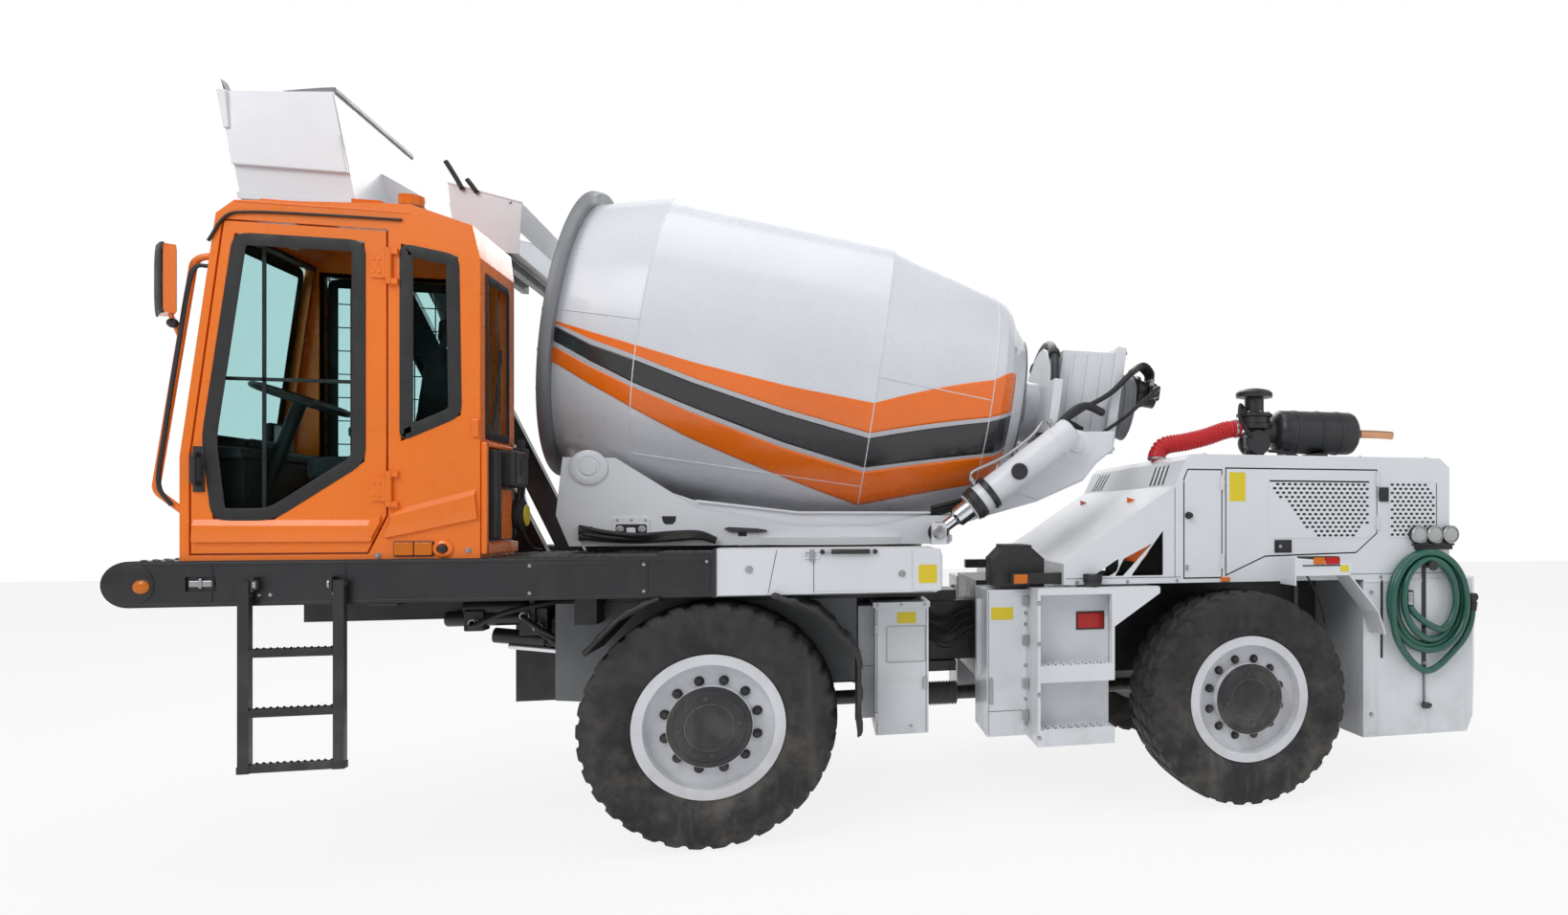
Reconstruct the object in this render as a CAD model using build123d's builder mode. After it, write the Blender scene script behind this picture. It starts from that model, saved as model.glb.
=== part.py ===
"""Articulated self-loading concrete mixer truck. Millimetres, +Z up, front towards -X, left side towards -Y."""

import os
from math import cos, hypot, radians, sin

from build123d import *

os.makedirs("parts", exist_ok=True)

# ---- driving dimensions -------------------------------------------------------------------
HALF_LENGTH = 3340.0  # half of the overall length
PIVOT_X = 210.0  # articulation pin
FRONT_AXLE_X = -974.0
REAR_AXLE_X = 1738.0
FIT = 0.05  # radial clearance of a pin in its bore
CLEAR = 8.0  # seam between a door and its frame
SEAT = 0.3  # running gap between pieces that meet at a hinge or a seat
ROD_FIT = 0.5  # radial clearance of a rod in its barrel

# wheels
TYRE_R = 575.0
TYRE_W = 450.0
RIM_R = 320.0
TRACK_Y = 975.0  # wheel centre from the centre plane
SPINDLE_R = 60.0

# chassis
CHASSIS_HALF_W = 420.0
CHASSIS_Z0 = 640.0
CHASSIS_Z1 = 1130.0
NOSE_Y0, NOSE_Y1 = -100.0, 610.0

# platforms and side decks
DECK_Z0 = 1180.0
PLATFORM_Z1 = 1370.0
PLATFORM_X0 = -3280.0
PLATFORM_X1 = -960.0
DECK_Z1 = 1400.0
DECK_X1 = 100.0
OUTER_Y = 1150.0
DECK_INNER_Y = 850.0

# cab
CAB_Y0 = -1120.0  # outer side, carries the door
CAB_Y1 = -280.0  # inner side
CAB_T = 35.0
CAB_FRONT_X = -3030.0
CAB_REAR_X = -1930.0
CAB_PROFILE = [
    (CAB_FRONT_X, PLATFORM_Z1),
    (CAB_FRONT_X, 1800),
    (-2905, 2820),
    (-2840, 2880),
    (-2200, 2915),
    (-1960, 2840),
    (CAB_REAR_X, 2700),
    (CAB_REAR_X, PLATFORM_Z1),
]

# drum: axis falls towards the rear
DRUM_TILT = 8.0
DRUM_X = -1290.0  # front seam on the axis
DRUM_Z = 2489.0
DRUM_T = 12.0
DRUM_R = 840.0
DRUM_PROFILE = [(-475, 700), (0, DRUM_R), (1220, DRUM_R), (1760, 657), (1900, 489), (1960, 413)]
COLLAR_R = 776.0
SLEW_X = -420.0
TURNTABLE_R = 700.0
HINGE_X, HINGE_Z = -1600.0, 1800.0  # cradle tilt hinge
SHAFT_R = 80.0
GEARBOX_R = 185.0

# loader
ARM_X, ARM_Z = -1750.0, 900.0
BUCKET_X, BUCKET_Z = -2720.0, 3020.0
ARM_Y = [(-180.0, -110.0), (620.0, 690.0)]
BUCKET_Y0, BUCKET_Y1 = -240.0, 750.0
BUCKET_T = 12.0
LOADER_MID_Y = (NOSE_Y0 + NOSE_Y1) / 2

# rear frame
HOOD_Y = 1000.0
HOOD_T = 8.0
HOOD_PROFILE = [
    (750, 1194),
    (750, 1305),
    (1367, 1722),
    (1433, 1865),
    (1462, 1894),
    (3010, 1894),
    (3073, 1840),
    (3073, 1194),
]


def inner(points, t):
    """The same closed outline moved inwards by t (outwards if t is negative)."""
    count = len(points)
    pairs = [(points[i], points[(i + 1) % count]) for i in range(count)]
    turn = 1 if sum(p[0] * q[1] - q[0] * p[1] for p, q in pairs) > 0 else -1
    moved = []
    for p, q in pairs:
        length = hypot(q[0] - p[0], q[1] - p[1])
        nx, ny = -(q[1] - p[1]) / length * turn, (q[0] - p[0]) / length * turn
        moved.append((nx, ny, nx * p[0] + ny * p[1] + t))
    corners = []
    for (a, b, c), (d, e, f) in zip(moved[-1:] + moved[:-1], moved):
        det = a * e - b * d
        corners.append(((c * e - b * f) / det, (a * f - c * d) / det))
    return corners


def sheet(points, t):
    """The closed outline of a bent plate of thickness t along an open line of points, on its right side."""
    sides = []
    for p, q in zip(points, points[1:]):
        length = hypot(q[0] - p[0], q[1] - p[1])
        nx, ny = (q[1] - p[1]) / length, -(q[0] - p[0]) / length
        sides.append((nx, ny, nx * p[0] + ny * p[1] + t))
    back = [(points[0][0] + sides[0][0] * t, points[0][1] + sides[0][1] * t)]
    for (a, b, c), (d, e, f) in zip(sides, sides[1:]):
        det = a * e - b * d
        back.append(((c * e - b * f) / det, (a * f - c * d) / det))
    back.append((points[-1][0] + sides[-1][0] * t, points[-1][1] + sides[-1][1] * t))
    return list(points) + back[::-1]


def prism(points, y0, y1, mode=Mode.ADD):
    """A side outline (x, z) run across from y0 to y1."""
    with BuildSketch(Plane.XZ.offset(-y1), mode=Mode.PRIVATE) as outline:
        Polygon(*points, align=None)
    extrude(to_extrude=outline.sketch, amount=y1 - y0, mode=mode)


def plan(points, z0, z1, mode=Mode.ADD):
    """A plan outline (x, y) run up from z0 to z1."""
    with BuildSketch(Plane.XY.offset(z0), mode=Mode.PRIVATE) as outline:
        Polygon(*points, align=None)
    extrude(to_extrude=outline.sketch, amount=z1 - z0, mode=mode)


def block(x0, x1, y0, y1, z0, z1, mode=Mode.ADD):
    """A box between two corners."""
    with Locations(((x0 + x1) / 2, (y0 + y1) / 2, (z0 + z1) / 2)):
        Box(x1 - x0, y1 - y0, z1 - z0, mode=mode)


def across(x, z, y0, y1, r, mode=Mode.ADD):
    """A round bar across the machine."""
    with Locations(Location((x, (y0 + y1) / 2, z), (90, 0, 0))):
        Cylinder(r, y1 - y0, mode=mode)


def bar(p, q, r, mode=Mode.ADD):
    """A round bar between two points."""
    line = Vector(*q) - Vector(*p)
    with BuildSketch(Plane(origin=p, z_dir=line), mode=Mode.PRIVATE) as ring:
        Circle(r)
    extrude(to_extrude=ring.sketch, amount=line.length, mode=mode)


def pipe(points, r, bend=0.0):
    """A round tube along a line of points, its corners rounded to the bend radius."""
    with BuildLine(mode=Mode.PRIVATE) as path:
        if bend:
            FilletPolyline(*points, radius=bend)
        else:
            Polyline(*points)
    with BuildSketch(Plane(path.line @ 0, z_dir=path.line % 0), mode=Mode.PRIVATE) as ring:
        Circle(r)
    sweep(sections=ring.sketch, path=path.line, transition=Transition.ROUND)


def turned(points, origin, direction, mode=Mode.ADD):
    """A half outline (distance along, radius) turned round an axis that lies in a side plane."""
    axis = Vector(*direction).normalized()
    side = Plane(origin=origin, x_dir=axis, z_dir=(0, -1, 0) if abs(axis.Y) < 0.5 else (1, 0, 0))
    with BuildSketch(side, mode=Mode.PRIVATE) as half:
        Polygon(*points, align=None)
    revolve(profiles=half.sketch, axis=Axis(origin, axis), mode=mode)


def save(part, label):
    part.label = label
    export_step(part, f"parts/{label}.step")


DRUM_AXIS = (cos(radians(DRUM_TILT)), 0, -sin(radians(DRUM_TILT)))


def on_axis(t):
    """A point on the drum axis, t behind the front seam."""
    return (DRUM_X + t * DRUM_AXIS[0], 0, DRUM_Z + t * DRUM_AXIS[2])


# ---- front frame --------------------------------------------------------------------------
with BuildPart() as front_chassis:
    block(-1500, 60, -CHASSIS_HALF_W, CHASSIS_HALF_W, CHASSIS_Z0, CHASSIS_Z1)
    block(-2060, -1500, NOSE_Y0, NOSE_Y1, 560, 1000)
    block(-1600, -1505, -900, 900, 1040, DECK_Z0)
    block(-1505, -1500, -CHASSIS_HALF_W, CHASSIS_HALF_W, 1040, CHASSIS_Z1)
    for y0, y1 in ((-400, -320), (820, 900)):
        block(-2900, -1600, y0, y1, 1040, DECK_Z0)
    for z0, z1 in ((640, 700), (1060, 1120)):
        block(60, PIVOT_X + 80, -150, 150, z0, z1)
    across(ARM_X, ARM_Z, ARM_Y[0][0] - 20, ARM_Y[1][1] + 20, 45)
    block(-2061, -1860, LOADER_MID_Y - 70, LOADER_MID_Y + 70, 540, 1001, mode=Mode.SUBTRACT)
    across(-1950, 640, LOADER_MID_Y - 80, LOADER_MID_Y + 80, 30)
    with Locations((PIVOT_X, 0, 880)):
        Cylinder(50, 480)
save(front_chassis.part, "front_chassis")

SHAFT_Z, DRIVE_R, JOINT_R = 485.0, 42.0, 52.0
AXLES = [("front_axle", FRONT_AXLE_X, PIVOT_X), ("rear_axle", REAR_AXLE_X, PIVOT_X + JOINT_R + 6)]
for label, x, shaft_x in AXLES:
    with BuildPart() as axle:
        bar((x, 0, SHAFT_Z), (shaft_x, 0, SHAFT_Z), DRIVE_R)
        if x < PIVOT_X:
            with Locations((PIVOT_X, 0, SHAFT_Z)):
                Sphere(JOINT_R)
        block(x - 110, x + 110, -700, 700, TYRE_R - 90, CHASSIS_Z0)
        for side in (-1, 1):
            y = sorted((side * 700, side * 840))
            across(x, TYRE_R, y[0], y[1], 140)
            y = sorted((side * 840, side * 1000))
            across(x, TYRE_R, y[0], y[1], SPINDLE_R)
    save(axle.part, label)

WHEELS = [
    ("front_left", FRONT_AXLE_X, -1),
    ("front_right", FRONT_AXLE_X, 1),
    ("rear_left", REAR_AXLE_X, -1),
    ("rear_right", REAR_AXLE_X, 1),
]
HALF_W = TYRE_W / 2
TYRE_PROFILE = [
    (-165, RIM_R),
    (-165, RIM_R + 22),
    (-190, RIM_R + 34),
    (-HALF_W, 450),
    (-HALF_W + 10, 535),
    (-HALF_W + 40, TYRE_R),
    (HALF_W - 40, TYRE_R),
    (HALF_W - 10, 535),
    (HALF_W, 450),
    (190, RIM_R + 34),
    (165, RIM_R + 22),
    (165, RIM_R),
]
RIM_PROFILE = [
    (-190, 290),
    (-190, RIM_R + 18),
    (-168, RIM_R + 18),
    (-168, RIM_R),
    (168, RIM_R),
    (168, RIM_R + 18),
    (190, RIM_R + 18),
    (190, 290),
    (-88, 290),
    (-88, 150),
    (120, 150),
    (120, SPINDLE_R + FIT),
    (-60, SPINDLE_R + FIT),
    (-60, 0),
    (-196, 0),
    (-196, 100),
    (-180, 190),
    (-104, 190),
    (-104, 290),
]
for label, x, side in WHEELS:
    hub = (x, side * TRACK_Y, TYRE_R)
    with BuildPart() as tyre:
        turned(TYRE_PROFILE, hub, (0, -side, 0))
    save(tyre.part, f"{label}_tyre")
    with BuildPart() as rim:
        turned(RIM_PROFILE, hub, (0, -side, 0))
    save(rim.part, f"{label}_rim")

LADDER_Y, LADDER_Z = -OUTER_Y - 30.0, 1270.0
STRINGER_X = (-2775.0, -2437.0)
with BuildPart() as platforms:
    for y0, y1 in ((-OUTER_Y, -300.0), (800.0, OUTER_Y)):
        r = (PLATFORM_Z1 - DECK_Z0) / 2
        block(PLATFORM_X0 + r, PLATFORM_X1, y0, y1, DECK_Z0, PLATFORM_Z1)
        across(PLATFORM_X0 + r, DECK_Z0 + r, y0, y1, r)
    block(-1200, PLATFORM_X1, -OUTER_Y, -DECK_INNER_Y, PLATFORM_Z1, PLATFORM_Z1 + 15)
    block(-2995, -2890, -OUTER_Y - 1, -OUTER_Y + 12, 1245, 1305, mode=Mode.SUBTRACT)
    for x, out in zip(STRINGER_X, (-1, 1)):
        block(x - out * 30 - 6, x - out * 30 + 6, LADDER_Y - 14, -OUTER_Y, LADDER_Z - 30, LADDER_Z + 30)
        with Locations(Location((x - out * 2, LADDER_Y, LADDER_Z), (0, 90, 0))):
            Cylinder(10, 56)
save(platforms.part, "platforms")

with BuildPart() as side_decks:
    for y0, y1 in ((-OUTER_Y, -DECK_INNER_Y), (DECK_INNER_Y, OUTER_Y)):
        block(PLATFORM_X1, DECK_X1, y0, y1, DECK_Z0, DECK_Z1)
    rounded = side_decks.edges().filter_by(Axis.Y).group_by(Axis.X)[-1]
    fillet(rounded, 45)
save(side_decks.part, "side_decks")

with BuildPart() as pedestal:
    block(-1500, 60, -740, 740, CHASSIS_Z1, DECK_Z0)
    block(PLATFORM_X1, 60, -DECK_INNER_Y, DECK_INNER_Y, DECK_Z0, DECK_Z0 + 60)
    with Locations((SLEW_X, 0, (DECK_Z0 + 1400) / 2)):
        Cylinder(520, 1400 - DECK_Z0)
        Cylinder(200 + FIT, 1400 - DECK_Z0, mode=Mode.SUBTRACT)
save(pedestal.part, "pedestal")

MUDGUARDS = [
    [(-1190, DECK_Z0), (-1360, 1085), (-1500, 930)],
    [(-300, 495), (-300, 870), (-480, 1085), (-700, DECK_Z0)],
]
with BuildPart() as front_mudguards:
    for line in MUDGUARDS:
        for y0, y1 in ((-1190, -780), (780, 1190)):
            prism(sheet(line, -6), y0, y1)
save(front_mudguards.part, "front_mudguards")

CABINET_Y = 860.0
with BuildPart() as mid_cabinets:
    for side in (-1, 1):
        y = sorted((side * CHASSIS_HALF_W, side * CABINET_Y))
        block(-210, 60, y[0], y[1], 430, 1085)
        y = sorted((side * CHASSIS_HALF_W, side * (CABINET_Y + 14)))
        block(-222, 66, y[0], y[1], 1085, 1112)
        y = sorted((side * CHASSIS_HALF_W, side * 740))
        block(-292, -210, y[0], y[1], 500, 1085)
save(mid_cabinets.part, "mid_cabinets")

# ---- cab ----------------------------------------------------------------------------------
DOOR = [(-2990, 1400), (-2990, 1805), (-2875, 2790), (-2290, 2790), (-2290, 1560), (-2360, 1400)]
DOOR_WINDOW = [(-2840, 2740), (-2370, 2740), (-2370, 1790), (-2700, 1540), (-2915, 1540), (-2950, 1880)]
SIDE_WINDOW = [(-2235, 2740), (-2015, 2700), (-2005, 2000), (-2235, 1880)]


def grown(points, t):
    return inner(points, -t)


with BuildPart() as room:
    prism(inner(CAB_PROFILE, CAB_T), CAB_Y0 + CAB_T, CAB_Y1 - CAB_T)
    plan(
        [(-2150, CAB_Y1), (CAB_REAR_X - 40, -640), (CAB_REAR_X, -640), (CAB_REAR_X, CAB_Y1)],
        1300,
        3000,
        mode=Mode.SUBTRACT,
    )

HINGE_ROWS = [(1620, 1725), (2585, 2690)]
DOOR_HINGE_X, DOOR_HINGE_Y = -2276.0, CAB_Y0 - 14
KNUCKLE_R, KNUCKLE_H = 12.0, 25.0
with BuildPart() as cab_shell:
    prism(CAB_PROFILE, CAB_Y0, CAB_Y1)
    plan([(-2100, CAB_Y1 + 1), (CAB_REAR_X + 1, -620), (CAB_REAR_X + 1, CAB_Y1 + 1)], 1300, 3000, mode=Mode.SUBTRACT)
    add(room.part, mode=Mode.SUBTRACT)
    prism(grown(DOOR, CLEAR), CAB_Y0 - 1, CAB_Y0 + CAB_T + 1, mode=Mode.SUBTRACT)
    prism(SIDE_WINDOW, CAB_Y0 - 1, CAB_Y0 + CAB_T + 1, mode=Mode.SUBTRACT)
    block(CAB_FRONT_X - 10, CAB_FRONT_X + 200, -1040, -360, 1860, 2760, mode=Mode.SUBTRACT)
    block(CAB_REAR_X - 60, CAB_REAR_X + 10, -1050, -700, 1900, 2650, mode=Mode.SUBTRACT)
    block(-2850, -2200, CAB_Y1 - 60, CAB_Y1 + 10, 1800, 2740, mode=Mode.SUBTRACT)
    for row_z0, row_z1 in HINGE_ROWS:
        for z0, z1 in ((row_z0 - KNUCKLE_H, row_z0 - SEAT), (row_z1 + SEAT, row_z1 + KNUCKLE_H)):
            block(DOOR_HINGE_X, DOOR_HINGE_X + 34, CAB_Y0 - 18, CAB_Y0, z0, z1)
            with Locations((DOOR_HINGE_X, DOOR_HINGE_Y, (z0 + z1) / 2)):
                Cylinder(KNUCKLE_R, z1 - z0)
save(cab_shell.part, "cab_shell")

with BuildPart() as cab_glass:
    y = CAB_Y0 + CAB_T
    prism(grown(SIDE_WINDOW, 15), y, y + 6)
    lean = (2905 - 3030) / (2820 - 1800)
    x0 = CAB_FRONT_X + CAB_T * hypot(1, lean) - lean * 35
    prism(
        [(x0, 1835), (x0 + 6, 1835), (x0 + 6 - lean * 945, 2780), (x0 - lean * 945, 2780)],
        -1050,
        -350,
    )
    block(CAB_REAR_X - CAB_T - 6, CAB_REAR_X - CAB_T, -1070, -690, 1880, 2670)
    block(-2870, -2180, CAB_Y1 - CAB_T - 6, CAB_Y1 - CAB_T, 1780, 2760)
save(cab_glass.part, "cab_glass")

with BuildPart() as door_panel:
    prism(DOOR, CAB_Y0, CAB_Y0 + CAB_T)
    prism(DOOR_WINDOW, CAB_Y0, CAB_Y0 + CAB_T, mode=Mode.SUBTRACT)
    for z0, z1 in HINGE_ROWS:
        block(DOOR_HINGE_X - 70, DOOR_HINGE_X - 22, CAB_Y0 - 8, CAB_Y0, z0, z1)
        block(DOOR_HINGE_X - 26, DOOR_HINGE_X, CAB_Y0 - 18, CAB_Y0 - 2, z0, z1)
        with Locations((DOOR_HINGE_X, DOOR_HINGE_Y, (z0 + z1) / 2)):
            Cylinder(KNUCKLE_R, z1 - z0)
save(door_panel.part, "door_panel")

with BuildPart() as door_handle:
    y = CAB_Y0 - 42
    pipe([(-2962, CAB_Y0, 1690), (-2962, y, 1690), (-2962, y, 1810), (-2962, CAB_Y0, 1810)], 11, 14)
save(door_handle.part, "door_handle")

with BuildPart() as door_glass:
    prism(grown(DOOR_WINDOW, 15), CAB_Y0 + CAB_T, CAB_Y0 + CAB_T + 6)
save(door_glass.part, "door_glass")

FLOOR_Z = PLATFORM_Z1 + CAB_T
with BuildPart() as seat:
    block(-2640, -2220, -980, -560, FLOOR_Z, 1700)
    block(-2680, -2180, -1000, -540, 1700, 1830)
    prism([(-2260, 1830), (-2160, 1830), (-2080, 2480), (-2160, 2480)], -990, -550)
save(seat.part, "seat")

with BuildPart() as console:
    block(-2975, -2860, -1000, -400, FLOOR_Z, 1830)
    bar((-2880, -770, 1700), (-2752, -770, 2084), 28)
    with Locations(Location((-2752, -770, 2085), (0, 20, 0))):
        Torus(180, 14)
        Cylinder(172, 10)
save(console.part, "console")

with BuildPart() as grab_rail:
    pipe(
        [
            (-2920, -1095, 2645),
            (-2990, -1095, 2630),
            (-3125, -1095, 1660),
            (-3015, -1095, 1562),
        ],
        14,
        50,
    )
    prism(CAB_PROFILE, CAB_Y0, CAB_Y1, mode=Mode.SUBTRACT)
    bar((-3037, -1095, 2290), (-3060, -1130, 2400), 9)
    with Locations(Location((-3068, -1130, 2525), (0, 0, 35))):
        Box(40, 130, 280)
save(grab_rail.part, "grab_rail")

with BuildPart() as roof_lamps:
    with Locations((-2236, -1000, 2925)):
        Cylinder(50, 110)
    block(-2455, -2340, -1030, -970, 2890, 2945)
    prism(CAB_PROFILE, CAB_Y0, CAB_Y1, mode=Mode.SUBTRACT)
save(roof_lamps.part, "roof_lamps")

with BuildPart() as ladder:
    for x in STRINGER_X:
        block(x - 20, x + 20, LADDER_Y - 16, LADDER_Y + 16, 490, LADDER_Z + 16)
    for z in (490, 720, 968):
        block(STRINGER_X[0], STRINGER_X[1], LADDER_Y - 16, LADDER_Y + 16, z, z + 30)
    for x in STRINGER_X:
        with Locations(Location((x, LADDER_Y, LADDER_Z), (0, 90, 0))):
            Cylinder(10 + FIT, 60, mode=Mode.SUBTRACT)
save(ladder.part, "ladder")

# ---- drum unit ----------------------------------------------------------------------------
SLEW_PLATE = [
    (-1690, 1405),
    (-1750, 1560),
    (-1720, 1850),
    (-1480, 1850),
    (-1100, 1600),
    (-600, 1500),
    (-200, 1500),
    (60, 1560),
    (200, 1560),
    (200, 1405),
]
with BuildPart() as slew_frame:
    with Locations((SLEW_X, 0, 1425)):
        Cylinder(TURNTABLE_R, 40)
    with Locations((SLEW_X, 0, 1300)):
        Cylinder(200, 220)
    for y0, y1 in ((-600, -560), (560, 600)):
        prism(SLEW_PLATE, y0, y1)
        across(HINGE_X, HINGE_Z, y0, y1, 40 + FIT, mode=Mode.SUBTRACT)
    block(-1690, -1500, -600, 600, 1405, 1445)
    block(0, 200, -600, 600, 1405, 1445)
    for y0, y1 in ((-720, -600), (600, 720)):
        block(90, 170, y0, y1, 1405, 1520)
        block(80, 180, y0 + 24, y1 - 24, 1415, 1521, mode=Mode.SUBTRACT)
save(slew_frame.part, "slew_frame")

TILT_RAIL = [
    (-1680, 1760),
    (-1660, 1850),
    (-1520, 1850),
    (-1120, 1640),
    (-600, 1580),
    (0, 1580),
    (560, 1890),
    (980, 2180),
    (980, 2060),
    (420, 1640),
    (100, 1460),
    (-1560, 1470),
]
with BuildPart() as tilt_frame:
    for y0, y1 in ((-540, -480), (480, 540)):
        prism(TILT_RAIL, y0, y1)
    for y in (-602, 602):
        y0, y1 = sorted((y, y * 0.88))
        across(HINGE_X, HINGE_Z, y0, y1, 40)
    with Locations(Location(on_axis(2120), (0, DRUM_TILT, 0))):
        Box(50, 1080, 300)
    bar(on_axis(2095), on_axis(2145), 400)
    bar(on_axis(2090), on_axis(2150), GEARBOX_R, mode=Mode.SUBTRACT)
    for y in (-690, 690):
        y0, y1 = sorted((y, y * 0.75))
        across(560, 1800, y0, y1, 30)
save(tilt_frame.part, "tilt_frame")

with BuildPart() as gearbox:
    turned(
        [
            (1945, 0),
            (1945, SHAFT_R),
            (2010, SHAFT_R),
            (2010, GEARBOX_R),
            (2145, GEARBOX_R),
            (2145, 240),
            (2180, 240),
            (2180, 200),
            (2330, 160),
            (2400, 160),
            (2400, 0),
        ],
        on_axis(0),
        DRUM_AXIS,
    )
save(gearbox.part, "gearbox")

with BuildPart() as drum_motor:
    turned([(2400, 0), (2400, 120), (2560, 120), (2560, 80), (2640, 80), (2640, 0)], on_axis(0), DRUM_AXIS)
    with Locations(Location(on_axis(2490), (0, DRUM_TILT, 0))):
        Box(110, 300, 150)
save(drum_motor.part, "drum_motor")

with BuildPart() as drum_shell:
    outside = DRUM_PROFILE + [(1960, SHAFT_R + FIT), (1948, SHAFT_R + FIT)]
    inside = [(t - 2, r - DRUM_T) for t, r in reversed(DRUM_PROFILE)]
    inside[0] = (1948, 401)
    inside[-1] = (-475, 688)
    turned(outside + inside, on_axis(0), DRUM_AXIS)
    turned([(-475, 690), (-475, COLLAR_R), (-435, COLLAR_R), (-435, 700)], on_axis(0), DRUM_AXIS)
save(drum_shell.part, "drum_shell")

BLADE_H, BLADE_T, BLADE_PITCH, BLADE_RUN = 260.0, 8.0, 1100.0, 1100.0
BLADE_START = 60.0
with BuildPart() as one_blade:
    with BuildLine() as lead:
        Helix(pitch=BLADE_PITCH, height=BLADE_RUN, radius=DRUM_R - DRUM_T - SEAT)
    with BuildSketch(Plane(lead.line @ 0, x_dir=(-1, 0, 0), z_dir=lead.line % 0)):
        with Locations((BLADE_H / 2, 0)):
            Rectangle(BLADE_H, BLADE_T)
    sweep(is_frenet=True)

with BuildPart() as drum_blades:
    for turn in (0, 180):
        with Locations(Location(on_axis(BLADE_START), (0, 90 + DRUM_TILT, 0)) * Location((0, 0, 0), (0, 0, turn))):
            add(one_blade.part)
save(drum_blades.part, "drum_blades")

# ---- loader -------------------------------------------------------------------------------
ARM_LEN = hypot(BUCKET_X - ARM_X, BUCKET_Z - ARM_Z)
ARM_DIR = ((BUCKET_X - ARM_X) / ARM_LEN, (BUCKET_Z - ARM_Z) / ARM_LEN)


def arm_point(along, off=0.0):
    """A point on the loader arm line, off towards the front."""
    return (ARM_X + ARM_DIR[0] * along - ARM_DIR[1] * off, ARM_Z + ARM_DIR[1] * along + ARM_DIR[0] * off)


with BuildPart() as loader_arms:
    for y0, y1 in ARM_Y:
        prism([arm_point(-60, -70), arm_point(-60, 70), arm_point(ARM_LEN, 55), arm_point(ARM_LEN, -55)], y0, y1)
        across(BUCKET_X, BUCKET_Z, y0, y1, 70)
        across(ARM_X, ARM_Z, y0 - 1, y1 + 1, 45 + FIT, mode=Mode.SUBTRACT)
    x, z = arm_point(1150)
    across(x, z, ARM_Y[0][1], ARM_Y[1][0], 34)
    for y in (LOADER_MID_Y - 58, LOADER_MID_Y + 38):
        prism([arm_point(950, -40), arm_point(950, 40), arm_point(1150, 40), arm_point(1150, -40)], y, y + 20)
    x, z = arm_point(1450)
    across(x, z, ARM_Y[0][1], ARM_Y[1][0], 30)
    across(BUCKET_X, BUCKET_Z, ARM_Y[0][1], ARM_Y[1][0], 35)
save(loader_arms.part, "loader_arms")

BUCKET = [(-3320, 3640), (-2840, 3690), (-2740, 3110), (-3230, 3110)]
with BuildPart() as bucket_body:
    prism(BUCKET, BUCKET_Y0, BUCKET_Y1)
    for y0 in (-90, 540):
        prism([(-2800, 3110), (-2660, 3110), (-2660, 2960), (-2780, 2960)], y0, y0 + 40)
    across(BUCKET_X, BUCKET_Z, -100, 600, 35 + FIT, mode=Mode.SUBTRACT)
    for y in (LOADER_MID_Y - 58, LOADER_MID_Y + 38):
        prism([(-2752, 3160), (-2620, 3230), (-2620, 3330), (-2800, 3430)], y, y + 20)
    prism(
        [(-3310, 3740), (-2850, 3740), (-2755, 3110 + BUCKET_T), (-3218, 3110 + BUCKET_T)],
        BUCKET_Y0 + BUCKET_T,
        BUCKET_Y1 - BUCKET_T,
        mode=Mode.SUBTRACT,
    )
save(bucket_body.part, "bucket_body")

with BuildPart() as bucket_teeth:
    for i in range(5):
        y = BUCKET_Y0 + 80 + i * (BUCKET_Y1 - BUCKET_Y0 - 160) / 4
        prism([(-3320, 3640), (-HALF_LENGTH, 3720), (-3308, 3641.25)], y - 30, y + 30)
save(bucket_teeth.part, "bucket_teeth")


# hydraulic cylinders: barrel pin (x, z), rod eye (x, z), planes, radii, barrel share, rod start
CYLINDERS = [
    ("lift", (-1950, 640), arm_point(1000), (LOADER_MID_Y,), 60, 35, 0.6, 475),
    ("tip", arm_point(1450), (-2660, 3280), (LOADER_MID_Y,), 50, 30, 0.62, 392),
    ("tilt", (560, 1800), (130, 1470), (-660, 660), 50, 32, 0.72, 70),
]
for label, base, eye, planes, barrel_r, rod_r, share, rod_start in CYLINDERS:
    length = hypot(eye[0] - base[0], eye[1] - base[1])
    ux, uz = (eye[0] - base[0]) / length, (eye[1] - base[1]) / length
    with BuildPart() as barrel:
        for y in planes:
            ends = [(base[0] + ux * s, y, base[1] + uz * s) for s in (50, length * share, 62)]
            bar(ends[0], ends[1], barrel_r)
            across(base[0], base[1], y - 30, y + 30, 54)
            across(base[0], base[1], y - 70, y + 70, 30 + FIT, mode=Mode.SUBTRACT)
            bar(ends[2], (ends[1][0] + ux, y, ends[1][2] + uz), rod_r + ROD_FIT, mode=Mode.SUBTRACT)
    save(barrel.part, f"{label}_barrels" if len(planes) > 1 else f"{label}_barrel")
    with BuildPart() as rod:
        for y in planes:
            ends = [(base[0] + ux * s, y, base[1] + uz * s) for s in (rod_start, length - 20)]
            bar(ends[0], ends[1], rod_r)
            across(eye[0], eye[1], y - 28, y + 28, 48)
            across(eye[0], eye[1], y - 31, y + 31, 26, mode=Mode.SUBTRACT)
    save(rod.part, f"{label}_rods" if len(planes) > 1 else f"{label}_rod")

# ---- rear frame ---------------------------------------------------------------------------
with BuildPart() as rear_chassis:
    block(370, 2500, -CHASSIS_HALF_W, CHASSIS_HALF_W, CHASSIS_Z0, 1190)
    block(PIVOT_X - 80, 370, -120, 120, 705, 1055)
    with Locations((PIVOT_X, 0, 880)):
        Cylinder(50 + FIT, 480, mode=Mode.SUBTRACT)
save(rear_chassis.part, "rear_chassis")

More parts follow.
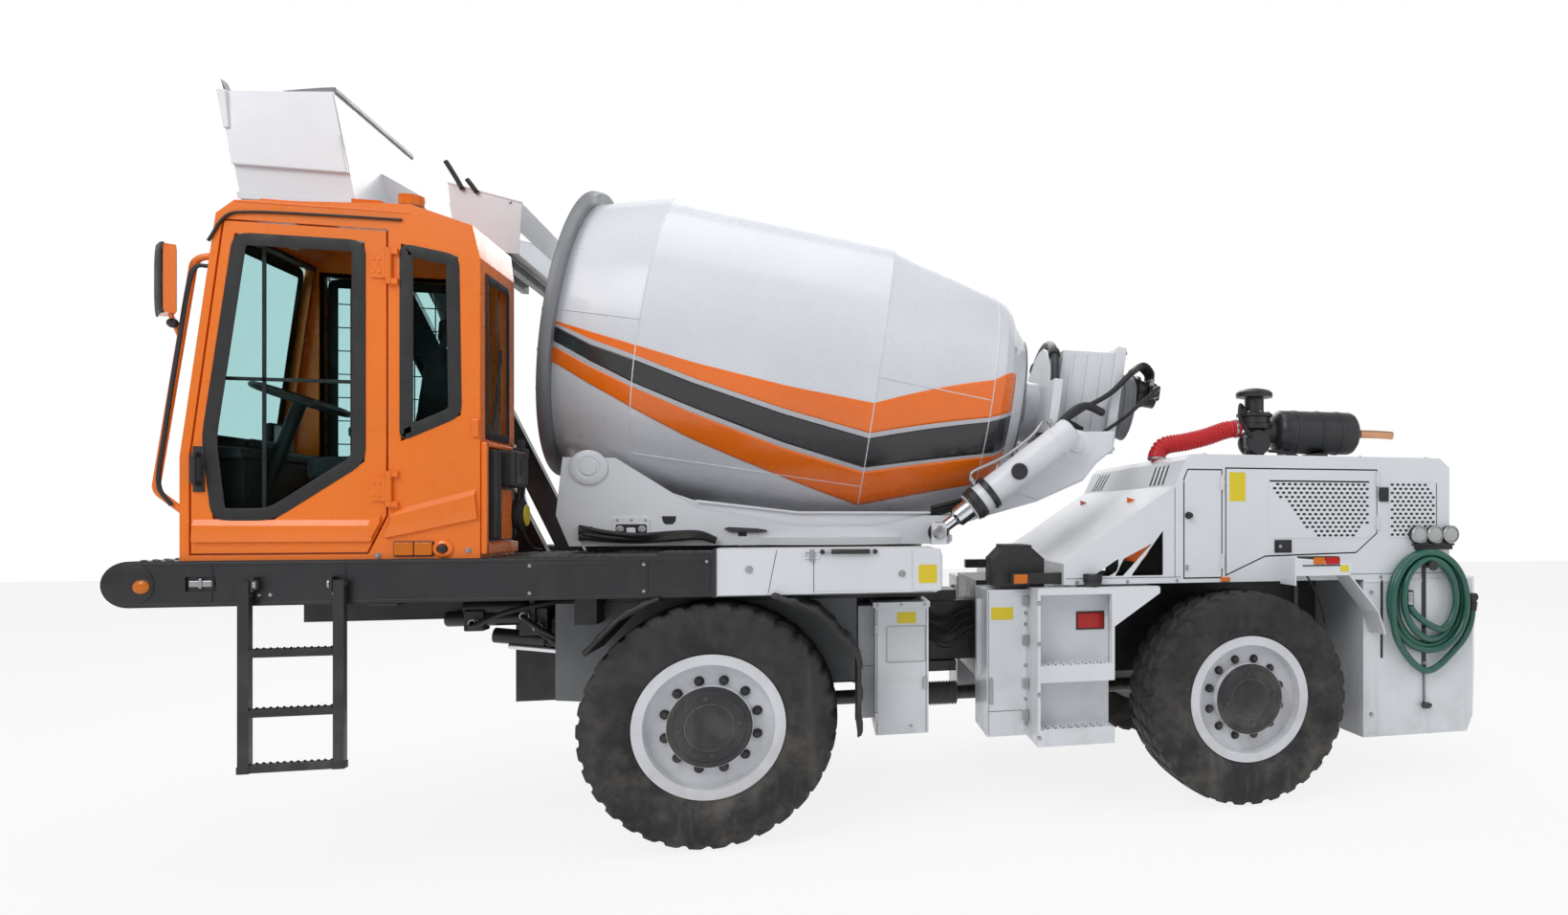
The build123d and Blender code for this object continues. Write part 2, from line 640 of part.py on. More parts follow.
def hinge_half(x, side, z0, z1, way):
    """A knuckle on the hood's skin and its leaf, which points to the rear (way 1) or the front (-1)."""
    with Locations((x, side * (HOOD_Y + HOOD_HINGE_R + SEAT), (z0 + z1) / 2)):
        Cylinder(HOOD_HINGE_R, z1 - z0)
    leaf_x, leaf_y = sorted((x, x + way * 16)), sorted((side * HOOD_Y, side * (HOOD_Y + LEAF_T)))
    block(leaf_x[0], leaf_x[1], leaf_y[0], leaf_y[1], z0, z1)


SERVICE = [(1416, 1215), (1645, 1215), (1645, 1815), (1440, 1815), (1416, 1760)]
PANEL = [(1660, 1225), (1900, 1330), (2465, 1345), (2600, 1457), (2600, 1825), (1660, 1825)]
HOOD_WINDOWS = [
    [(905, 1237), (1000, 1237), (1040, 1262), (1050, 1290), (1050, 1330)],
    [(1030, 1237), (1075, 1237), (1240, 1410), (1080, 1330)],
    [(1120, 1237), (1300, 1237), (1300, 1480)],
]
HOOD_HINGE_R, LEAF_T = 8.0, 3.0
HOOD_HINGES = [(SERVICE[1][0] - CLEAR / 2, (1290, 1720)), (PANEL[4][0] - CLEAR / 2, (1500, 1750))]
with BuildPart() as hood:
    prism(HOOD_PROFILE, -HOOD_Y, HOOD_Y)
    prism(inner(HOOD_PROFILE, HOOD_T), -HOOD_Y + HOOD_T, HOOD_Y - HOOD_T, mode=Mode.SUBTRACT)
    block(760 + HOOD_T, 3060 - HOOD_T, -HOOD_Y + HOOD_T, HOOD_Y - HOOD_T, 1190, 1220, mode=Mode.SUBTRACT)
    for y0, y1 in ((-HOOD_Y - 1, -HOOD_Y + HOOD_T + 1), (HOOD_Y - HOOD_T - 1, HOOD_Y + 1)):
        for opening in [SERVICE, PANEL] + HOOD_WINDOWS:
            prism(opening, y0, y1, mode=Mode.SUBTRACT)
        for i in range(6):
            block(2690 + i * 50, 2710 + i * 50, y0, y1, 1460, 1745, mode=Mode.SUBTRACT)
    for side in (-1, 1):
        for hinge_x, rows in HOOD_HINGES:
            for z in rows:
                hinge_half(hinge_x, side, z - 20, z - SEAT, 1)
                hinge_half(hinge_x, side, z + 40 + SEAT, z + 60, 1)
save(hood.part, "hood")

GRILLE = [(x, z) for z in range(1465, 1745, 36) for x in range(1960, 2500, 42)]
for side, y0, y1 in (("left", -HOOD_Y, -HOOD_Y + HOOD_T), ("right", HOOD_Y - HOOD_T, HOOD_Y)):
    way_y = 1 if side == "right" else -1
    with BuildPart() as service_door:
        prism(inner(SERVICE, CLEAR), y0, y1)
        for z in HOOD_HINGES[0][1]:
            hinge_half(HOOD_HINGES[0][0], way_y, z, z + 40, -1)
    save(service_door.part, f"service_door_{side}")
    with BuildPart() as engine_door:
        prism(inner(PANEL, CLEAR), y0, y1)
        for z in HOOD_HINGES[1][1]:
            hinge_half(HOOD_HINGES[1][0], way_y, z, z + 40, -1)
        with BuildSketch(Plane.XZ.offset(-y1), mode=Mode.PRIVATE) as holes:
            for x, z in GRILLE:
                with Locations((x, z)):
                    SlotOverall(30, 18)
        extrude(to_extrude=holes.sketch, amount=y1 - y0, mode=Mode.SUBTRACT)
    save(engine_door.part, f"engine_door_{side}")

with BuildPart() as engine:
    block(1350, 2450, -350, 350, 1190, 1700)
save(engine.part, "engine")

STEP_Y = 1100.0
with BuildPart() as step_boxes:
    for side in (-1, 1):
        y = sorted((side * CHASSIS_HALF_W, side * (STEP_Y - 160)))
        block(591, 1010, y[0], y[1], 372, 1150)
        y = sorted((side * CHASSIS_HALF_W, side * STEP_Y))
        block(591, 1250, y[0], y[1], 1150, 1180)
        block(591, 605, y[0], y[1], 372, 1150)
        y = sorted((side * (STEP_Y - 160), side * STEP_Y))
        for z in (372, 700):
            block(605, 1000, y[0], y[1], z, z + 85)
        y = sorted((side * (STEP_Y - 30), side * STEP_Y))
        prism([(1000, 1150), (1250, 1150), (1000, 980)], y[0], y[1])
        block(985, 1000, y[0] - (30 if side > 0 else 0), y[1] + (0 if side > 0 else 30), 785, 1150)
        y = sorted((side * CHASSIS_HALF_W, side * CABINET_Y))
        block(366, 591, y[0], y[1], 388, 1165)
        y = sorted((side * 590, side * 620))
        block(346, 366, y[0], y[1], 680, 1100)
save(step_boxes.part, "step_boxes")

FENDER_CAP = [(1990, 1240), (2320, 1240), (2330, 1300), (1990, 1330)]
FENDER = [(1990, 1180), (1990, 1240), (2320, 1240), (2500, 1030), (2545, 900)]
with BuildPart() as rear_fenders:
    for y0, y1 in ((-1185, -HOOD_Y), (HOOD_Y, 1185)):
        prism(sheet(FENDER, 8), y0, y1)
        prism(FENDER_CAP, y0, y1)
save(rear_fenders.part, "rear_fenders")

TANK_X0, TANK_Z0, TANK_Z1 = 2508.0, 290.0, 1194.0
with BuildPart() as rear_tank:
    prism(
        [(TANK_X0, TANK_Z0), (TANK_X0, TANK_Z1), (HALF_LENGTH, TANK_Z1), (HALF_LENGTH, 640), (3190, TANK_Z0)],
        -HOOD_Y,
        HOOD_Y,
    )
    for side in (-1, 1):
        corner = [(HALF_LENGTH - 110, side * 1001), (HALF_LENGTH + 1, side * 1001), (HALF_LENGTH + 1, side * 860)]
        plan(corner, 200, 1300, mode=Mode.SUBTRACT)
save(rear_tank.part, "rear_tank")

INTAKE_Y = -350.0
STACK_X, CANISTER_Z = 2120.0, 2085.0
with BuildPart() as intake:
    with Locations((STACK_X, INTAKE_Y, (1894 + 2290) / 2)):
        Cylinder(62, 2290 - 1894)
    with Locations((STACK_X, INTAKE_Y, 2150)):
        Cylinder(110, 90)
    with Locations((STACK_X, INTAKE_Y, 2320)):
        Cylinder(115, 60)
    turned(
        [(0, 0), (0, 70), (90, 70), (120, 135), (620, 135), (660, 100), (660, 30), (930, 30), (930, 0)],
        (STACK_X + 40, INTAKE_Y, CANISTER_Z),
        (1, 0, 0),
    )
    block(2500, 2560, INTAKE_Y - 80, INTAKE_Y + 80, 1894, 2000)
save(intake.part, "intake")

with BuildPart() as intake_hose:
    pipe([(1480, INTAKE_Y, 1894), (1480, INTAKE_Y, 1985), (1700, INTAKE_Y, 2010), (2012, INTAKE_Y, 2100)], 52, 60)
save(intake_hose.part, "intake_hose")

with BuildPart() as rear_lamps:
    for side in (-1, 1):
        y = sorted((side * 1110, side * 1185))
        block(2040, 2255, y[0], y[1], 1290, 1336)
        prism(FENDER_CAP, -1190, 1190, mode=Mode.SUBTRACT)
    for x in (2850, 2954, 3058):
        for y0, y1 in ((-HOOD_Y - 40, -HOOD_Y), (HOOD_Y, HOOD_Y + 40)):
            across(x, 1450, y0, y1, 50)
save(rear_lamps.part, "rear_lamps")

# ---- rear hose on its rack ----------------------------------------------------------------
HOSE_R = 20.0
COIL_X, COIL_Z, HOLE_Z = 2900.0, 1056.0, 1086.0
COIL_OUTER = (262.0, 300.0)
COIL_HOLE = (150.0, 200.0)
STRAP_T = 8.0
COIL_Y1 = -HOOD_Y - STRAP_T - 1
COIL_Y0 = COIL_Y1 - 4 * HOSE_R
HOSE_Y = (COIL_Y0 + COIL_Y1) / 2
PEG_R = 14.0
OUTLET_X, OUTLET_Z = 3196.0, 1050.0
# the hose from its outlet to the coil, by hand
HOSE_ROUTE = [
    (OUTLET_X, HOSE_Y, OUTLET_Z),
    (OUTLET_X, HOSE_Y, 960),
    (3150, HOSE_Y, 850),
    (3060, HOSE_Y, 765),
    (2975, HOSE_Y, 690),
    (2893, HOSE_Y, 655),
    (2815, HOSE_Y, 695),
    (2740, HOSE_Y, 775),
    (2692, HOSE_Y, 860),
    (2690, HOSE_Y, 950),
]


def hose_run(points, r):
    """A tube on straight runs joined by arcs that touch them."""
    with BuildLine(mode=Mode.PRIVATE) as path:
        start = Vector(*points[0])
        for before, corner, after in zip(points, points[1:], points[2:]):
            a, b, c = Vector(*before), Vector(*corner), Vector(*after)
            cut = 0.45 * min((b - a).length, (c - b).length)
            enter, leave = b - (b - a).normalized() * cut, b + (c - b).normalized() * cut
            Line(start, enter)
            TangentArc(enter, leave, tangent=b - a)
            start = leave
        Line(start, points[-1])
    with BuildSketch(Plane(path.line @ 0, z_dir=path.line % 0), mode=Mode.PRIVATE) as ring:
        Circle(r)
    sweep(sections=ring.sketch, path=path.line)


with BuildPart() as hose_tail:
    hose_run(HOSE_ROUTE, HOSE_R)
save(hose_tail.part, "hose_tail")

with BuildPart() as hose_coil:
    with BuildSketch(Plane.XZ.offset(-COIL_Y1)):
        with Locations((COIL_X, COIL_Z)):
            Ellipse(*COIL_OUTER)
        with Locations((COIL_X, HOLE_Z)):
            Ellipse(*COIL_HOLE, mode=Mode.SUBTRACT)
    extrude(amount=COIL_Y1 - COIL_Y0)
save(hose_coil.part, "hose_coil")

with BuildPart() as hose_rack:
    strap_y = -HOOD_Y - STRAP_T
    strap_z0, strap_z1 = COIL_Z - COIL_OUTER[1] - 115, COIL_Z + COIL_OUTER[1] + 6
    block(COIL_X - 12, COIL_X + 12, strap_y, -HOOD_Y, strap_z0, strap_z1)
    peg_z = HOLE_Z + COIL_HOLE[1] - PEG_R - SEAT
    across(COIL_X, peg_z, COIL_Y0 - 14, strap_y, PEG_R)
    across(COIL_X, peg_z, COIL_Y0 - 14, COIL_Y0 - 6, PEG_R + 14)
    block(COIL_X - 60, COIL_X + 190, strap_y, -HOOD_Y, strap_z1, strap_z1 + 28)
    bar((COIL_X, -HOOD_Y - 4, 470), (COIL_X, -HOOD_Y - 4, strap_z0), 4)
    with Locations((COIL_X, -HOOD_Y - 26, 460)):
        Cylinder(25, 30)
save(hose_rack.part, "hose_rack")

with BuildPart() as hose_outlet:
    across(OUTLET_X, OUTLET_Z + 34, HOSE_Y - 22, -HOOD_Y, 24)
    with Locations((OUTLET_X, HOSE_Y, OUTLET_Z + 17)):
        Cylinder(23, 34)
save(hose_outlet.part, "hose_outlet")

NOZZLE_R, NOZZLE_L = 23.0, 90.0
with BuildPart() as hose_nozzle:
    with Locations((COIL_X - COIL_HOLE[0] + NOZZLE_R + 3, HOSE_Y, HOLE_Z)):
        Cylinder(NOZZLE_R, NOZZLE_L)
save(hose_nozzle.part, "hose_nozzle")

CAP_R, CAP_X = 46.0, 893.0
with BuildPart() as covers:
    prism([(407, 1180), (407, 1330), (470, 1395), (600, 1395), (673, 1330), (673, 1180)], -850, -560)
    with Locations((CAP_X, -HOOD_Y - CAP_R - 4, 1210)):
        Cylinder(CAP_R, 60)
save(covers.part, "covers")
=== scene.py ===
"""Looks of the self-loading concrete mixer: finishes, tread, trim, upholstery and the coiled hose. Metres."""

from math import cos, pi, radians, sin

import bmesh
import bpy
import numpy as np
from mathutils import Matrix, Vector


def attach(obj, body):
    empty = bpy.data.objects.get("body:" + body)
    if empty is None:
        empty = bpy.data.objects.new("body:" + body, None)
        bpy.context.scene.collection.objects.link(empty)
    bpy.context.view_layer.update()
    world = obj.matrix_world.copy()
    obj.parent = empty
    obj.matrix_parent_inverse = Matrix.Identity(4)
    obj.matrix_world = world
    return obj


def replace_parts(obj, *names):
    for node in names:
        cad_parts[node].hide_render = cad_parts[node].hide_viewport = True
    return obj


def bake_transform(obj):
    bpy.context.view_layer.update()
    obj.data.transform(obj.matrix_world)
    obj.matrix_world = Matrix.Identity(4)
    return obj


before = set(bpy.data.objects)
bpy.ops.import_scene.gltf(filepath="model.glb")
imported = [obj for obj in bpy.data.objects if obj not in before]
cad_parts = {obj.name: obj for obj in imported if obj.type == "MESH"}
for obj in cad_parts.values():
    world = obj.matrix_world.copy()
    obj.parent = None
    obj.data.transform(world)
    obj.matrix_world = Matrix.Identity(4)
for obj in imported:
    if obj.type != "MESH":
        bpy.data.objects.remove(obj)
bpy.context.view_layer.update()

LEFT, RIGHT = -1, 1
SIDES = ((LEFT, "left"), (RIGHT, "right"))

# ---- sizes shared with the frame ---------------------------------------------------------------
DRUM_TILT = radians(8)
DRUM_FRONT = np.array([-1.29, 0.0, 2.489])  # front seam on the drum's axis
DRUM_ALONG = np.array([cos(DRUM_TILT), 0.0, -sin(DRUM_TILT)])
DRUM_UP = np.array([sin(DRUM_TILT), 0.0, cos(DRUM_TILT)])
DRUM_RADII = [
    (-0.475, 0.706), (-0.040, 0.844), (1.115, 0.844), (1.740, 0.664), (1.800, 0.633), (1.845, 0.586),
    (1.875, 0.520), (1.960, 0.413),
]
AXLE_Z = 0.575
WHEELS = [
    ("front_left", -0.974, LEFT),
    ("front_right", -0.974, RIGHT),
    ("rear_left", 1.738, LEFT),
    ("rear_right", 1.738, RIGHT),
]
TRACK_Y = 0.975


# ---- surfaces ----------------------------------------------------------------------------------
def piece(name, points, faces, material, body, smooth=True):
    """A mesh object of these points and faces that rides on a body."""
    mesh = bpy.data.meshes.new(name)
    mesh.from_pydata(np.asarray(points, float).tolist(), [], [list(map(int, f)) for f in faces])
    mesh.update()
    if smooth:
        mesh.polygons.foreach_set("use_smooth", np.ones(len(mesh.polygons), bool))
    obj = bpy.data.objects.new(name, mesh)
    bpy.context.scene.collection.objects.link(obj)
    mesh.materials.append(material)
    if body:
        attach(obj, body)
    return obj


def quads(rows, columns, wrap_rows=False, wrap_columns=False, start=0):
    """Faces between neighbours of a grid of points that is numbered row by row."""
    i = np.arange(rows if wrap_rows else rows - 1)[:, None]
    j = np.arange(columns if wrap_columns else columns - 1)[None, :]
    a, b = i * columns + j, i * columns + (j + 1) % columns
    c, d = (i + 1) % rows * columns + (j + 1) % columns, (i + 1) % rows * columns + j
    return np.stack(np.broadcast_arrays(a, b, c, d), -1).reshape(-1, 4) + start


def outward(obj):
    """Turns every face of a closed piece to its outside."""
    work = bmesh.new()
    work.from_mesh(obj.data)
    bmesh.ops.remove_doubles(work, verts=work.verts, dist=1e-6)
    bmesh.ops.recalc_face_normals(work, faces=work.faces)
    work.to_mesh(obj.data)
    work.free()
    return obj


def bevelled(obj, width, segments=2):
    """Rounds the hard edges of a piece."""
    edge = obj.modifiers.new("rounded edges", "BEVEL")
    edge.width, edge.segments, edge.limit_method = width, segments, "ANGLE"
    return obj


def frame_of(direction):
    """Two unit vectors square to a direction and to each other."""
    d = np.asarray(direction, float) / np.linalg.norm(direction)
    side = np.cross(d, (0.0, 0.0, 1.0) if abs(d[2]) < 0.9 else (1.0, 0.0, 0.0))
    side /= np.linalg.norm(side)
    return d, side, np.cross(d, side)


def angles_round(steps):
    """Even angles round a whole turn."""
    return np.arange(steps) * 2 * pi / steps


def lathe_points(profile, origin, direction, steps=64):
    """Profile points (along, radius) carried round the axis: origin + along*d + radius*(cos a*s + sin a*n)."""
    d, side, up = frame_of(direction)
    along, radius = np.asarray(profile, float).T
    angle = angles_round(steps)
    ring = np.cos(angle)[:, None] * side + np.sin(angle)[:, None] * up
    return np.asarray(origin) + along[:, None, None] * d + radius[:, None, None] * ring[None]


def lathe(name, profile, origin, direction, material, body, steps=64, sharp=30):
    """A turned piece; its profile starts and ends on the axis or is closed by its ends."""
    points = lathe_points(profile, origin, direction, steps)
    faces = [list(f) for f in quads(len(profile), steps, wrap_columns=True)]
    faces += [list(range(steps)), list(range((len(profile) - 1) * steps, len(profile) * steps))[::-1]]
    obj = outward(piece(name, points.reshape(-1, 3), faces, material, body))
    obj.data.set_sharp_from_angle(angle=radians(sharp))
    return obj


def smooth_line(points, per_span=8):
    """Points on the Catmull-Rom line through the given points."""
    p = np.asarray(points, float)
    p = np.vstack([2 * p[0] - p[1], p, 2 * p[-1] - p[-2]])
    t = np.linspace(0, 1, per_span, endpoint=False)[:, None]
    spans = []
    for a, b, c, d in zip(p, p[1:], p[2:], p[3:]):
        spans.append(0.5 * (2 * b + (c - a) * t + (2 * a - 5 * b + 4 * c - d) * t**2
                            + (3 * b - 3 * c + d - a) * t**3))
    return np.vstack(spans + [p[-2]])


def swept(name, line, outline, material, body, twist_up=(0, 0, 1)):
    """An outline (side, up) carried along a line of points, square to the line at each."""
    line, outline = np.asarray(line, float), np.asarray(outline, float)
    along = np.gradient(line, axis=0)
    along /= np.linalg.norm(along, axis=1)[:, None]
    reference = np.asarray(twist_up, float)
    normals = np.empty_like(line)
    for i, d in enumerate(along):
        reference = reference - d * (reference @ d)
        if np.linalg.norm(reference) < 1e-6:
            reference = frame_of(d)[1]
        reference = reference / np.linalg.norm(reference)
        normals[i] = reference
    sides = np.cross(along, normals)
    points = line[:, None] + outline[None, :, :1] * sides[:, None] + outline[None, :, 1:] * normals[:, None]
    count = len(outline)
    faces = [list(f) for f in quads(len(line), count, wrap_columns=True)]
    faces += [list(range(count)), list(range((len(line) - 1) * count, len(line) * count))[::-1]]
    obj = outward(piece(name, points.reshape(-1, 3), faces, material, body))
    obj.data.set_sharp_from_angle(angle=radians(40))
    return obj


def round_outline(radius, steps=12):
    """A circle as an outline."""
    angle = angles_round(steps)
    return np.stack([radius * np.cos(angle), radius * np.sin(angle)], -1)


def hose(name, points, radius, material, body, per_span=8, steps=12):
    """A round hose or pipe on the smooth line through its points."""
    return swept(name, smooth_line(points, per_span), round_outline(radius, steps), material, body)


def box_arrays(low, high):
    """Corners and faces of a box."""
    (x0, y0, z0), (x1, y1, z1) = low, high
    corners = [(x, y, z) for x in (x0, x1) for y in (y0, y1) for z in (z0, z1)]
    faces = [(0, 1, 3, 2), (4, 6, 7, 5), (0, 4, 5, 1), (2, 3, 7, 6), (0, 2, 6, 4), (1, 5, 7, 3)]
    return np.array(corners), np.array(faces)


def boxes(name, spans, material, body, round_off=0.003, segments=2):
    """One piece of boxes, each from a low to a high corner, with rounded edges."""
    corners, faces = box_arrays((0, 0, 0), (1, 1, 1))
    spans = np.asarray(spans, float)
    low, high = spans[:, 0], spans[:, 1]
    points = low[:, None] + corners[None] * (high - low)[:, None]
    all_faces = (faces[None] + 8 * np.arange(len(spans))[:, None, None]).reshape(-1, 4)
    obj = piece(name, points.reshape(-1, 3), all_faces, material, body, smooth=False)
    return bevelled(obj, round_off, segments) if round_off else obj


def plate(name, outline, y0, y1, material, body, round_off=0.002):
    """A flat piece with a side outline (x, z) from y0 to y1."""
    outline = np.asarray(outline, float)
    count = len(outline)
    points = [(x, y, z) for y in (y0, y1) for x, z in outline]
    faces = [list(range(count)), list(range(count, 2 * count))[::-1]]
    faces += [[i, (i + 1) % count, (i + 1) % count + count, i + count] for i in range(count)]
    obj = outward(piece(name, points, faces, material, body, smooth=False))
    return bevelled(obj, round_off) if round_off else obj


def copies(name, points, faces, places, material, body, smooth=True, sharp=35):
    """One piece of many copies of a small shape, each put by a 3x4 matrix of axes and place."""
    points, places = np.asarray(points, float), np.asarray(places, float)
    moved = np.einsum("kij,pj->kpi", places[:, :, :3], points) + places[:, None, :, 3]
    count = len(points)
    joined = [[v + k * count for v in face] for k in range(len(places)) for face in faces]
    obj = piece(name, moved.reshape(-1, 3), joined, material, body, smooth=smooth)
    if smooth:
        obj.data.set_sharp_from_angle(angle=radians(sharp))
    return obj


def facing(direction, place):
    """A 3x4 matrix that turns +Z to a direction and moves to a place."""
    d, side, up = frame_of(direction)
    return np.column_stack([side, up, d, np.asarray(place, float)])


def hex_bolt(radius, height):
    """Points and faces of a hexagon head on a washer, standing on +Z."""
    rings = []
    for z, r, sides in ((0, 1.35, 12), (0.25, 1.35, 12), (0.25, 1.0, 6), (0.9, 1.0, 6), (1.0, 0.85, 6)):
        angle = angles_round(12)
        reach = r * radius * (np.cos(pi / 6) / np.cos((angle % (pi / 3)) - pi / 6) if sides == 6 else 1.0)
        rings.append(np.stack([reach * np.cos(angle), reach * np.sin(angle), np.full(12, z * height)], -1))
    faces = [list(f) for f in quads(5, 12, wrap_columns=True)] + [list(range(48, 60))]
    return np.vstack(rings), faces


def bolts(name, places, direction, radius, material, body, height=None):
    """Bolt heads at these places, all facing one way."""
    points, faces = hex_bolt(radius, height or radius * 0.9)
    return copies(name, points, faces, [facing(direction, p) for p in places], material, body)


# ---- finishes ----------------------------------------------------------------------------------
def new_group(name, inputs, outputs):
    """A shader node group with named inputs, given as (name, kind, value), and outputs as (name, kind)."""
    group = bpy.data.node_groups.new(name, "ShaderNodeTree")
    for label, kind, value in inputs:
        group.interface.new_socket(label, in_out="INPUT", socket_type=kind).default_value = value
    for label, kind in outputs:
        group.interface.new_socket(label, in_out="OUTPUT", socket_type=kind)
    return group, group.nodes.new("NodeGroupInput"), group.nodes.new("NodeGroupOutput")


def math_node(tree, operation, first, second=None, clamp=False):
    """A Math node fed by sockets or numbers; returns its result socket."""
    node = tree.nodes.new("ShaderNodeMath")
    node.operation, node.use_clamp = operation, clamp
    for socket, value in zip(node.inputs, (first, second)):
        if isinstance(value, (int, float)):
            socket.default_value = value
        elif value is not None:
            tree.links.new(value, socket)
    return node.outputs[0]


def mix_colours(tree, factor, first, second, blend="MIX"):
    """Mixes two colours, each a socket or a tuple."""
    node = tree.nodes.new("ShaderNodeMix")
    node.data_type, node.blend_type = "RGBA", blend
    for socket, value in ((node.inputs[0], factor), (node.inputs[6], first), (node.inputs[7], second)):
        if isinstance(value, (int, float)):
            socket.default_value = value
        elif isinstance(value, tuple):
            socket.default_value = (*value, 1.0)
        else:
            tree.links.new(value, socket)
    return node.outputs[2]


def noise(tree, scale, detail=3.0, roughness=0.55, coordinates=None, stretch=None):
    """Noise on object coordinates, stretched along the axes if wanted."""
    node = tree.nodes.new("ShaderNodeTexNoise")
    node.inputs["Detail"].default_value = detail
    node.inputs["Roughness"].default_value = roughness
    source = coordinates or tree.nodes.new("ShaderNodeTexCoord").outputs["Object"]
    if stretch:
        mapping = tree.nodes.new("ShaderNodeMapping")
        mapping.inputs["Scale"].default_value = stretch
        tree.links.new(source, mapping.inputs["Vector"])
        source = mapping.outputs["Vector"]
    tree.links.new(source, node.inputs["Vector"])
    if isinstance(scale, (int, float)):
        node.inputs["Scale"].default_value = scale
    else:
        tree.links.new(scale, node.inputs["Scale"])
    return node.outputs["Fac"]


def remap(tree, value, low, high, to_low=0.0, to_high=1.0):
    """Maps a range of a value to another, clamped and eased."""
    node = tree.nodes.new("ShaderNodeMapRange")
    node.interpolation_type = "SMOOTHSTEP"
    for socket, given in zip(node.inputs[1:5], (low, high, to_low, to_high)):
        if isinstance(given, (int, float)):
            socket.default_value = given
        else:
            tree.links.new(given, socket)
    tree.links.new(value, node.inputs[0])
    return node.outputs[0]


def make_road_dust():
    """Dust that lies thicker low down and in streaks: a mask and the colour with dust on it."""
    tree, given, result = new_group(
        "road_dust",
        [
            ("Colour", "NodeSocketColor", (0.8, 0.8, 0.8, 1)),
            ("Dust colour", "NodeSocketColor", (0.36, 0.32, 0.27, 1)),
            ("Amount", "NodeSocketFloat", 0.3),
            ("Fade height", "NodeSocketFloat", 1.2),
            ("Tone shift", "NodeSocketFloat", 0.06),
        ],
        [("Colour", "NodeSocketColor"), ("Mask", "NodeSocketFloat")],
    )
    place = tree.nodes.new("ShaderNodeTexCoord").outputs["Object"]
    split = tree.nodes.new("ShaderNodeSeparateXYZ")
    tree.links.new(place, split.inputs[0])
    low = remap(tree, split.outputs["Z"], 0.0, given.outputs["Fade height"], 1.0, 0.12)
    blotch = remap(tree, noise(tree, 5.0, 5, 0.6, place), 0.42, 0.68)
    streak = remap(tree, noise(tree, 9.0, 4, 0.6, place, (1.0, 1.0, 0.12)), 0.48, 0.72)
    mask = math_node(tree, "MULTIPLY", math_node(tree, "MAXIMUM", blotch, streak), low)
    mask = math_node(tree, "MULTIPLY", mask, given.outputs["Amount"], clamp=True)
    tone = remap(tree, noise(tree, 1.7, 2, 0.5, place), 0.3, 0.7, -1.0, 1.0)
    shift = math_node(tree, "MULTIPLY", tone, given.outputs["Tone shift"])
    shade = tree.nodes.new("ShaderNodeHueSaturation")
    tree.links.new(math_node(tree, "ADD", shift, 1.0), shade.inputs["Value"])
    tree.links.new(given.outputs["Colour"], shade.inputs["Color"])
    dusty = mix_colours(tree, mask, shade.outputs["Color"], given.outputs["Dust colour"])
    tree.links.new(dusty, result.inputs["Colour"])
    tree.links.new(mask, result.inputs["Mask"])
    return tree


def make_orange_peel():
    """The fine waviness of sprayed paint or a moulded grain, as a normal and as a height."""
    tree, given, result = new_group(
        "surface_grain",
        [("Scale", "NodeSocketFloat", 220.0), ("Strength", "NodeSocketFloat", 0.05)],
        [("Normal", "NodeSocketVector"), ("Height", "NodeSocketFloat")],
    )
    height = noise(tree, given.outputs["Scale"], 2, 0.5)
    bump = tree.nodes.new("ShaderNodeBump")
    bump.inputs["Distance"].default_value = 0.002
    tree.links.new(given.outputs["Strength"], bump.inputs["Strength"])
    tree.links.new(height, bump.inputs["Height"])
    tree.links.new(bump.outputs["Normal"], result.inputs["Normal"])
    tree.links.new(height, result.inputs["Height"])
    return tree


ROAD_DUST = make_road_dust()
SURFACE_GRAIN = make_orange_peel()


def placed(tree, group, **values):
    """A group in a material, with values on its named sockets."""
    node = tree.nodes.new("ShaderNodeGroup")
    node.node_tree = group
    for label, value in values.items():
        node.inputs[label.replace("_", " ")].default_value = value
    return node


def finish_of(name, colour, rough, metallic=0.0, coat=0.0, dust=0.25, tone=0.05, grain=(220.0, 0.05),
              rough_dust=0.35):
    """A dusty finish with a grain: paint, plastic, rubber or bare metal by its values."""
    material = bpy.data.materials.new(name)
    material.use_nodes = True
    tree = material.node_tree
    shader = tree.nodes["Principled BSDF"]
    shader.inputs["Metallic"].default_value = metallic
    shader.inputs["Coat Weight"].default_value = coat
    shader.inputs["Coat Roughness"].default_value = 0.12
    dusty = placed(tree, ROAD_DUST, Colour=(*colour, 1), Amount=dust, Tone_shift=tone)
    surface = placed(tree, SURFACE_GRAIN, Scale=grain[0], Strength=grain[1])
    tree.links.new(dusty.outputs["Colour"], shader.inputs["Base Color"])
    uneven = remap(tree, noise(tree, 14.0, 4, 0.6), 0.3, 0.7, rough * 0.85, rough * 1.2)
    dull = math_node(tree, "MULTIPLY", dusty.outputs["Mask"], rough_dust)
    tree.links.new(math_node(tree, "ADD", uneven, dull, clamp=True), shader.inputs["Roughness"])
    tree.links.new(surface.outputs["Normal"], shader.inputs["Normal"])
    return material


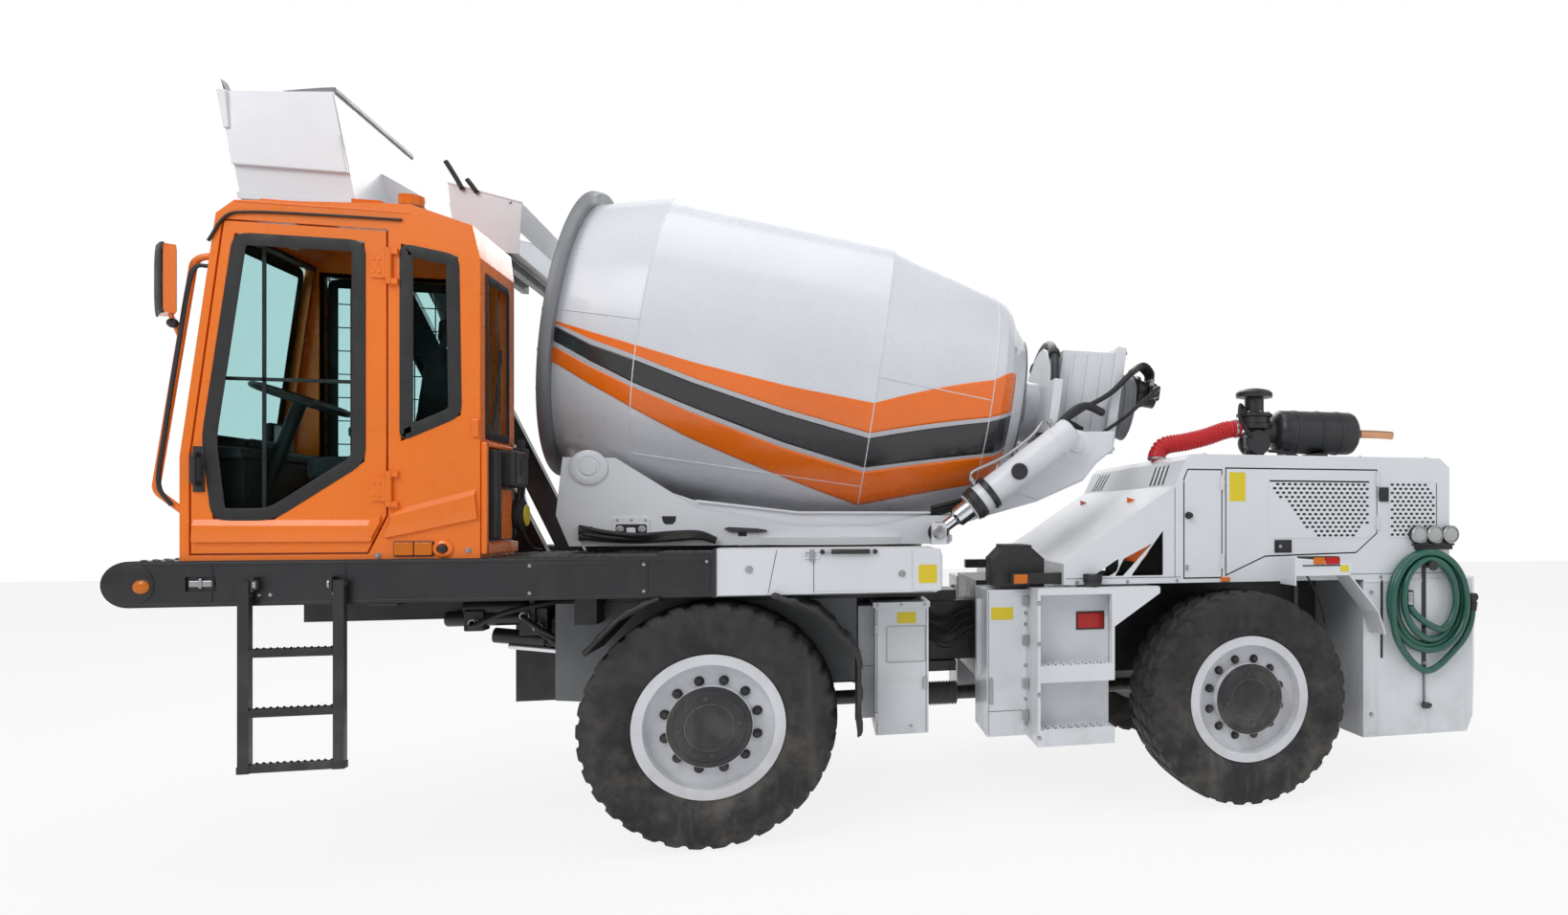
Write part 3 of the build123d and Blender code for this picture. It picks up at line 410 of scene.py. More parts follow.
orange_paint = finish_of("cab_orange_paint", (0.92, 0.190, 0.004), 0.28, coat=0.5, dust=0.12, tone=0.04)
white_paint = finish_of("frame_white_paint", (0.76, 0.78, 0.81), 0.34, coat=0.25, dust=0.30, tone=0.03)
drum_white = finish_of("drum_white_paint", (0.74, 0.76, 0.80), 0.30, coat=0.4, dust=0.14, tone=0.03)
black_paint = finish_of("black_paint", (0.014, 0.014, 0.016), 0.38, coat=0.15, dust=0.22, tone=0.2)
grey_paint = finish_of("grey_paint", (0.20, 0.21, 0.22), 0.42, dust=0.3, tone=0.1)
rim_paint = finish_of("rim_silver_paint", (0.72, 0.73, 0.76), 0.33, coat=0.2, dust=0.35, tone=0.03)
hub_paint = finish_of("hub_dark_paint", (0.020, 0.020, 0.022), 0.42, dust=0.22, tone=0.2)
tyre_rubber = finish_of("tyre_rubber", (0.020, 0.020, 0.021), 0.72, dust=0.24, tone=0.25, grain=(90.0, 0.25))
black_plastic = finish_of("moulded_black_plastic", (0.020, 0.020, 0.022), 0.5, dust=0.2, tone=0.15,
                          grain=(600.0, 0.3))
black_rubber = finish_of("black_hose_rubber", (0.012, 0.012, 0.013), 0.55, dust=0.2, tone=0.15, grain=(300.0, 0.2))
red_rubber = finish_of("red_intake_rubber", (0.55, 0.010, 0.014), 0.42, dust=0.12, tone=0.1, grain=(150.0, 0.1))
green_rubber = finish_of("green_hose_rubber", (0.010, 0.105, 0.070), 0.28, coat=0.4, dust=0.06, tone=0.12,
                         grain=(120.0, 0.08))
chrome = finish_of("polished_rod", (0.72, 0.73, 0.75), 0.12, metallic=1.0, dust=0.05, tone=0.02, grain=(400.0, 0.02))
steel = finish_of("zinc_steel", (0.42, 0.42, 0.43), 0.35, metallic=1.0, dust=0.2, tone=0.1)
iron = finish_of("dark_castings", (0.045, 0.045, 0.048), 0.6, dust=0.3, tone=0.25, grain=(160.0, 0.5))
bellows_grey = finish_of("bellows_rubber", (0.16, 0.16, 0.17), 0.5, dust=0.3, tone=0.1)
stripe_orange = finish_of("stripe_orange_film", (0.95, 0.175, 0.003), 0.27, coat=0.4, dust=0.10, tone=0.05)
stripe_black = finish_of("stripe_black_film", (0.016, 0.017, 0.019), 0.27, coat=0.4, dust=0.10, tone=0.1)
stripe_grey = finish_of("stripe_grey_film", (0.52, 0.53, 0.56), 0.3, coat=0.4, dust=0.10, tone=0.03)
label_yellow = finish_of("blank_yellow_plate", (0.80, 0.62, 0.02), 0.35, dust=0.15, tone=0.05)
label_white = finish_of("blank_white_plate", (0.70, 0.71, 0.70), 0.45, dust=0.15, tone=0.05)
seat_cloth = finish_of("seat_cloth", (0.020, 0.021, 0.024), 0.9, dust=0.1, tone=0.3, grain=(700.0, 0.6))
copper = finish_of("heated_pipe_steel", (0.62, 0.34, 0.20), 0.35, metallic=1.0, dust=0.1, tone=0.2)


def clear_finish(name, colour, rough, transmission, ior=1.45):
    """Glass or a lens, tinted evenly."""
    material = bpy.data.materials.new(name)
    material.use_nodes = True
    shader = material.node_tree.nodes["Principled BSDF"]
    shader.inputs["Base Color"].default_value = (*colour, 1)
    shader.inputs["Roughness"].default_value = rough
    shader.inputs["Transmission Weight"].default_value = transmission
    shader.inputs["IOR"].default_value = ior
    surface = placed(material.node_tree, SURFACE_GRAIN, Scale=3.0, Strength=0.02)
    material.node_tree.links.new(surface.outputs["Normal"], shader.inputs["Normal"])
    return material


cab_glass = clear_finish("tinted_cab_glass", (0.62, 0.80, 0.80), 0.02, 1.0, 1.05)
amber_lens = clear_finish("amber_lens", (1.0, 0.24, 0.01), 0.12, 0.35)
red_lens = clear_finish("red_lens", (0.75, 0.01, 0.01), 0.12, 0.3)
lamp_glass = clear_finish("work_lamp_glass", (0.75, 0.76, 0.74), 0.08, 0.4)

NODE_FINISHES = {
    orange_paint: "cab_shell door_panel grab_rail",
    white_paint: "side_decks mid_cabinets slew_frame tilt_frame gearbox bucket_body hood step_boxes rear_fenders"
    " rear_tank service_door_left service_door_right engine_door_left engine_door_right tilt_barrels",
    drum_white: "drum_shell",
    black_paint: "front_chassis front_axle platforms pedestal drum_motor ladder loader_arms bucket_teeth lift_barrel"
    " tip_barrel rear_chassis rear_axle intake hose_rack hose_outlet",
    grey_paint: "drum_blades",
    black_plastic: "front_mudguards console door_handle rear_lamps covers hose_nozzle",
    rim_paint: "front_left_rim front_right_rim rear_left_rim rear_right_rim",
    tyre_rubber: "front_left_tyre front_right_tyre rear_left_tyre rear_right_tyre",
    chrome: "lift_rod tip_rod tilt_rods",
    cab_glass: "cab_glass door_glass",
    seat_cloth: "seat",
    amber_lens: "roof_lamps",
    red_rubber: "intake_hose",
    green_rubber: "hose_tail hose_coil",
    iron: "engine",
}
for material, names in NODE_FINISHES.items():
    for name in names.split():
        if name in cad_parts:
            node_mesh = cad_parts[name].data
            node_mesh.materials.clear()
            node_mesh.materials.append(material)


# ---- wheels ------------------------------------------------------------------------------------
TYRE_SECTION = [  # half section of a tyre: (distance from its middle plane, radius)
    (0.165, 0.326), (0.180, 0.338), (0.198, 0.352), (0.212, 0.378), (0.221, 0.410), (0.2245, 0.445), (0.2240, 0.470),
    (0.221, 0.492), (0.217, 0.510), (0.211, 0.526), (0.203, 0.540), (0.196, 0.548), (0.186, 0.5535), (0.165, 0.557),
    (0.140, 0.559), (0.110, 0.5605), (0.080, 0.5615), (0.045, 0.562), (0.012, 0.562),
]
LUGS = 34


def tread_height(angle, across):
    """Shoulder blocks and two staggered rows of middle blocks, as a height from 0 to 1."""
    wide = np.abs(across)
    stagger = np.where(across > 0, 0.0, 0.5)

    def blocks(phase, share, edge=0.07):
        """Blocks evenly round the tyre: a share of each pitch, with sloped edges."""
        part = (angle / (2 * pi) * LUGS + phase) % 1.0
        return np.clip((share / 2 - np.abs(part - 0.5)) / edge + 0.5, 0, 1)

    shoulder = blocks(stagger + (wide - 0.15) * 3.0, 0.62) * np.clip((wide - 0.122) / 0.008, 0, 1)
    middle = blocks(stagger + 0.5 + across * 5.0, 0.74) * np.clip((0.112 - wide) / 0.008, 0, 1)
    middle = middle * np.clip((wide - 0.010) / 0.006, 0, 1)
    fade = np.clip((0.2235 - wide) / 0.012, 0, 1)
    return np.maximum(shoulder * fade, middle)


def tyre(name, x, side):
    """A tyre: the section carried round the axle, lifted by the tread blocks."""
    section = np.array(TYRE_SECTION + [(-a, r) for a, r in TYRE_SECTION[::-1]])
    dense = [section[0]]
    for p, q in zip(section, section[1:]):
        steps = 4 if min(p[1], q[1]) > 0.500 else 1
        dense += [p + (q - p) * k / steps for k in range(1, steps + 1)]
    section = np.array(dense)
    steps = LUGS * 12
    angle = (np.arange(steps) + 0.5) * 2 * pi / steps
    across, radius = section[:, 0][:, None], section[:, 1][:, None]
    on_tread = np.clip((radius - 0.505) / 0.03, 0, 1)
    height = tread_height(angle[None], across) * on_tread
    radius = radius + 0.0125 * height
    across = across * (1 + 0.004 * height) + 0 * angle[None]
    ring_mark = 0.0015 * (np.abs(section[:, 1] - 0.470) < 0.012)[:, None]
    across = across + np.sign(across) * ring_mark
    centre = np.array([x, side * TRACK_Y, AXLE_Z])
    points = centre + np.stack([radius * np.cos(angle), -side * across + 0 * angle, radius * np.sin(angle)], -1)
    rows = len(section)
    faces = quads(rows, steps, wrap_rows=True, wrap_columns=True)
    obj = outward(piece(f"{name}_tread", points.reshape(-1, 3), faces, tyre_rubber, f"{name}_wheel"))
    obj.data.set_sharp_from_angle(angle=radians(38))
    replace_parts(obj, f"{name}_tyre")
    return obj


for name, x, side in WHEELS:
    tyre(name, x, side)
    out = (0, side, 0)
    face = np.array([x, side * (TRACK_Y + 0.104), AXLE_Z])
    angles = angles_round(12) + pi / 12
    nuts = [(x + 0.212 * cos(a), side * (TRACK_Y + 0.1045), AXLE_Z + 0.212 * sin(a)) for a in angles]
    bolts(f"{name}_wheel_nuts", nuts, out, 0.017, hub_paint, f"{name}_wheel", 0.026)
    hub = [(-0.005, 0), (-0.005, 0.189), (0.076, 0.189), (0.081, 0.184), (0.0835, 0.164), (0.0895, 0.158),
           (0.0905, 0.112), (0.0905, 0.108), (0.094, 0.107), (0.0965, 0.100), (0.0985, 0.062), (0.0985, 0)]
    lathe(f"{name}_hub", hub, face, out, hub_paint, f"{name}_wheel", 72)
    ring = [(x + 0.134 * cos(a), face[1] + side * 0.0900,
             AXLE_Z + 0.134 * sin(a)) for a in np.arange(4) * pi / 2 + 0.12]
    bolts(f"{name}_hub_bolts", ring, out, 0.011, iron, f"{name}_wheel", 0.009)


# ---- drum paint --------------------------------------------------------------------------------
def drum_point(t, angle, lift):
    """A point of the drum's skin: front + t*along + (radius(t)+lift)*(cos angle*side - sin angle*up)."""
    along, radii = np.array(DRUM_RADII).T
    radius = (np.interp(t, along, radii) + lift)[..., None]
    side = np.array([0.0, 1.0, 0.0])
    around = np.cos(angle)[..., None] * side - np.sin(angle)[..., None] * DRUM_UP
    return DRUM_FRONT + t[..., None] * DRUM_ALONG + radius * around


STRIPE_T = np.array([-0.475, -0.250, -0.040, 0.235, 0.690, 1.115, 1.740, 1.878])
STRIPE_EDGES = np.array([  # degrees below the drum's side at each of these places, from the top edge down
    [3.0, 5.5, 7.4, 9.9, 12.5, 13.4, -5.1, -15.3],
    [3.4, 8.1, 10.7, 15.0, 20.6, 24.4, 13.1, 8.8],
    [4.4, 9.9, 12.2, 16.6, 22.4, 26.3, 15.1, 11.0],
    [10.0, 15.8, 19.8, 25.0, 33.0, 38.5, 31.5, 31.6],
    [12.0, 17.6, 21.3, 26.9, 35.0, 40.3, 33.1, 33.4],
    [18.0, 24.0, 28.5, 36.8, 48.0, 59.0, 50.5, 47.5],
])
STRIPE_FILMS = [
    ("upper_orange", stripe_orange),
    ("upper_grey", stripe_grey),
    ("middle_black", stripe_black),
    ("lower_grey", stripe_grey),
    ("lower_orange", stripe_orange),
]


def drum_band(name, material, upper, lower, side, lift=0.0012):
    """A strip of film on the drum between two edges given as degrees below the side at each place."""
    seams = [t for t, _ in DRUM_RADII if STRIPE_T[0] < t < STRIPE_T[-1]]
    t = np.unique(np.concatenate([np.linspace(STRIPE_T[0], STRIPE_T[-1], 60), seams, STRIPE_T]))
    share = np.linspace(0, 1, 14)[None]
    top, bottom = np.interp(t, STRIPE_T, upper)[:, None], np.interp(t, STRIPE_T, lower)[:, None]
    angle = np.radians(top * (1 - share) + bottom * share)
    points = drum_point(np.broadcast_to(t[:, None], angle.shape), angle, lift) * (1, side, 1)
    faces = quads(len(t), share.size)
    obj = piece(name, points.reshape(-1, 3), faces if side > 0 else faces[:, ::-1], material, "drum")
    obj.data.set_sharp_from_angle(angle=radians(12))
    film = obj.modifiers.new("film", "SOLIDIFY")
    film.thickness, film.offset = lift * 0.8, -1.0
    return obj


for side, label in SIDES:
    for (name, material), upper, lower in zip(STRIPE_FILMS, STRIPE_EDGES, STRIPE_EDGES[1:]):
        drum_band(f"{label}_{name}_stripe", material, upper, lower, side)


# ---- the coiled hose ---------------------------------------------------------------------------
HOSE_D = 0.040
HOSE_Y = -1.049
HOSE_ROUTE = [  # from the outlet to the coil
    (3.196, HOSE_Y, 1.050), (3.196, HOSE_Y, 0.960), (3.150, HOSE_Y, 0.850), (3.060, HOSE_Y, 0.765),
    (2.975, HOSE_Y, 0.690), (2.893, HOSE_Y, 0.655), (2.815, HOSE_Y, 0.695), (2.738, -1.055, 0.775),
    (2.684, -1.062, 0.860), (2.660, -1.069, 0.950),
]
COIL_X = 2.900
HOSE_TURNS = np.array([  # half width, top, bottom and plane of each turn, from the outer one to the nozzle
    (0.244, 1.348, 0.772, -1.069),
    (0.240, 1.347, 0.790, -1.029),
    (0.200, 1.307, 0.820, -1.029),
    (0.172, 1.308, 0.866, -1.069),
    (0.124, 1.240, 0.905, -1.049),
])
TURN_POINTS = 18


def hose_line():
    """The coil's points: x = X0 - a cos q, z = middle + half height sin q, where the turn's sizes ease to the next
    turn's along its bottom."""
    turn = np.arange(4, 4 * TURN_POINTS - 1) / TURN_POINTS - 0.20
    part = np.clip((turn % 1.0 - 0.58) / 0.30, 0, 1)
    index = np.floor(turn) + part * part * (3 - 2 * part)
    width, top, bottom, plane = (np.interp(index, np.arange(5), column) for column in HOSE_TURNS.T)
    angle = 2 * pi * turn
    x = COIL_X - 1.012 * width * np.cos(angle)
    z = (top + bottom) / 2 + 1.012 * (top - bottom) / 2 * np.sin(angle)
    return np.stack([x, plane, z], -1)


def nurbs_cord(name, points, diameter, material, body):
    """A smooth cord on one open NURBS spline through its control points."""
    curve = bpy.data.curves.new(name, "CURVE")
    curve.dimensions, curve.bevel_depth, curve.bevel_resolution, curve.use_fill_caps = "3D", diameter / 2, 5, True
    curve.resolution_u = 6
    spline = curve.splines.new("NURBS")
    spline.points.add(len(points) - 1)
    spline.points.foreach_set("co", np.hstack([points, np.ones((len(points), 1))]).ravel())
    spline.order_u, spline.use_endpoint_u = 3, True
    curve.materials.append(material)
    obj = bpy.data.objects.new(name, curve)
    bpy.context.scene.collection.objects.link(obj)
    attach(obj, body)
    return obj


water_hose = nurbs_cord(
    "water_hose", np.vstack([HOSE_ROUTE, hose_line(), [(2.776, HOSE_Y, 1.010), (2.776, HOSE_Y, 1.060)]]), HOSE_D,
    green_rubber, "rear_frame",
)
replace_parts(water_hose, "hose_tail", "hose_coil")
lathe("hose_outlet_sleeve", [(0, 0), (0, 0.0275), (0.010, 0.0275), (0.014, 0.0255), (0.020, 0.0265),
                             (0.026, 0.0245), (0.050, 0.0225), (0.052, 0)],
      (3.196, HOSE_Y, 1.054), (0, 0, -1), black_plastic, "rear_frame", 32)
grip_ribs = [(0.012 + 0.008 * k + d, 0.0262 - 0.0022 * (k % 2)) for k in range(7) for d in (0, 0.006)]
nozzle_ring = lathe("nozzle_grip", [(0, 0), (0, 0.0235)] + grip_ribs + [(0.072, 0.0235), (0.072, 0)],
                    (2.776, HOSE_Y, 1.050), (0, 0, 1), steel, "rear_frame", 32)

# ---- trim helpers ------------------------------------------------------------------------------
def rounded(outline, radius, steps=5):
    """A closed outline whose corners are arcs that touch their two sides."""
    outline = np.asarray(outline, float)
    share = np.linspace(0, 1, steps)[:, None]
    corners = []
    for before, corner, after in zip(np.roll(outline, 1, 0), outline, np.roll(outline, -1, 0)):
        a, b = before - corner, after - corner
        reach = min(radius, 0.45 * np.linalg.norm(a), 0.45 * np.linalg.norm(b))
        a, b = a / np.linalg.norm(a) * reach, b / np.linalg.norm(b) * reach
        corners.append(corner + a * (1 - share) ** 2 + b * share**2)
    return np.vstack(corners)


def loop_trim(name, outline, place, width, height, material, body, corner=0.03):
    """A gasket or frame: a rounded-corner loop (p, q) with a low crowned section, put in 3-D by place(p, q, out)."""
    line = rounded(outline, corner)
    middle = line.mean(0)
    ahead = np.roll(line, -1, 0) - np.roll(line, 1, 0)
    ahead /= np.linalg.norm(ahead, axis=1)[:, None]
    across = np.stack([-ahead[:, 1], ahead[:, 0]], -1)
    across *= np.sign(np.sum(across * (middle - line), -1)).mean() or 1.0
    section = np.array([(0, -0.004), (0, 0.6), (0.15, 1.0), (0.85, 1.0), (1.0, 0.5), (1.0, -0.004)])
    flat = line[:, None] + across[:, None] * section[None, :, :1] * width
    points = place(flat[..., 0], flat[..., 1], section[None, :, 1] * height + 0 * flat[..., 0])
    faces = quads(len(line), len(section), wrap_rows=True, wrap_columns=True)
    obj = outward(piece(name, points.reshape(-1, 3), faces, material, body))
    obj.data.set_sharp_from_angle(angle=radians(40))
    return obj


def on_side(y, side=-1):
    """Places (x, z, out) on a wall square to Y."""
    return lambda x, z, out: np.stack([x, y + side * out, z], -1)


def spans_beside(side):
    """A maker of spans on one side of the truck: each from x0 to x1, z0 to z1 and a stand-off y0 to y1."""

    def span(x0, x1, z0, z1, y0, y1):
        """One span: its low corner and its high corner."""
        low, high = sorted((side * y0, side * y1))
        return ((x0, low, z0), (x1, high, z1))

    return span


def on_end(x, way=1):
    """Places (y, z, out) on a wall square to X."""
    return lambda y, z, out: np.stack([x + way * out, y, z], -1)


def between(name, ends, radius, material, body, steps=16):
    """Straight round bars, given as pairs of ends, as one piece."""
    shape = lathe_points([(0, 0.001), (0, 0.85), (0.02, 1.0), (0.98, 1.0), (1, 0.85), (1, 0.001)], (0, 0, 0),
                         (0, 0, 1), steps)
    shape = shape.reshape(-1, 3)
    faces = [list(f) for f in quads(6, steps, wrap_columns=True)]
    places = []
    for p, q in np.asarray(ends, float):
        d, side, up = frame_of(q - p)
        places.append(np.column_stack([side * radius, up * radius, d * np.linalg.norm(q - p), p]))
    return outward(copies(name, shape, faces, places, material, body))


def fittings(name, places, direction, radius, length, material, body, steps=16):
    """Stepped round fittings: a hexagon collar, a neck and a crimped sleeve, standing on these places."""
    profile = [(0, 0.001), (0, 1.25), (0.22, 1.3), (0.25, 1.0), (0.5, 0.95), (0.52, 1.12), (0.6, 1.12), (0.62, 1.05),
               (0.9, 1.05), (0.94, 1.12), (1.0, 1.12), (1.0, 0.001)]
    shape = lathe_points(profile, (0, 0, 0), (0, 0, 1), steps).reshape(-1, 3) * (radius, radius, length)
    faces = [list(f) for f in quads(len(profile), steps, wrap_columns=True)]
    return outward(copies(name, shape, faces, [facing(direction, p) for p in places], material, body))


def joined_tubes(name, lines, side_of, radius, material, body, steps):
    """Round tubes along lines of points, as one piece; side_of turns a line's directions into unit sides."""
    points, faces, start = [], [], 0
    ring = round_outline(radius, steps)
    for line in lines:
        along = np.gradient(line, axis=0)
        along /= np.linalg.norm(along, axis=1)[:, None]
        side = side_of(along)
        up = np.cross(along, side)
        tube = line[:, None] + ring[None, :, :1] * side[:, None] + ring[None, :, 1:] * up[:, None]
        points.append(tube.reshape(-1, 3))
        last = start + (len(line) - 1) * steps
        faces += [list(f) for f in quads(len(line), steps, wrap_columns=True, start=start)]
        faces += [list(range(start, start + steps)), list(range(last, last + steps))]
        start = last + steps
    return outward(piece(name, np.vstack(points), faces, material, body))


def hoses(name, runs, radius, material, body, steps=10, per_span=6):
    """Several round hoses as one piece, each on the smooth line through its own points."""

    def side_of(along):
        """Level sides, kept from flipping from one point to the next."""
        side = np.cross(along, np.where(np.abs(along[:, 2:]) < 0.9, (0.0, 0.0, 1.0), (0.0, 1.0, 0.0)))
        for i in range(1, len(side)):
            if side[i] @ side[i - 1] < 0:
                side[i] = -side[i]
        return side / np.linalg.norm(side, axis=1)[:, None]

    return joined_tubes(name, [smooth_line(run, per_span) for run in runs], side_of, radius, material, body, steps)


def springs(name, runs, coil_radius, wire, pitch, material, body, steps=6):
    """Spring guards round hoses: line(s) + R(cos w s, sin w s) in the two directions square to the line."""

    def side_of(along):
        """Sides square to the truck's cross axis."""
        side = np.cross(along, (0.0, 1.0, 0.0))
        return side / (np.linalg.norm(side, axis=1)[:, None] + 1e-9)

    lines = []
    for run in runs:
        line = smooth_line(run, 24)
        length = np.concatenate([[0], np.cumsum(np.linalg.norm(np.diff(line, axis=0), axis=1))])
        s = np.arange(0, length[-1], pitch / 8)
        centre = np.stack([np.interp(s, length, line[:, k]) for k in range(3)], -1)
        along = np.gradient(centre, axis=0)
        along /= np.linalg.norm(along, axis=1)[:, None]
        side = side_of(along)
        up = np.cross(along, side)
        turn = 2 * pi * s / pitch
        lines.append(centre + coil_radius * (np.cos(turn)[:, None] * side + np.sin(turn)[:, None] * up))
    return joined_tubes(name, lines, side_of, wire, material, body, steps)


# ---- cab ---------------------------------------------------------------------------------------
CAB_SIDE, CAB_REAR, CAB_INNER = -1.120, -1.930, -0.280
DOOR_WINDOW = [(-2.840, 2.740), (-2.370, 2.740), (-2.370, 1.790), (-2.700, 1.540), (-2.915, 1.540), (-2.950, 1.880)]
SIDE_WINDOW = [(-2.235, 2.740), (-2.015, 2.700), (-2.005, 2.000), (-2.235, 1.880)]
for name, outline, body, corner in (
    ("door_window_frame", DOOR_WINDOW, "door", 0.06),
    ("side_window_frame", SIDE_WINDOW, "front_frame", 0.05),
):
    grown_line = np.array(outline) + np.sign(np.array(outline) - np.mean(outline, 0)) * 0.004
    loop_trim(name, grown_line, on_side(CAB_SIDE), 0.052, 0.004, black_rubber, body, corner)


def on_windscreen(y, z, out):
    """Places on the leaning front wall: x = front - out, moved back by its lean above the nose."""
    return np.stack([-3.030 - out + np.clip(z - 1.800, 0, None) * 0.1225, y, z], -1)


loop_trim("windscreen_frame", [(-1.040, 1.860), (-0.360, 1.860), (-0.360, 2.760), (-1.040, 2.760)], on_windscreen,
          0.050, 0.004, black_rubber, "front_frame", 0.06)
loop_trim("rear_window_frame", [(-1.050, 1.900), (-0.700, 1.900), (-0.700, 2.650), (-1.050, 2.650)], on_end(CAB_REAR),
          0.040, 0.004, black_rubber, "front_frame", 0.04)
loop_trim("inner_window_frame", [(-2.850, 1.800), (-2.200, 1.800), (-2.200, 2.740), (-2.850, 2.740)],
          on_side(CAB_INNER, 1), 0.045, 0.004, black_rubber, "front_frame", 0.05)


def swage(name, top, bottom, y, proud, body, material, side=-1):
    """A pressed band on a side panel: a crest line (x, z) and a lower line at the same x, with the skin above and
    below."""
    top, bottom = np.asarray(top, float), np.asarray(bottom, float)
    rows = []
    for line, rise, out in ((top, 0.030, -0.0005), (top, 0.004, proud), (top, -0.010, proud * 1.02),
                            (bottom, 0.020, proud), (bottom, 0.004, proud * 0.9), (bottom, -0.002, -0.0005)):
        rows.append(np.column_stack([line[:, 0], np.full(len(line), y + side * out), line[:, 1] + rise]))
    rows.append(np.column_stack([bottom[:, 0], np.full(len(bottom), y - side * 0.001), bottom[:, 1] + 0.010]))
    rows.append(np.column_stack([top[:, 0], np.full(len(top), y - side * 0.001), top[:, 1] + 0.012]))
    points = np.array(rows)
    count = len(top)
    faces = [list(f) for f in quads(len(rows), count, wrap_rows=True)]
    faces += [[r * count for r in range(len(rows))], [r * count + count - 1 for r in range(len(rows))]]
    obj = outward(piece(name, points.reshape(-1, 3), faces, material, body))
    obj.data.set_sharp_from_angle(angle=radians(12))
    return obj


swage("door_swage", [(-2.982, 1.512), (-2.700, 1.510), (-2.480, 1.510), (-2.352, 1.510), (-2.309, 1.538)],
      [(-2.984, 1.443), (-2.700, 1.443), (-2.480, 1.443), (-2.352, 1.443), (-2.340, 1.447)], CAB_SIDE, 0.015, "door",
      orange_paint)
swage("cab_swage", [(-2.268, 1.552), (-2.200, 1.570), (-2.060, 1.612), (-1.948, 1.646)],
      [(-2.290, 1.458), (-2.200, 1.478), (-2.060, 1.512), (-1.940, 1.540)], CAB_SIDE, 0.015, "front_frame",
      orange_paint)

boxes("cab_side_lamp", [((-2.260, -1.1285, 1.380), (-2.108, -1.118, 1.446))], black_plastic, "front_frame", 0.003)
boxes("cab_side_lens", [((-2.256, -1.136, 1.384), (-2.184, -1.126, 1.442)),
                        ((-2.180, -1.136, 1.384), (-2.112, -1.126, 1.442))], amber_lens, "front_frame", 0.004, 3)
lathe("cab_side_socket", [(0, 0), (0, 0.040), (0.010, 0.038), (0.016, 0.030), (0.018, 0.024), (0.010, 0.021),
                          (0.008, 0)], (-2.072, -1.1195, 1.412), (0, -1, 0), orange_paint, "front_frame", 40)
lathe("cab_side_plug", [(0, 0), (0, 0.019), (0.014, 0.017), (0.018, 0.010), (0.019, 0)], (-2.072, -1.1275, 1.412),
      (0, -1, 0), black_rubber, "front_frame", 32)
bolts("cab_side_bolts", [(-1.975, -1.1195, 1.405), (-2.320, -1.1195, 1.385)], (0, -1, 0), 0.009, steel, "front_frame",
      0.012)
hinge_bolts = [(x, -1.1275, z) for x in (-2.334, -2.312) for z in (1.645, 1.700, 2.610, 2.665)]
bolts("door_hinge_bolts", hinge_bolts, (0, -1, 0), 0.0055, orange_paint, "door", 0.004)
boxes("cab_grip_plates", [((-1.960, -1.134, 1.905), (-1.932, -1.1195, 1.985))], orange_paint, "front_frame", 0.004)
boxes("door_lock", [((-2.982, -1.127, 1.655), (-2.942, -1.1195, 1.845)),
                    ((-2.974, -1.131, 1.722), (-2.950, -1.126, 1.780))], black_plastic, "door", 0.004, 3)
boxes("roof_edges", [((-2.840, -1.123, 2.872), (-2.200, -1.1195, 2.880)),
                     ((-2.780, -1.06, 2.899), (-2.560, -0.34, 2.909)),
                     ((-2.500, -1.06, 2.909), (-2.280, -0.34, 2.917))], orange_paint, "front_frame", 0.003)
swept("door_rain_rail", smooth_line([(-2.930, -1.124, 2.700), (-2.868, -1.126, 2.806), (-2.780, -1.126, 2.832),
                                     (-2.500, -1.126, 2.840), (-2.230, -1.126, 2.842)], 6),
      [(-0.006, -0.005), (0.006, -0.005), (0.006, 0.003), (-0.006, 0.006)], black_rubber, "front_frame")

# the rear wall: glass pane's bar, intake box, cooler fins, cable and switch cover
# painted shade: this thin black sheet on the rear wall stands for the shaded recess behind the cooler fins
boxes("cab_rear_recess", [((-1.9305, -1.080, 1.440), (-1.926, -0.640, 1.860))], black_paint, "front_frame", 0.001)
boxes("cab_rear_fins", [((-1.929, y, 1.450), (-1.904, y + 0.012, 1.680)) for y in np.arange(-0.930, -0.745, 0.024)],
      orange_paint, "front_frame", 0.002)
boxes("cab_rear_posts", [((-1.929, -1.052, 1.450), (-1.885, -1.020, 1.855)),
                         ((-1.929, -0.998, 1.450), (-1.885, -0.966, 1.855))], black_plastic, "front_frame", 0.010, 3)
boxes("cab_rear_rails", [((-1.930, -1.110, 1.385), (-1.905, -0.640, 1.435)),
                         ((-1.930, -1.110, 1.865), (-1.905, -0.640, 1.885)),
                         ((-1.930, -1.114, 1.385), (-1.905, -1.085, 1.885))], orange_paint, "front_frame", 0.006, 3)
boxes("cab_rear_case", [((-1.928, -0.940, 1.690), (-1.840, -0.730, 1.862))], black_plastic, "front_frame", 0.018, 4)
boxes("cab_rear_case_lid", [((-1.842, -0.925, 1.705), (-1.834, -0.745, 1.850)),
                            ((-1.836, -0.862, 1.745), (-1.828, -0.800, 1.815))], black_paint, "front_frame", 0.006, 3)
lathe("switch_cover", [(0, 0), (0, 0.088), (0.012, 0.090), (0.030, 0.084), (0.040, 0.060), (0.042, 0)],
      (-1.905, -0.672, 1.560), (1, 0, 0), black_rubber, "front_frame", 40)
lathe("switch_plate", [(0, 0), (0, 0.052), (0.005, 0.050), (0.006, 0)], (-1.862, -0.672, 1.560), (1, 0, 0),
      label_yellow, "front_frame", 40)
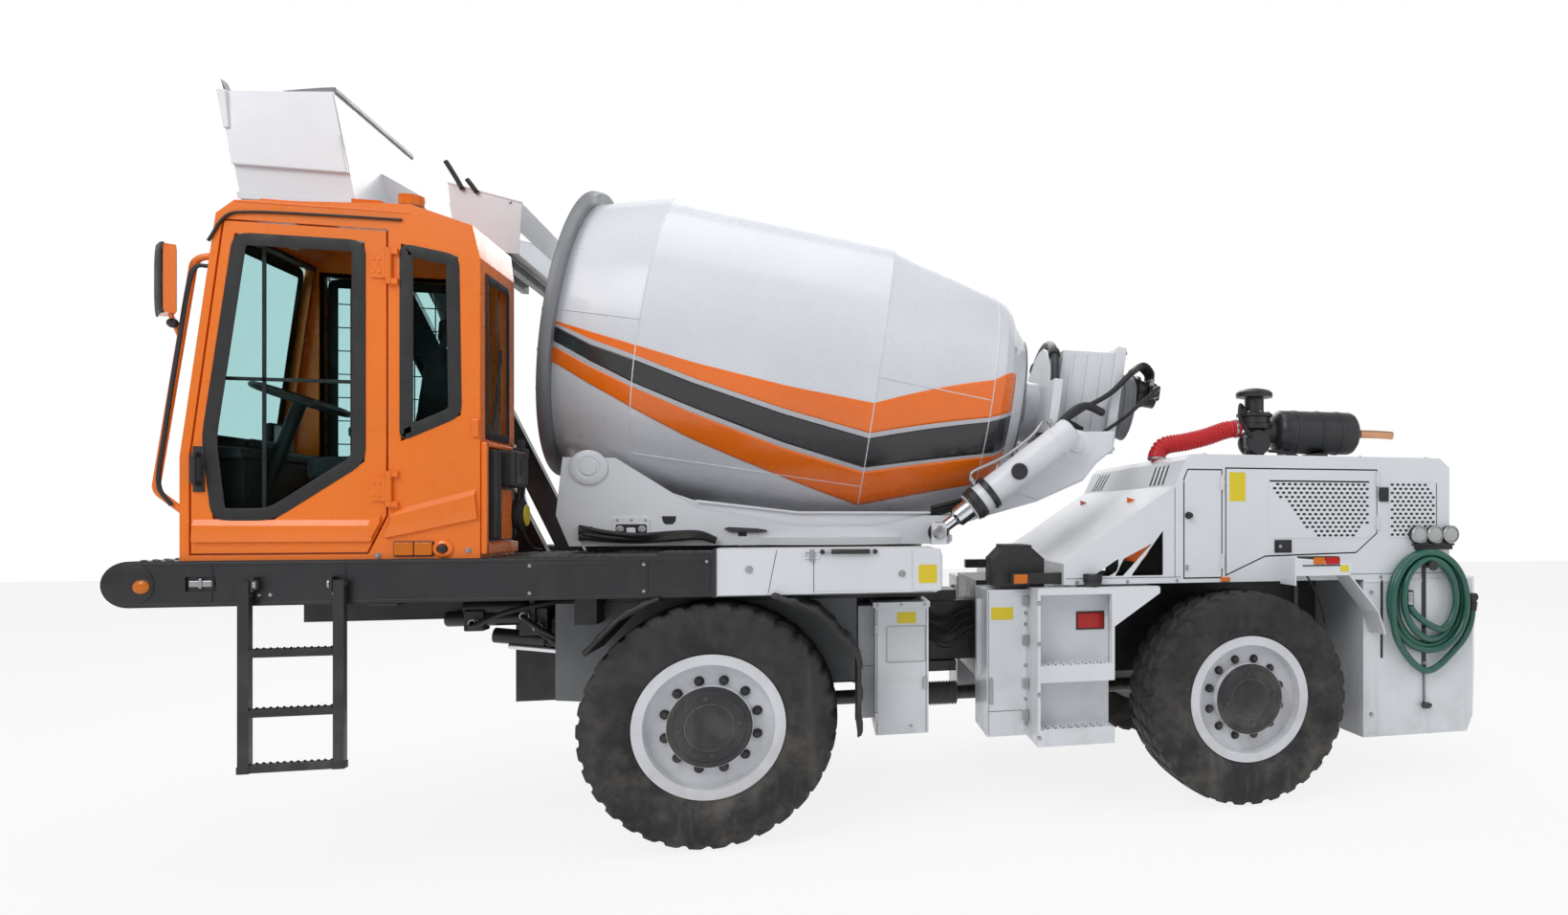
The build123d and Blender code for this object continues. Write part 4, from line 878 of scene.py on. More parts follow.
hoses("cab_rear_cables", [
    [(-1.885, -0.700, 1.860), (-1.870, -0.690, 1.790), (-1.872, -0.680, 1.700), (-1.880, -0.676, 1.640)],
    [(-1.880, -0.660, 1.480), (-1.865, -0.640, 1.430), (-1.850, -0.600, 1.395), (-1.830, -0.540, 1.385)],
    [(-1.900, -0.720, 1.880), (-1.876, -0.712, 1.780), (-1.884, -0.712, 1.660), (-1.900, -0.735, 1.440)],
], 0.009, black_rubber, "front_frame")
boxes("cab_rear_bracket", [((-1.928, -0.725, 1.835), (-1.860, -0.625, 1.885)),
                           ((-1.900, -0.700, 1.885), (-1.870, -0.650, 1.925))], iron, "front_frame", 0.006)
swept("rear_wiper", smooth_line([(-1.921, -1.000, 1.930), (-1.918, -0.930, 2.080), (-1.918, -0.860, 2.330)], 6),
      [(-0.005, -0.004), (0.005, -0.004), (0.005, 0.006), (-0.005, 0.006)], black_plastic, "front_frame")
lathe("rear_wiper_boss", [(0, 0), (0, 0.024), (0.008, 0.022), (0.012, 0.012), (0.013, 0)], (-1.926, -1.000, 1.930),
      (1, 0, 0), black_plastic, "front_frame", 24)

# mirror, its tube and the lamps on the roof
lathe("beacon_base", [(0, 0), (0, 0.062), (0.018, 0.062), (0.024, 0.054), (0.030, 0.052), (0.030, 0)],
      (-2.236, -1.000, 2.905), (0, 0, 1), black_plastic, "front_frame", 40)
rail_y = -1.095
hose("mirror_tube", [(-2.930, rail_y - 0.016, 2.600), (-2.985, rail_y - 0.030, 2.560),
                     (-3.030, rail_y - 0.034, 2.250), (-3.075, rail_y - 0.034, 1.900),
                     (-3.098, rail_y - 0.030, 1.690), (-3.060, rail_y - 0.020, 1.600)], 0.0085, black_plastic,
     "front_frame")


def ball(name, centre, radius, material, body, stretch=(1, 1, 1)):
    """A ball: its half circle carried round its own axis."""
    angle = np.linspace(0, pi, 13)
    profile = np.stack([-radius * np.cos(angle), radius * np.sin(angle)], -1)
    obj = lathe(name, [tuple(p) for p in profile[1:-1]], (0, 0, 0), (0, 0, 1), material, body, 24)
    coordinates = np.array([v.co for v in obj.data.vertices]) * stretch + np.asarray(centre)
    obj.data.vertices.foreach_set("co", coordinates.ravel())
    return obj


ball("mirror_joint", (-3.052, -1.122, 2.352), 0.020, black_plastic, "front_frame")
turned = np.array([[cos(radians(35)), -sin(radians(35)), 0], [sin(radians(35)), cos(radians(35)), 0], [0, 0, 1]])
MIRROR = np.array([-3.068, -1.130, 2.525])


def on_mirror(y, z, out):
    """Places on the mirror's back, in its own turned frame."""
    return MIRROR + np.stack([-0.020 - out, y, z], -1) @ turned.T


crown = np.linspace(-1, 1, 13)
y_part, z_part = np.meshgrid(crown, crown)
domed = np.sqrt(np.clip(1 - 0.5 * y_part**4 - 0.5 * z_part**4, 0, 1))
shell = on_mirror(0.068 * y_part, 0.144 * z_part, 0.014 * domed - 0.004)
piece("mirror_shell", shell.reshape(-1, 3), quads(13, 13), black_plastic, "front_frame").modifiers.new(
    "wall", "SOLIDIFY").thickness = 0.003
glass_face = MIRROR + np.stack([0.0215 + 0 * y_part, 0.058 * y_part, 0.132 * z_part], -1) @ turned.T
piece("mirror_glass", glass_face.reshape(-1, 3), quads(13, 13)[:, ::-1], chrome, "front_frame").modifiers.new(
    "wall", "SOLIDIFY").thickness = 0.002
ball("grab_rail_foot", (-3.020, rail_y, 1.566), 0.024, orange_paint, "front_frame", (0.8, 1, 1))

# ---- inside the cab ----------------------------------------------------------------------------
def cushion(name, low, high, crown_top, material, body, lean=0.0, channels=4):
    """A padded block: each face pulled in between its corners and its top crowned, with sewn channels across it."""
    low, high = np.asarray(low, float), np.asarray(high, float)
    steps = 15
    grid = np.linspace(-1, 1, steps)
    u, v = np.meshgrid(grid, grid)
    parts, faces = [], []
    for axis in range(3):
        for sign in (-1.0, 1.0):
            cube = np.empty((steps, steps, 3))
            cube[..., axis], cube[..., (axis + 1) % 3], cube[..., (axis + 2) % 3] = sign, u, v
            wound = quads(steps, steps) if sign > 0 else quads(steps, steps)[:, ::-1]
            faces.append(wound + len(parts) * steps * steps)
            parts.append(cube.reshape(-1, 3))
    cube = np.vstack(parts)
    power = 6.0
    length = (np.abs(cube) ** power).sum(1) ** (1 / power)
    round_cube = cube / length[:, None]
    half, middle = (high - low) / 2, (high + low) / 2
    points = round_cube * half
    swell = (1 - round_cube[:, 0] ** 2) * (1 - round_cube[:, 1] ** 2)
    points[:, 2] += crown_top * swell * (round_cube[:, 2] > 0.5)
    sew = np.abs(np.sin(round_cube[:, 1] * pi * channels / 2))
    points[:, 2] -= 0.006 * (1 - np.clip(sew * 4, 0, 1)) * (round_cube[:, 2] > 0.7)
    points[:, 0] += lean * (points[:, 2] + half[2])
    obj = outward(piece(name, points + middle, np.vstack(faces), material, body))
    return obj


def pressed(obj, push=0.006, pressure=4.0):
    """Fills a cushion with air by cloth simulation; a point moves at most by push."""
    remesh = obj.modifiers.new("even", "REMESH")
    remesh.mode, remesh.voxel_size = "VOXEL", 0.0065
    graph = bpy.context.evaluated_depsgraph_get()
    even = bpy.data.meshes.new_from_object(obj.evaluated_get(graph))
    obj.modifiers.clear()
    even.materials.clear()
    even.materials.append(obj.data.materials[0])
    obj.data = even
    rest = np.array([v.co for v in even.vertices])
    cloth = obj.modifiers.new("air", "CLOTH")
    cloth.settings.use_pressure, cloth.settings.uniform_pressure_force = True, pressure
    cloth.settings.effector_weights.gravity = 0.0
    cloth.settings.quality = 6
    cloth.point_cache.frame_start, cloth.point_cache.frame_end = 1, 20
    scene = bpy.context.scene
    for number in range(1, 21):
        scene.frame_set(number)
    graph = bpy.context.evaluated_depsgraph_get()
    blown = bpy.data.meshes.new_from_object(obj.evaluated_get(graph))
    moved = np.array([v.co for v in blown.vertices])
    obj.modifiers.clear()
    scene.frame_set(1)
    shift = moved - rest
    size = np.linalg.norm(shift, axis=1)[:, None]
    rest += shift * np.minimum(1, push / np.maximum(size, 1e-9))
    even.vertices.foreach_set("co", rest.ravel())
    even.polygons.foreach_set("use_smooth", np.ones(len(even.polygons), bool))
    even.update()
    return obj


boxes("seat_base", [((-2.630, -0.970, 1.408), (-2.230, -0.570, 1.470)),
                    ((-2.600, -0.940, 1.640), (-2.260, -0.600, 1.700)),
                    ((-2.170, -0.860, 1.720), (-2.130, -0.680, 1.900))], black_paint, "front_frame", 0.008)
bellows = [(0.0, 0)] + [(0.008 + 0.014 * k, 0.165 - 0.018 * (k % 2)) for k in range(12)] + [(0.176, 0)]
lathe("seat_suspension", bellows, (-2.430, -0.770, 1.468), (0, 0, 1), black_rubber, "front_frame", 32)
bottom = pressed(cushion("seat_cushion", (-2.672, -0.990, 1.705), (-2.188, -0.550, 1.812), 0.012, seat_cloth,
                         "front_frame"))
back = pressed(cushion("seat_back", (-2.262, -0.980, 1.815), (-2.172, -0.560, 2.330), 0.004, seat_cloth,
                       "front_frame", 0.135, 4))
head = pressed(cushion("seat_headrest", (-2.176, -0.900, 2.350), (-2.096, -0.640, 2.470), 0.004, seat_cloth,
                       "front_frame", 0.05, 0))
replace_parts(bottom, "seat")
boxes("seat_armrests", [((-2.470, -0.545, 1.900), (-2.200, -0.505, 1.950)),
                        ((-2.470, -1.030, 1.900), (-2.200, -0.995, 1.950))], black_plastic, "front_frame", 0.014, 4)
between("seat_posts", [((-2.225, -0.525, 1.720), (-2.235, -0.525, 1.915)),
                       ((-2.225, -1.012, 1.720), (-2.235, -1.012, 1.915)),
                       ((-2.120, -0.820, 2.300), (-2.115, -0.820, 2.380)),
                       ((-2.120, -0.720, 2.300), (-2.115, -0.720, 2.380))], 0.009, steel, "front_frame")
swept("seat_belt", smooth_line([(-2.215, -0.985, 1.830), (-2.190, -0.940, 2.060), (-2.160, -0.900, 2.260),
                                (-2.125, -0.905, 2.420)], 6),
      [(-0.022, -0.001), (0.022, -0.001), (0.022, 0.001), (-0.022, 0.001)], black_rubber, "front_frame")


def steering_wheel():
    """A rim of section r round a circle R, tilted by 20 degrees, with a dished hub and three spokes."""
    centre, tilt = np.array([-2.752, -0.770, 2.085]), radians(20)
    axis = np.array([sin(tilt), 0, cos(tilt)])
    along, across = np.array([cos(tilt), 0, -sin(tilt)]), np.array([0.0, 1.0, 0.0])
    around = np.arange(72)[:, None] * 2 * pi / 72
    ring = np.arange(12)[None] * 2 * pi / 12
    grip = 0.0135 * (1 + 0.05 * np.cos(24 * around))
    reach = 0.179 + grip * np.cos(ring)
    points = (centre + reach[..., None] * (np.cos(around)[..., None] * along + np.sin(around)[..., None] * across)
              + (grip * np.sin(ring))[..., None] * axis)
    outward(piece("steering_rim", points.reshape(-1, 3), quads(72, 12, True, True), black_plastic, "front_frame"))
    ends = [(centre - 0.012 * axis + 0.03 * (cos(a) * along + sin(a) * across),
             centre + 0.172 * (cos(a) * along + sin(a) * across)) for a in (0.4, 0.4 + 2 * pi / 3, 0.4 + 4 * pi / 3)]
    between("steering_spokes", ends, 0.009, black_plastic, "front_frame")
    lathe("steering_hub", [(0, 0), (0, 0.042), (0.016, 0.046), (0.026, 0.040), (0.030, 0)], centre - 0.018 * axis,
          axis, black_plastic, "front_frame", 32)


steering_wheel()
boxes("dashboard", [((-2.990, -1.050, 1.800), (-2.850, -0.350, 1.850)),
                    ((-2.960, -0.620, 1.850), (-2.930, -0.420, 1.990)),
                    ((-2.905, -0.900, 1.850), (-2.870, -0.640, 1.895)),
                    ((-2.600, -0.480, 1.410), (-2.200, -0.330, 1.870))], black_plastic, "front_frame", 0.012, 3)
boxes("monitor_glass", [((-2.929, -0.610, 1.860), (-2.925, -0.430, 1.980))], lamp_glass, "front_frame", 0.002)
between("joysticks", [((-2.480, -0.400, 1.870), (-2.490, -0.400, 1.960)),
                      ((-2.360, -0.400, 1.870), (-2.366, -0.400, 1.940))], 0.011, black_rubber, "front_frame")
guard = [((-2.850 + 0.093 * k, -0.262, 1.790), (-2.850 + 0.093 * k, -0.262, 2.750)) for k in range(8)]
guard += [((-2.860, -0.262, 1.800 + 0.117 * k), (-2.190, -0.262, 1.800 + 0.117 * k)) for k in range(9)]
between("inner_window_guard", guard, 0.003, black_paint, "front_frame", 8)
boxes("windscreen_bar", [((-2.890, -1.040, 2.755), (-2.860, -0.360, 2.775))], black_plastic, "front_frame", 0.004)
boxes("door_window_bars", [((-2.760, -1.0835, 1.560), (-2.744, -1.0785, 2.730)),
                           ((-2.945, -1.0835, 2.128), (-2.372, -1.0785, 2.144))], black_rubber, "door", 0.002)

# ---- platforms, ladder and mudguards -----------------------------------------------------------
def grating(name, x0, x1, y0, y1, z, material, body, pitch_x=0.045, pitch_y=0.038):
    """A walkway surface of small raised buttons in staggered rows: each a low eight-sided crown."""
    angle = np.arange(8) * pi / 4
    rings = [np.stack([r * np.cos(angle), r * np.sin(angle), np.full(8, h)], -1)
             for r, h in ((0.0135, -0.001), (0.0115, 0.0035), (0.0060, 0.0055))]
    faces = [list(f) for f in quads(3, 8, wrap_columns=True)] + [list(range(16, 24))]
    x, y = np.meshgrid(np.arange(x0, x1, pitch_x), np.arange(y0, y1, pitch_y))
    x = x + np.where(np.arange(len(x))[:, None] % 2, pitch_x / 2, 0)
    places = np.zeros((x.size, 3, 4))
    places[:, range(3), range(3)] = 1
    places[:, 0, 3], places[:, 1, 3], places[:, 2, 3] = x.ravel(), y.ravel(), z
    return copies(name, np.vstack(rings), faces, places, material, body)


PLATFORM_TOP, PLATFORM_FACE = 1.370, -1.1495
LADDER_RAILS = (-2.775, -2.437)
TREAD_ENDS = (-2.752, -2.460)
grating("left_walkway_grip", -3.150, -3.045, -1.120, -0.330, PLATFORM_TOP, black_paint, "front_frame")
grating("left_rear_walkway_grip", -1.890, -1.220, -1.120, -0.330, PLATFORM_TOP, black_paint, "front_frame")
grating("left_step_grip", -1.185, -0.985, -1.130, -0.870, 1.385, black_paint, "front_frame")
grating("right_walkway_grip", -3.150, -0.985, 0.830, 1.130, PLATFORM_TOP, black_paint, "front_frame")
boxes("platform_edge_strips", [((-3.180, y0, z), (-0.962, y0 + 0.004, z + 0.012))
                               for y0 in (-1.1535, 1.1495) for z in (1.352, 1.184)],
      black_paint, "front_frame", 0.0015)
boxes("platform_side_plates", [((-1.742, -1.154, 1.196), (-1.240, -1.149, 1.350)),
                               ((-2.430, -1.153, 1.200), (-2.426, -1.149, 1.350)),
                               ((-2.905, -1.153, 1.200), (-2.901, -1.149, 1.350)),
                               ((-1.000, -1.156, 1.190), (-0.975, -1.149, 1.368))], black_paint, "front_frame", 0.002)
bolts("platform_side_bolts", [(x, -1.1540, z) for x in (-1.725, -1.257) for z in (1.212, 1.334)]
      + [(x, PLATFORM_FACE, 1.225) for x in (-2.740, -2.700, -2.470)] + [(-0.988, -1.156, 1.345)],
      (0, -1, 0), 0.0055, steel, "front_frame", 0.004)
lathe("platform_lamp_base", [(0, 0), (0, 0.036), (0.006, 0.036), (0.008, 0.031), (0.008, 0)],
      (-3.139, PLATFORM_FACE, 1.266), (0, -1, 0), black_plastic, "front_frame", 36)
lathe("platform_lamp_lens", [(0, 0), (0, 0.028), (0.006, 0.027), (0.012, 0.020), (0.015, 0.008), (0.0155, 0)],
      (-3.139, -1.1575, 1.266), (0, -1, 0), amber_lens, "front_frame", 36)
boxes("platform_recess_hook", [((-2.985, -1.148, 1.262), (-2.900, -1.142, 1.288)),
                               ((-2.950, -1.152, 1.256), (-2.938, -1.140, 1.296))], steel, "front_frame", 0.003)
lathe("nose_end_caps", [(0, 0), (0, 0.086), (0.003, 0.086), (0.005, 0.080), (0.005, 0)],
      (-3.185, PLATFORM_FACE, 1.275), (0, -1, 0), black_paint, "front_frame", 48)

for x in LADDER_RAILS:
    lathe(f"ladder_pin_{abs(int(x * 1000))}", [(0, 0), (0, 0.019), (0.006, 0.020), (0.010, 0.015), (0.012, 0)],
          (x + (0.034 if x < -2.6 else -0.034), -1.180, 1.270), (1 if x < -2.6 else -1, 0, 0), steel, "front_frame",
          24)
teeth_x = np.linspace(*TREAD_ENDS, 25)
zigzag = np.where(np.arange(25) % 2, 0.010, 0.0)
for z in (0.490, 0.720, 0.968):
    outline = [(x, z + 0.030 + h) for x, h in zip(teeth_x, zigzag)] + [(x, z + 0.012) for x in TREAD_ENDS[::-1]]
    for row, y in enumerate((-1.198, -1.168)):
        plate(f"ladder_tread_{int(z * 1000)}_{row}", outline, y, y + 0.004, black_paint, "ladder", 0)
    boxes(f"ladder_tread_web_{int(z * 1000)}", [((TREAD_ENDS[0], -1.196, z + 0.028),
                                                 (TREAD_ENDS[1], -1.166, z + 0.032))], black_paint, "ladder", 0.001)
boxes("ladder_feet", [((x - 0.024, -1.200, 0.487), (x + 0.024, -1.160, 0.520)) for x in LADDER_RAILS],
      black_rubber, "ladder", 0.005)


def flap(name, line, y0, y1, rib, material, body):
    """A curved guard with a rolled lip and cross ribs: the line (x, z) is lifted by h(s) = rib where ribs run."""
    line = smooth_line([(x, z) for x, z in line], 10)
    along = np.gradient(line, axis=0)
    along /= np.linalg.norm(along, axis=1)[:, None]
    normal = np.stack([-along[:, 1], along[:, 0]], -1)
    y = np.linspace(y0, y1, 25)
    edge = np.clip(np.abs(np.linspace(-1, 1, 25)) * 14 - 13, 0, 1)
    s = np.arange(len(line))[:, None]
    lift = rib * (np.sin(s * pi / 4) > 0.3) * (1 - edge[None]) - 0.016 * edge[None]
    points = np.stack([line[:, None, 0] + normal[:, None, 0] * (lift + 0.004), y[None] + 0 * lift,
                       line[:, None, 1] + normal[:, None, 1] * (lift + 0.004)], -1)
    obj = piece(name, points.reshape(-1, 3), quads(len(line), 25), material, body)
    obj.modifiers.new("wall", "SOLIDIFY").thickness = 0.004
    return obj


GUARD_REAR = [(-0.700, 1.182), (-0.600, 1.150), (-0.480, 1.092), (-0.390, 0.990), (-0.306, 0.880), (-0.298, 0.700),
              (-0.298, 0.500)]
GUARD_FRONT = [(-1.190, 1.182), (-1.290, 1.140), (-1.365, 1.090), (-1.440, 1.010), (-1.505, 0.932)]
for label, y0, y1 in (("left", -1.192, -0.778), ("right", 0.778, 1.192)):
    flap(f"{label}_rear_guard_skin", GUARD_REAR, y0, y1, 0.008, black_plastic, "front_frame")
    flap(f"{label}_front_guard_skin", GUARD_FRONT[::-1], y0, y1, 0.004, black_plastic, "front_frame")

# ---- bucket ------------------------------------------------------------------------------------
def bucket_skin(name, y, side):
    """A folded side sheet: corners (x, z) with their own stand-off, closed to the bucket's wall."""
    outline = [(-3.318, 3.640, 0.004), (-2.846, 3.685, 0.004), (-2.773, 3.289, 0.022), (-3.262, 3.289, 0.022),
               (-3.290, 3.470, 0.014)]
    front = [(x, y + side * out, z) for x, z, out in outline]
    back = [(x, y - side * 0.0005, z) for x, z, out in outline]
    points = front + back
    faces = [[0, 1, 4], [1, 2, 3, 4], [5, 9, 8, 7, 6]] + [[k, (k + 1) % 5, (k + 1) % 5 + 5, k + 5] for k in range(5)]
    return outward(piece(name, points, faces, white_paint, "bucket", smooth=False))


BUCKET_SIDES = ((-0.240, -1, "left"), (0.750, 1, "right"))
for y, side, label in BUCKET_SIDES:
    bucket_skin(f"{label}_bucket_skin", y, side)
    low, high = sorted((y, y + side * 0.026))
    plate(f"{label}_bucket_front_strip", [(-3.321, 3.640), (-3.286, 3.643), (-3.270, 3.460), (-3.292, 3.455)], low,
          high, white_paint, "bucket")
    low, high = sorted((y, y + side * 0.024))
    plate(f"{label}_bucket_ledge", [(-3.262, 3.294), (-2.773, 3.294), (-2.771, 3.282), (-3.260, 3.282)], low, high,
          white_paint, "bucket", 0.003)
    low, high = sorted((y, y + side * 0.012))
    plate(f"{label}_bucket_wear_plate", [(-3.246, 3.150), (-2.760, 3.150), (-2.752, 3.118), (-3.240, 3.118)], low,
          high, white_paint, "bucket", 0.002)
boxes("bucket_base_bars", [((-3.220, -0.200, 3.096), (-3.180, 0.720, 3.112)),
                           ((-3.060, -0.200, 3.096), (-3.010, 0.720, 3.112)),
                           ((-2.900, -0.200, 3.096), (-2.860, 0.720, 3.112))], white_paint, "bucket", 0.003)
plate("bucket_lip_sheet", [(-3.060, 3.672), (-2.980, 3.690), (-2.900, 3.706), (-2.836, 3.716), (-2.830, 3.692),
                           (-2.846, 3.674), (-2.900, 3.674)], -0.236, 0.746, grey_paint, "bucket", 0.002)
weld_z = np.linspace(3.300, 3.470, 14)
hoses("bucket_edge_weld", [[(-2.776 - (z - 3.289) * 0.185, -0.2615, z) for z in weld_z]], 0.003, white_paint,
      "bucket", 6, 3)
for k, y in enumerate((0.030, 0.075, 0.120, 0.165)):
    run = [(-2.640, y, 2.760 + 0.01 * k), (-2.780, y, 2.880), (-2.930, y, 2.930), (-3.040, y, 2.990),
           (-3.070, y, 3.090)]
    line = hoses(f"bucket_hose_{k}", [run], 0.011, black_rubber, None, 8)
    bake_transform(line)
boxes("bucket_hose_clamp", [((-3.100, 0.010, 3.092), (-3.040, 0.185, 3.112))], iron, "bucket", 0.003)
pins = [((BX, BY, BZ), way) for BX, BZ in ((-2.720, 3.020),) for BY, way in ((-0.181, -1), (0.691, 1))]
for (px, py, pz), way in pins:
    lathe(f"bucket_pin_{'left' if way < 0 else 'right'}", [(0, 0), (0, 0.046), (0.008, 0.048), (0.014, 0.040),
                                                           (0.016, 0)], (px, py, pz), (0, way, 0), steel,
          "loader_arm", 32)
    lathe(f"arm_pin_{'left' if way < 0 else 'right'}", [(0, 0), (0, 0.058), (0.006, 0.060), (0.010, 0.050),
                                                        (0.012, 0)], (-1.750, py - way * 0.001, 0.900), (0, way, 0),
          steel, "loader_arm", 32)
ARM = np.array([-0.970, 2.120]) / np.hypot(0.970, 2.120)
ARM_BASE = np.array([-1.750, 0.900])


def on_arm(along, off):
    """A side place (x, z) along the loader arm's line and off it towards the front."""
    return tuple(ARM_BASE + ARM * along + np.array([-ARM[1], ARM[0]]) * off)


for label, y0, y1 in (("left", -0.184, -0.180), ("right", 0.690, 0.694)):
    plate(f"{label}_arm_doubler", [on_arm(-0.04, -0.05), on_arm(0.30, -0.045), on_arm(0.36, 0.0), on_arm(0.30, 0.045),
                                   on_arm(-0.04, 0.05)], y0, y1, black_paint, "loader_arm", 0.001)
arm_runs = [[(*on_arm(d, 0.078)[:1], y, on_arm(d, 0.078)[1]) for d in (0.25, 0.7, 1.2, 1.7, 2.05)]
            for y in (-0.165, -0.140)]
hoses("arm_hoses", arm_runs, 0.011, black_rubber, "loader_arm", 8)

# ---- drum, its cradle and drive ----------------------------------------------------------------
# the forms that stand for plainer solids: shell, cradle, drive and tilt cylinders
shell_out = list(DRUM_RADII) + [(1.960, 0.081), (1.948, 0.081)]
shell_in = [(t - 0.002, r - 0.012) for t, r in reversed(DRUM_RADII)]
shell_in[0] = (1.948, 0.401)
shell_in[-1] = (-0.435, 0.694 + 0.0136)
section = np.array(shell_out + shell_in + [(-0.475, 0.694)])


def axis_ring(name, section, material, body, steps=96, sharp=12):
    """A closed section (along, radius) carried round the drum's axis."""
    angle = (angles_round(steps))[:, None, None]
    section = np.asarray(section, float)
    around = np.cos(angle) * np.array([0, 1, 0]) - np.sin(angle) * DRUM_UP
    points = DRUM_FRONT + section[None, :, :1] * DRUM_ALONG + section[None, :, 1:] * around
    obj = outward(piece(name, points.reshape(-1, 3), quads(steps, len(section), True, True), material, body))
    obj.data.set_sharp_from_angle(angle=radians(sharp))
    return obj


def drum_ring(name, t, radius, section, material, body):
    """A closed ring round the drum's axis at t along it: its section (along, out) starts from a radius."""
    return axis_ring(name, [(t + along, radius + out) for along, out in section], material, body, 120, 40)


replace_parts(axis_ring("drum_skin", section, drum_white, "drum"), "drum_shell")
axis_ring("drum_collar_plate", [(-0.475, 0.700), (-0.475, 0.776), (-0.437, 0.776), (-0.437, 0.702)], drum_white,
          "drum")


def axis_point(t, up=0.0, y=0.0):
    """A place beside the drum's axis."""
    return DRUM_FRONT + t * DRUM_ALONG + up * DRUM_UP + np.array([0.0, y, 0.0])


def axis_side(points):
    """A side outline (x, z) of places (along, up) beside the drum's axis."""
    return [tuple(axis_point(t, up)[[0, 2]]) for t, up in points]


CRADLE_RAIL = [(-1.680, 1.760), (-1.660, 1.850), (-1.570, 1.850), (-1.400, 1.740), (-1.120, 1.640), (-0.600, 1.580),
               (0.200, 1.580), (0.389, 1.660), (0.511, 1.762), (0.739, 1.891), (0.873, 2.039), (1.160, 2.050),
               (1.150, 1.940), (1.049, 1.860), (0.970, 1.760), (0.700, 1.640), (0.420, 1.560), (0.100, 1.460),
               (-1.560, 1.470)]
for side, label in SIDES:
    low, high = sorted((side * 0.480, side * 0.540))
    rail = plate(f"{label}_cradle_rail", CRADLE_RAIL, low, high, white_paint, "cradle", 0.004)
    if side < 0:
        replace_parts(rail, "tilt_frame")
plate("cradle_cross_plate", axis_side([(2.095, -0.360), (2.095, 0.150), (2.145, 0.150), (2.145, -0.360)]), -0.540,
      0.540, white_paint, "cradle", 0.004)
axis_ring("cradle_ring", [(2.094, 0.186), (2.094, 0.396), (2.098, 0.400), (2.142, 0.400), (2.146, 0.396),
                          (2.146, 0.186)], white_paint, "cradle", 72, 30)
CRADLE_PINS = ((-1.600, 1.800, 0.530, 0.604), (0.560, 1.800, 0.520, 0.690))
between("cradle_pins", [((x, s * a, z), (x, s * b, z)) for s in (-1, 1) for x, z, a, b in CRADLE_PINS], 0.038,
        hub_paint, "cradle", 32)

reducer = [(2.012, 0.080), (2.012, 0.183), (2.020, 0.185), (2.145, 0.185), (2.149, 0.240), (2.178, 0.240),
           (2.182, 0.160), (2.498, 0.160), (2.498, 0.080)]
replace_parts(axis_ring("drum_reducer", reducer, white_paint, "cradle", 64, 30), "gearbox")
between("drum_shaft", [(axis_point(1.945), axis_point(2.020))], 0.080, steel, "cradle", 40)
for side, label in SIDES:
    low, high = sorted((side * 0.248, side * 0.260))
    plate(f"{label}_drive_cover", axis_side([(2.180, -0.200), (2.180, 0.375), (2.500, 0.415), (2.500, -0.200)]), low,
          high, white_paint, "cradle", 0.003)
plate("drive_cover_top", axis_side([(2.180, 0.363), (2.180, 0.375), (2.500, 0.415), (2.500, 0.403)]), -0.255, 0.255,
      white_paint, "cradle", 0.003)
plate("drive_cover_front", axis_side([(2.180, -0.200), (2.180, 0.372), (2.192, 0.373), (2.192, -0.200)]), -0.255,
      0.255, white_paint, "cradle", 0.003)
plate("drive_end_plate", axis_side([(2.500, -0.200), (2.500, 0.450), (2.560, 0.450), (2.560, -0.200)]), -0.300, 0.300,
      white_paint, "cradle", 0.006)

BEAD = [(0.004 * cos(a), 0.0028 * sin(a)) for a in np.arange(8) * pi / 4]
for label, t in (("front", -0.040), ("rear", 1.115), ("neck", 1.740)):
    drum_ring(f"{label}_drum_seam", t, float(np.interp(t, *np.array(DRUM_RADII).T)), BEAD, drum_white, "drum")
seam_runs = []
for t0, t1, from_angle, to_angle in ((-0.450, -0.045, -1.3, -1.3), (-0.035, 1.110, 47.6, 47.6),
                                     (1.120, 1.735, 4.0, 4.8), (-0.450, -0.045, 178, 178), (-0.035, 1.110, 227, 227),
                                     (1.120, 1.735, 184, 184)):
    t = np.linspace(t0, t1, 24)
    seam_runs.append(drum_point(t, pi - np.radians(np.linspace(from_angle, to_angle, 24)), 0.0005))
hoses("drum_lengthwise_seams", seam_runs, 0.0032, drum_white, "drum", 6, 2)
COLLAR = [(-0.046, -0.072), (-0.046, 0.004), (-0.040, 0.008), (0.000, 0.008), (0.006, 0.004), (0.006, -0.066),
          (0.002, -0.068), (0.002, -0.002), (-0.042, -0.002), (-0.042, -0.072)]
drum_ring("mouth_collar", -0.435, 0.776, COLLAR, grey_paint, "drum")
around = angles_round(24)
mouth = [DRUM_FRONT - 0.482 * DRUM_ALONG + 0.742 * (cos(a) * np.array([0, 1, 0]) - sin(a) * DRUM_UP) for a in around]
bolts("mouth_bolts", mouth, -DRUM_ALONG, 0.011, steel, "drum", 0.009)
drum_ring("mouth_lip", -0.470, 0.703, [(-0.008, -0.010), (-0.008, 0.006), (0.004, 0.006), (0.004, -0.010)],
          drum_white, "drum")
tail_flange = [(0.0, -0.02), (0.0, 0.012), (0.010, 0.014), (0.016, 0.010), (0.016, -0.02)]
drum_ring("drum_tail_flange", 1.944, 0.416, tail_flange, grey_paint, "drum")


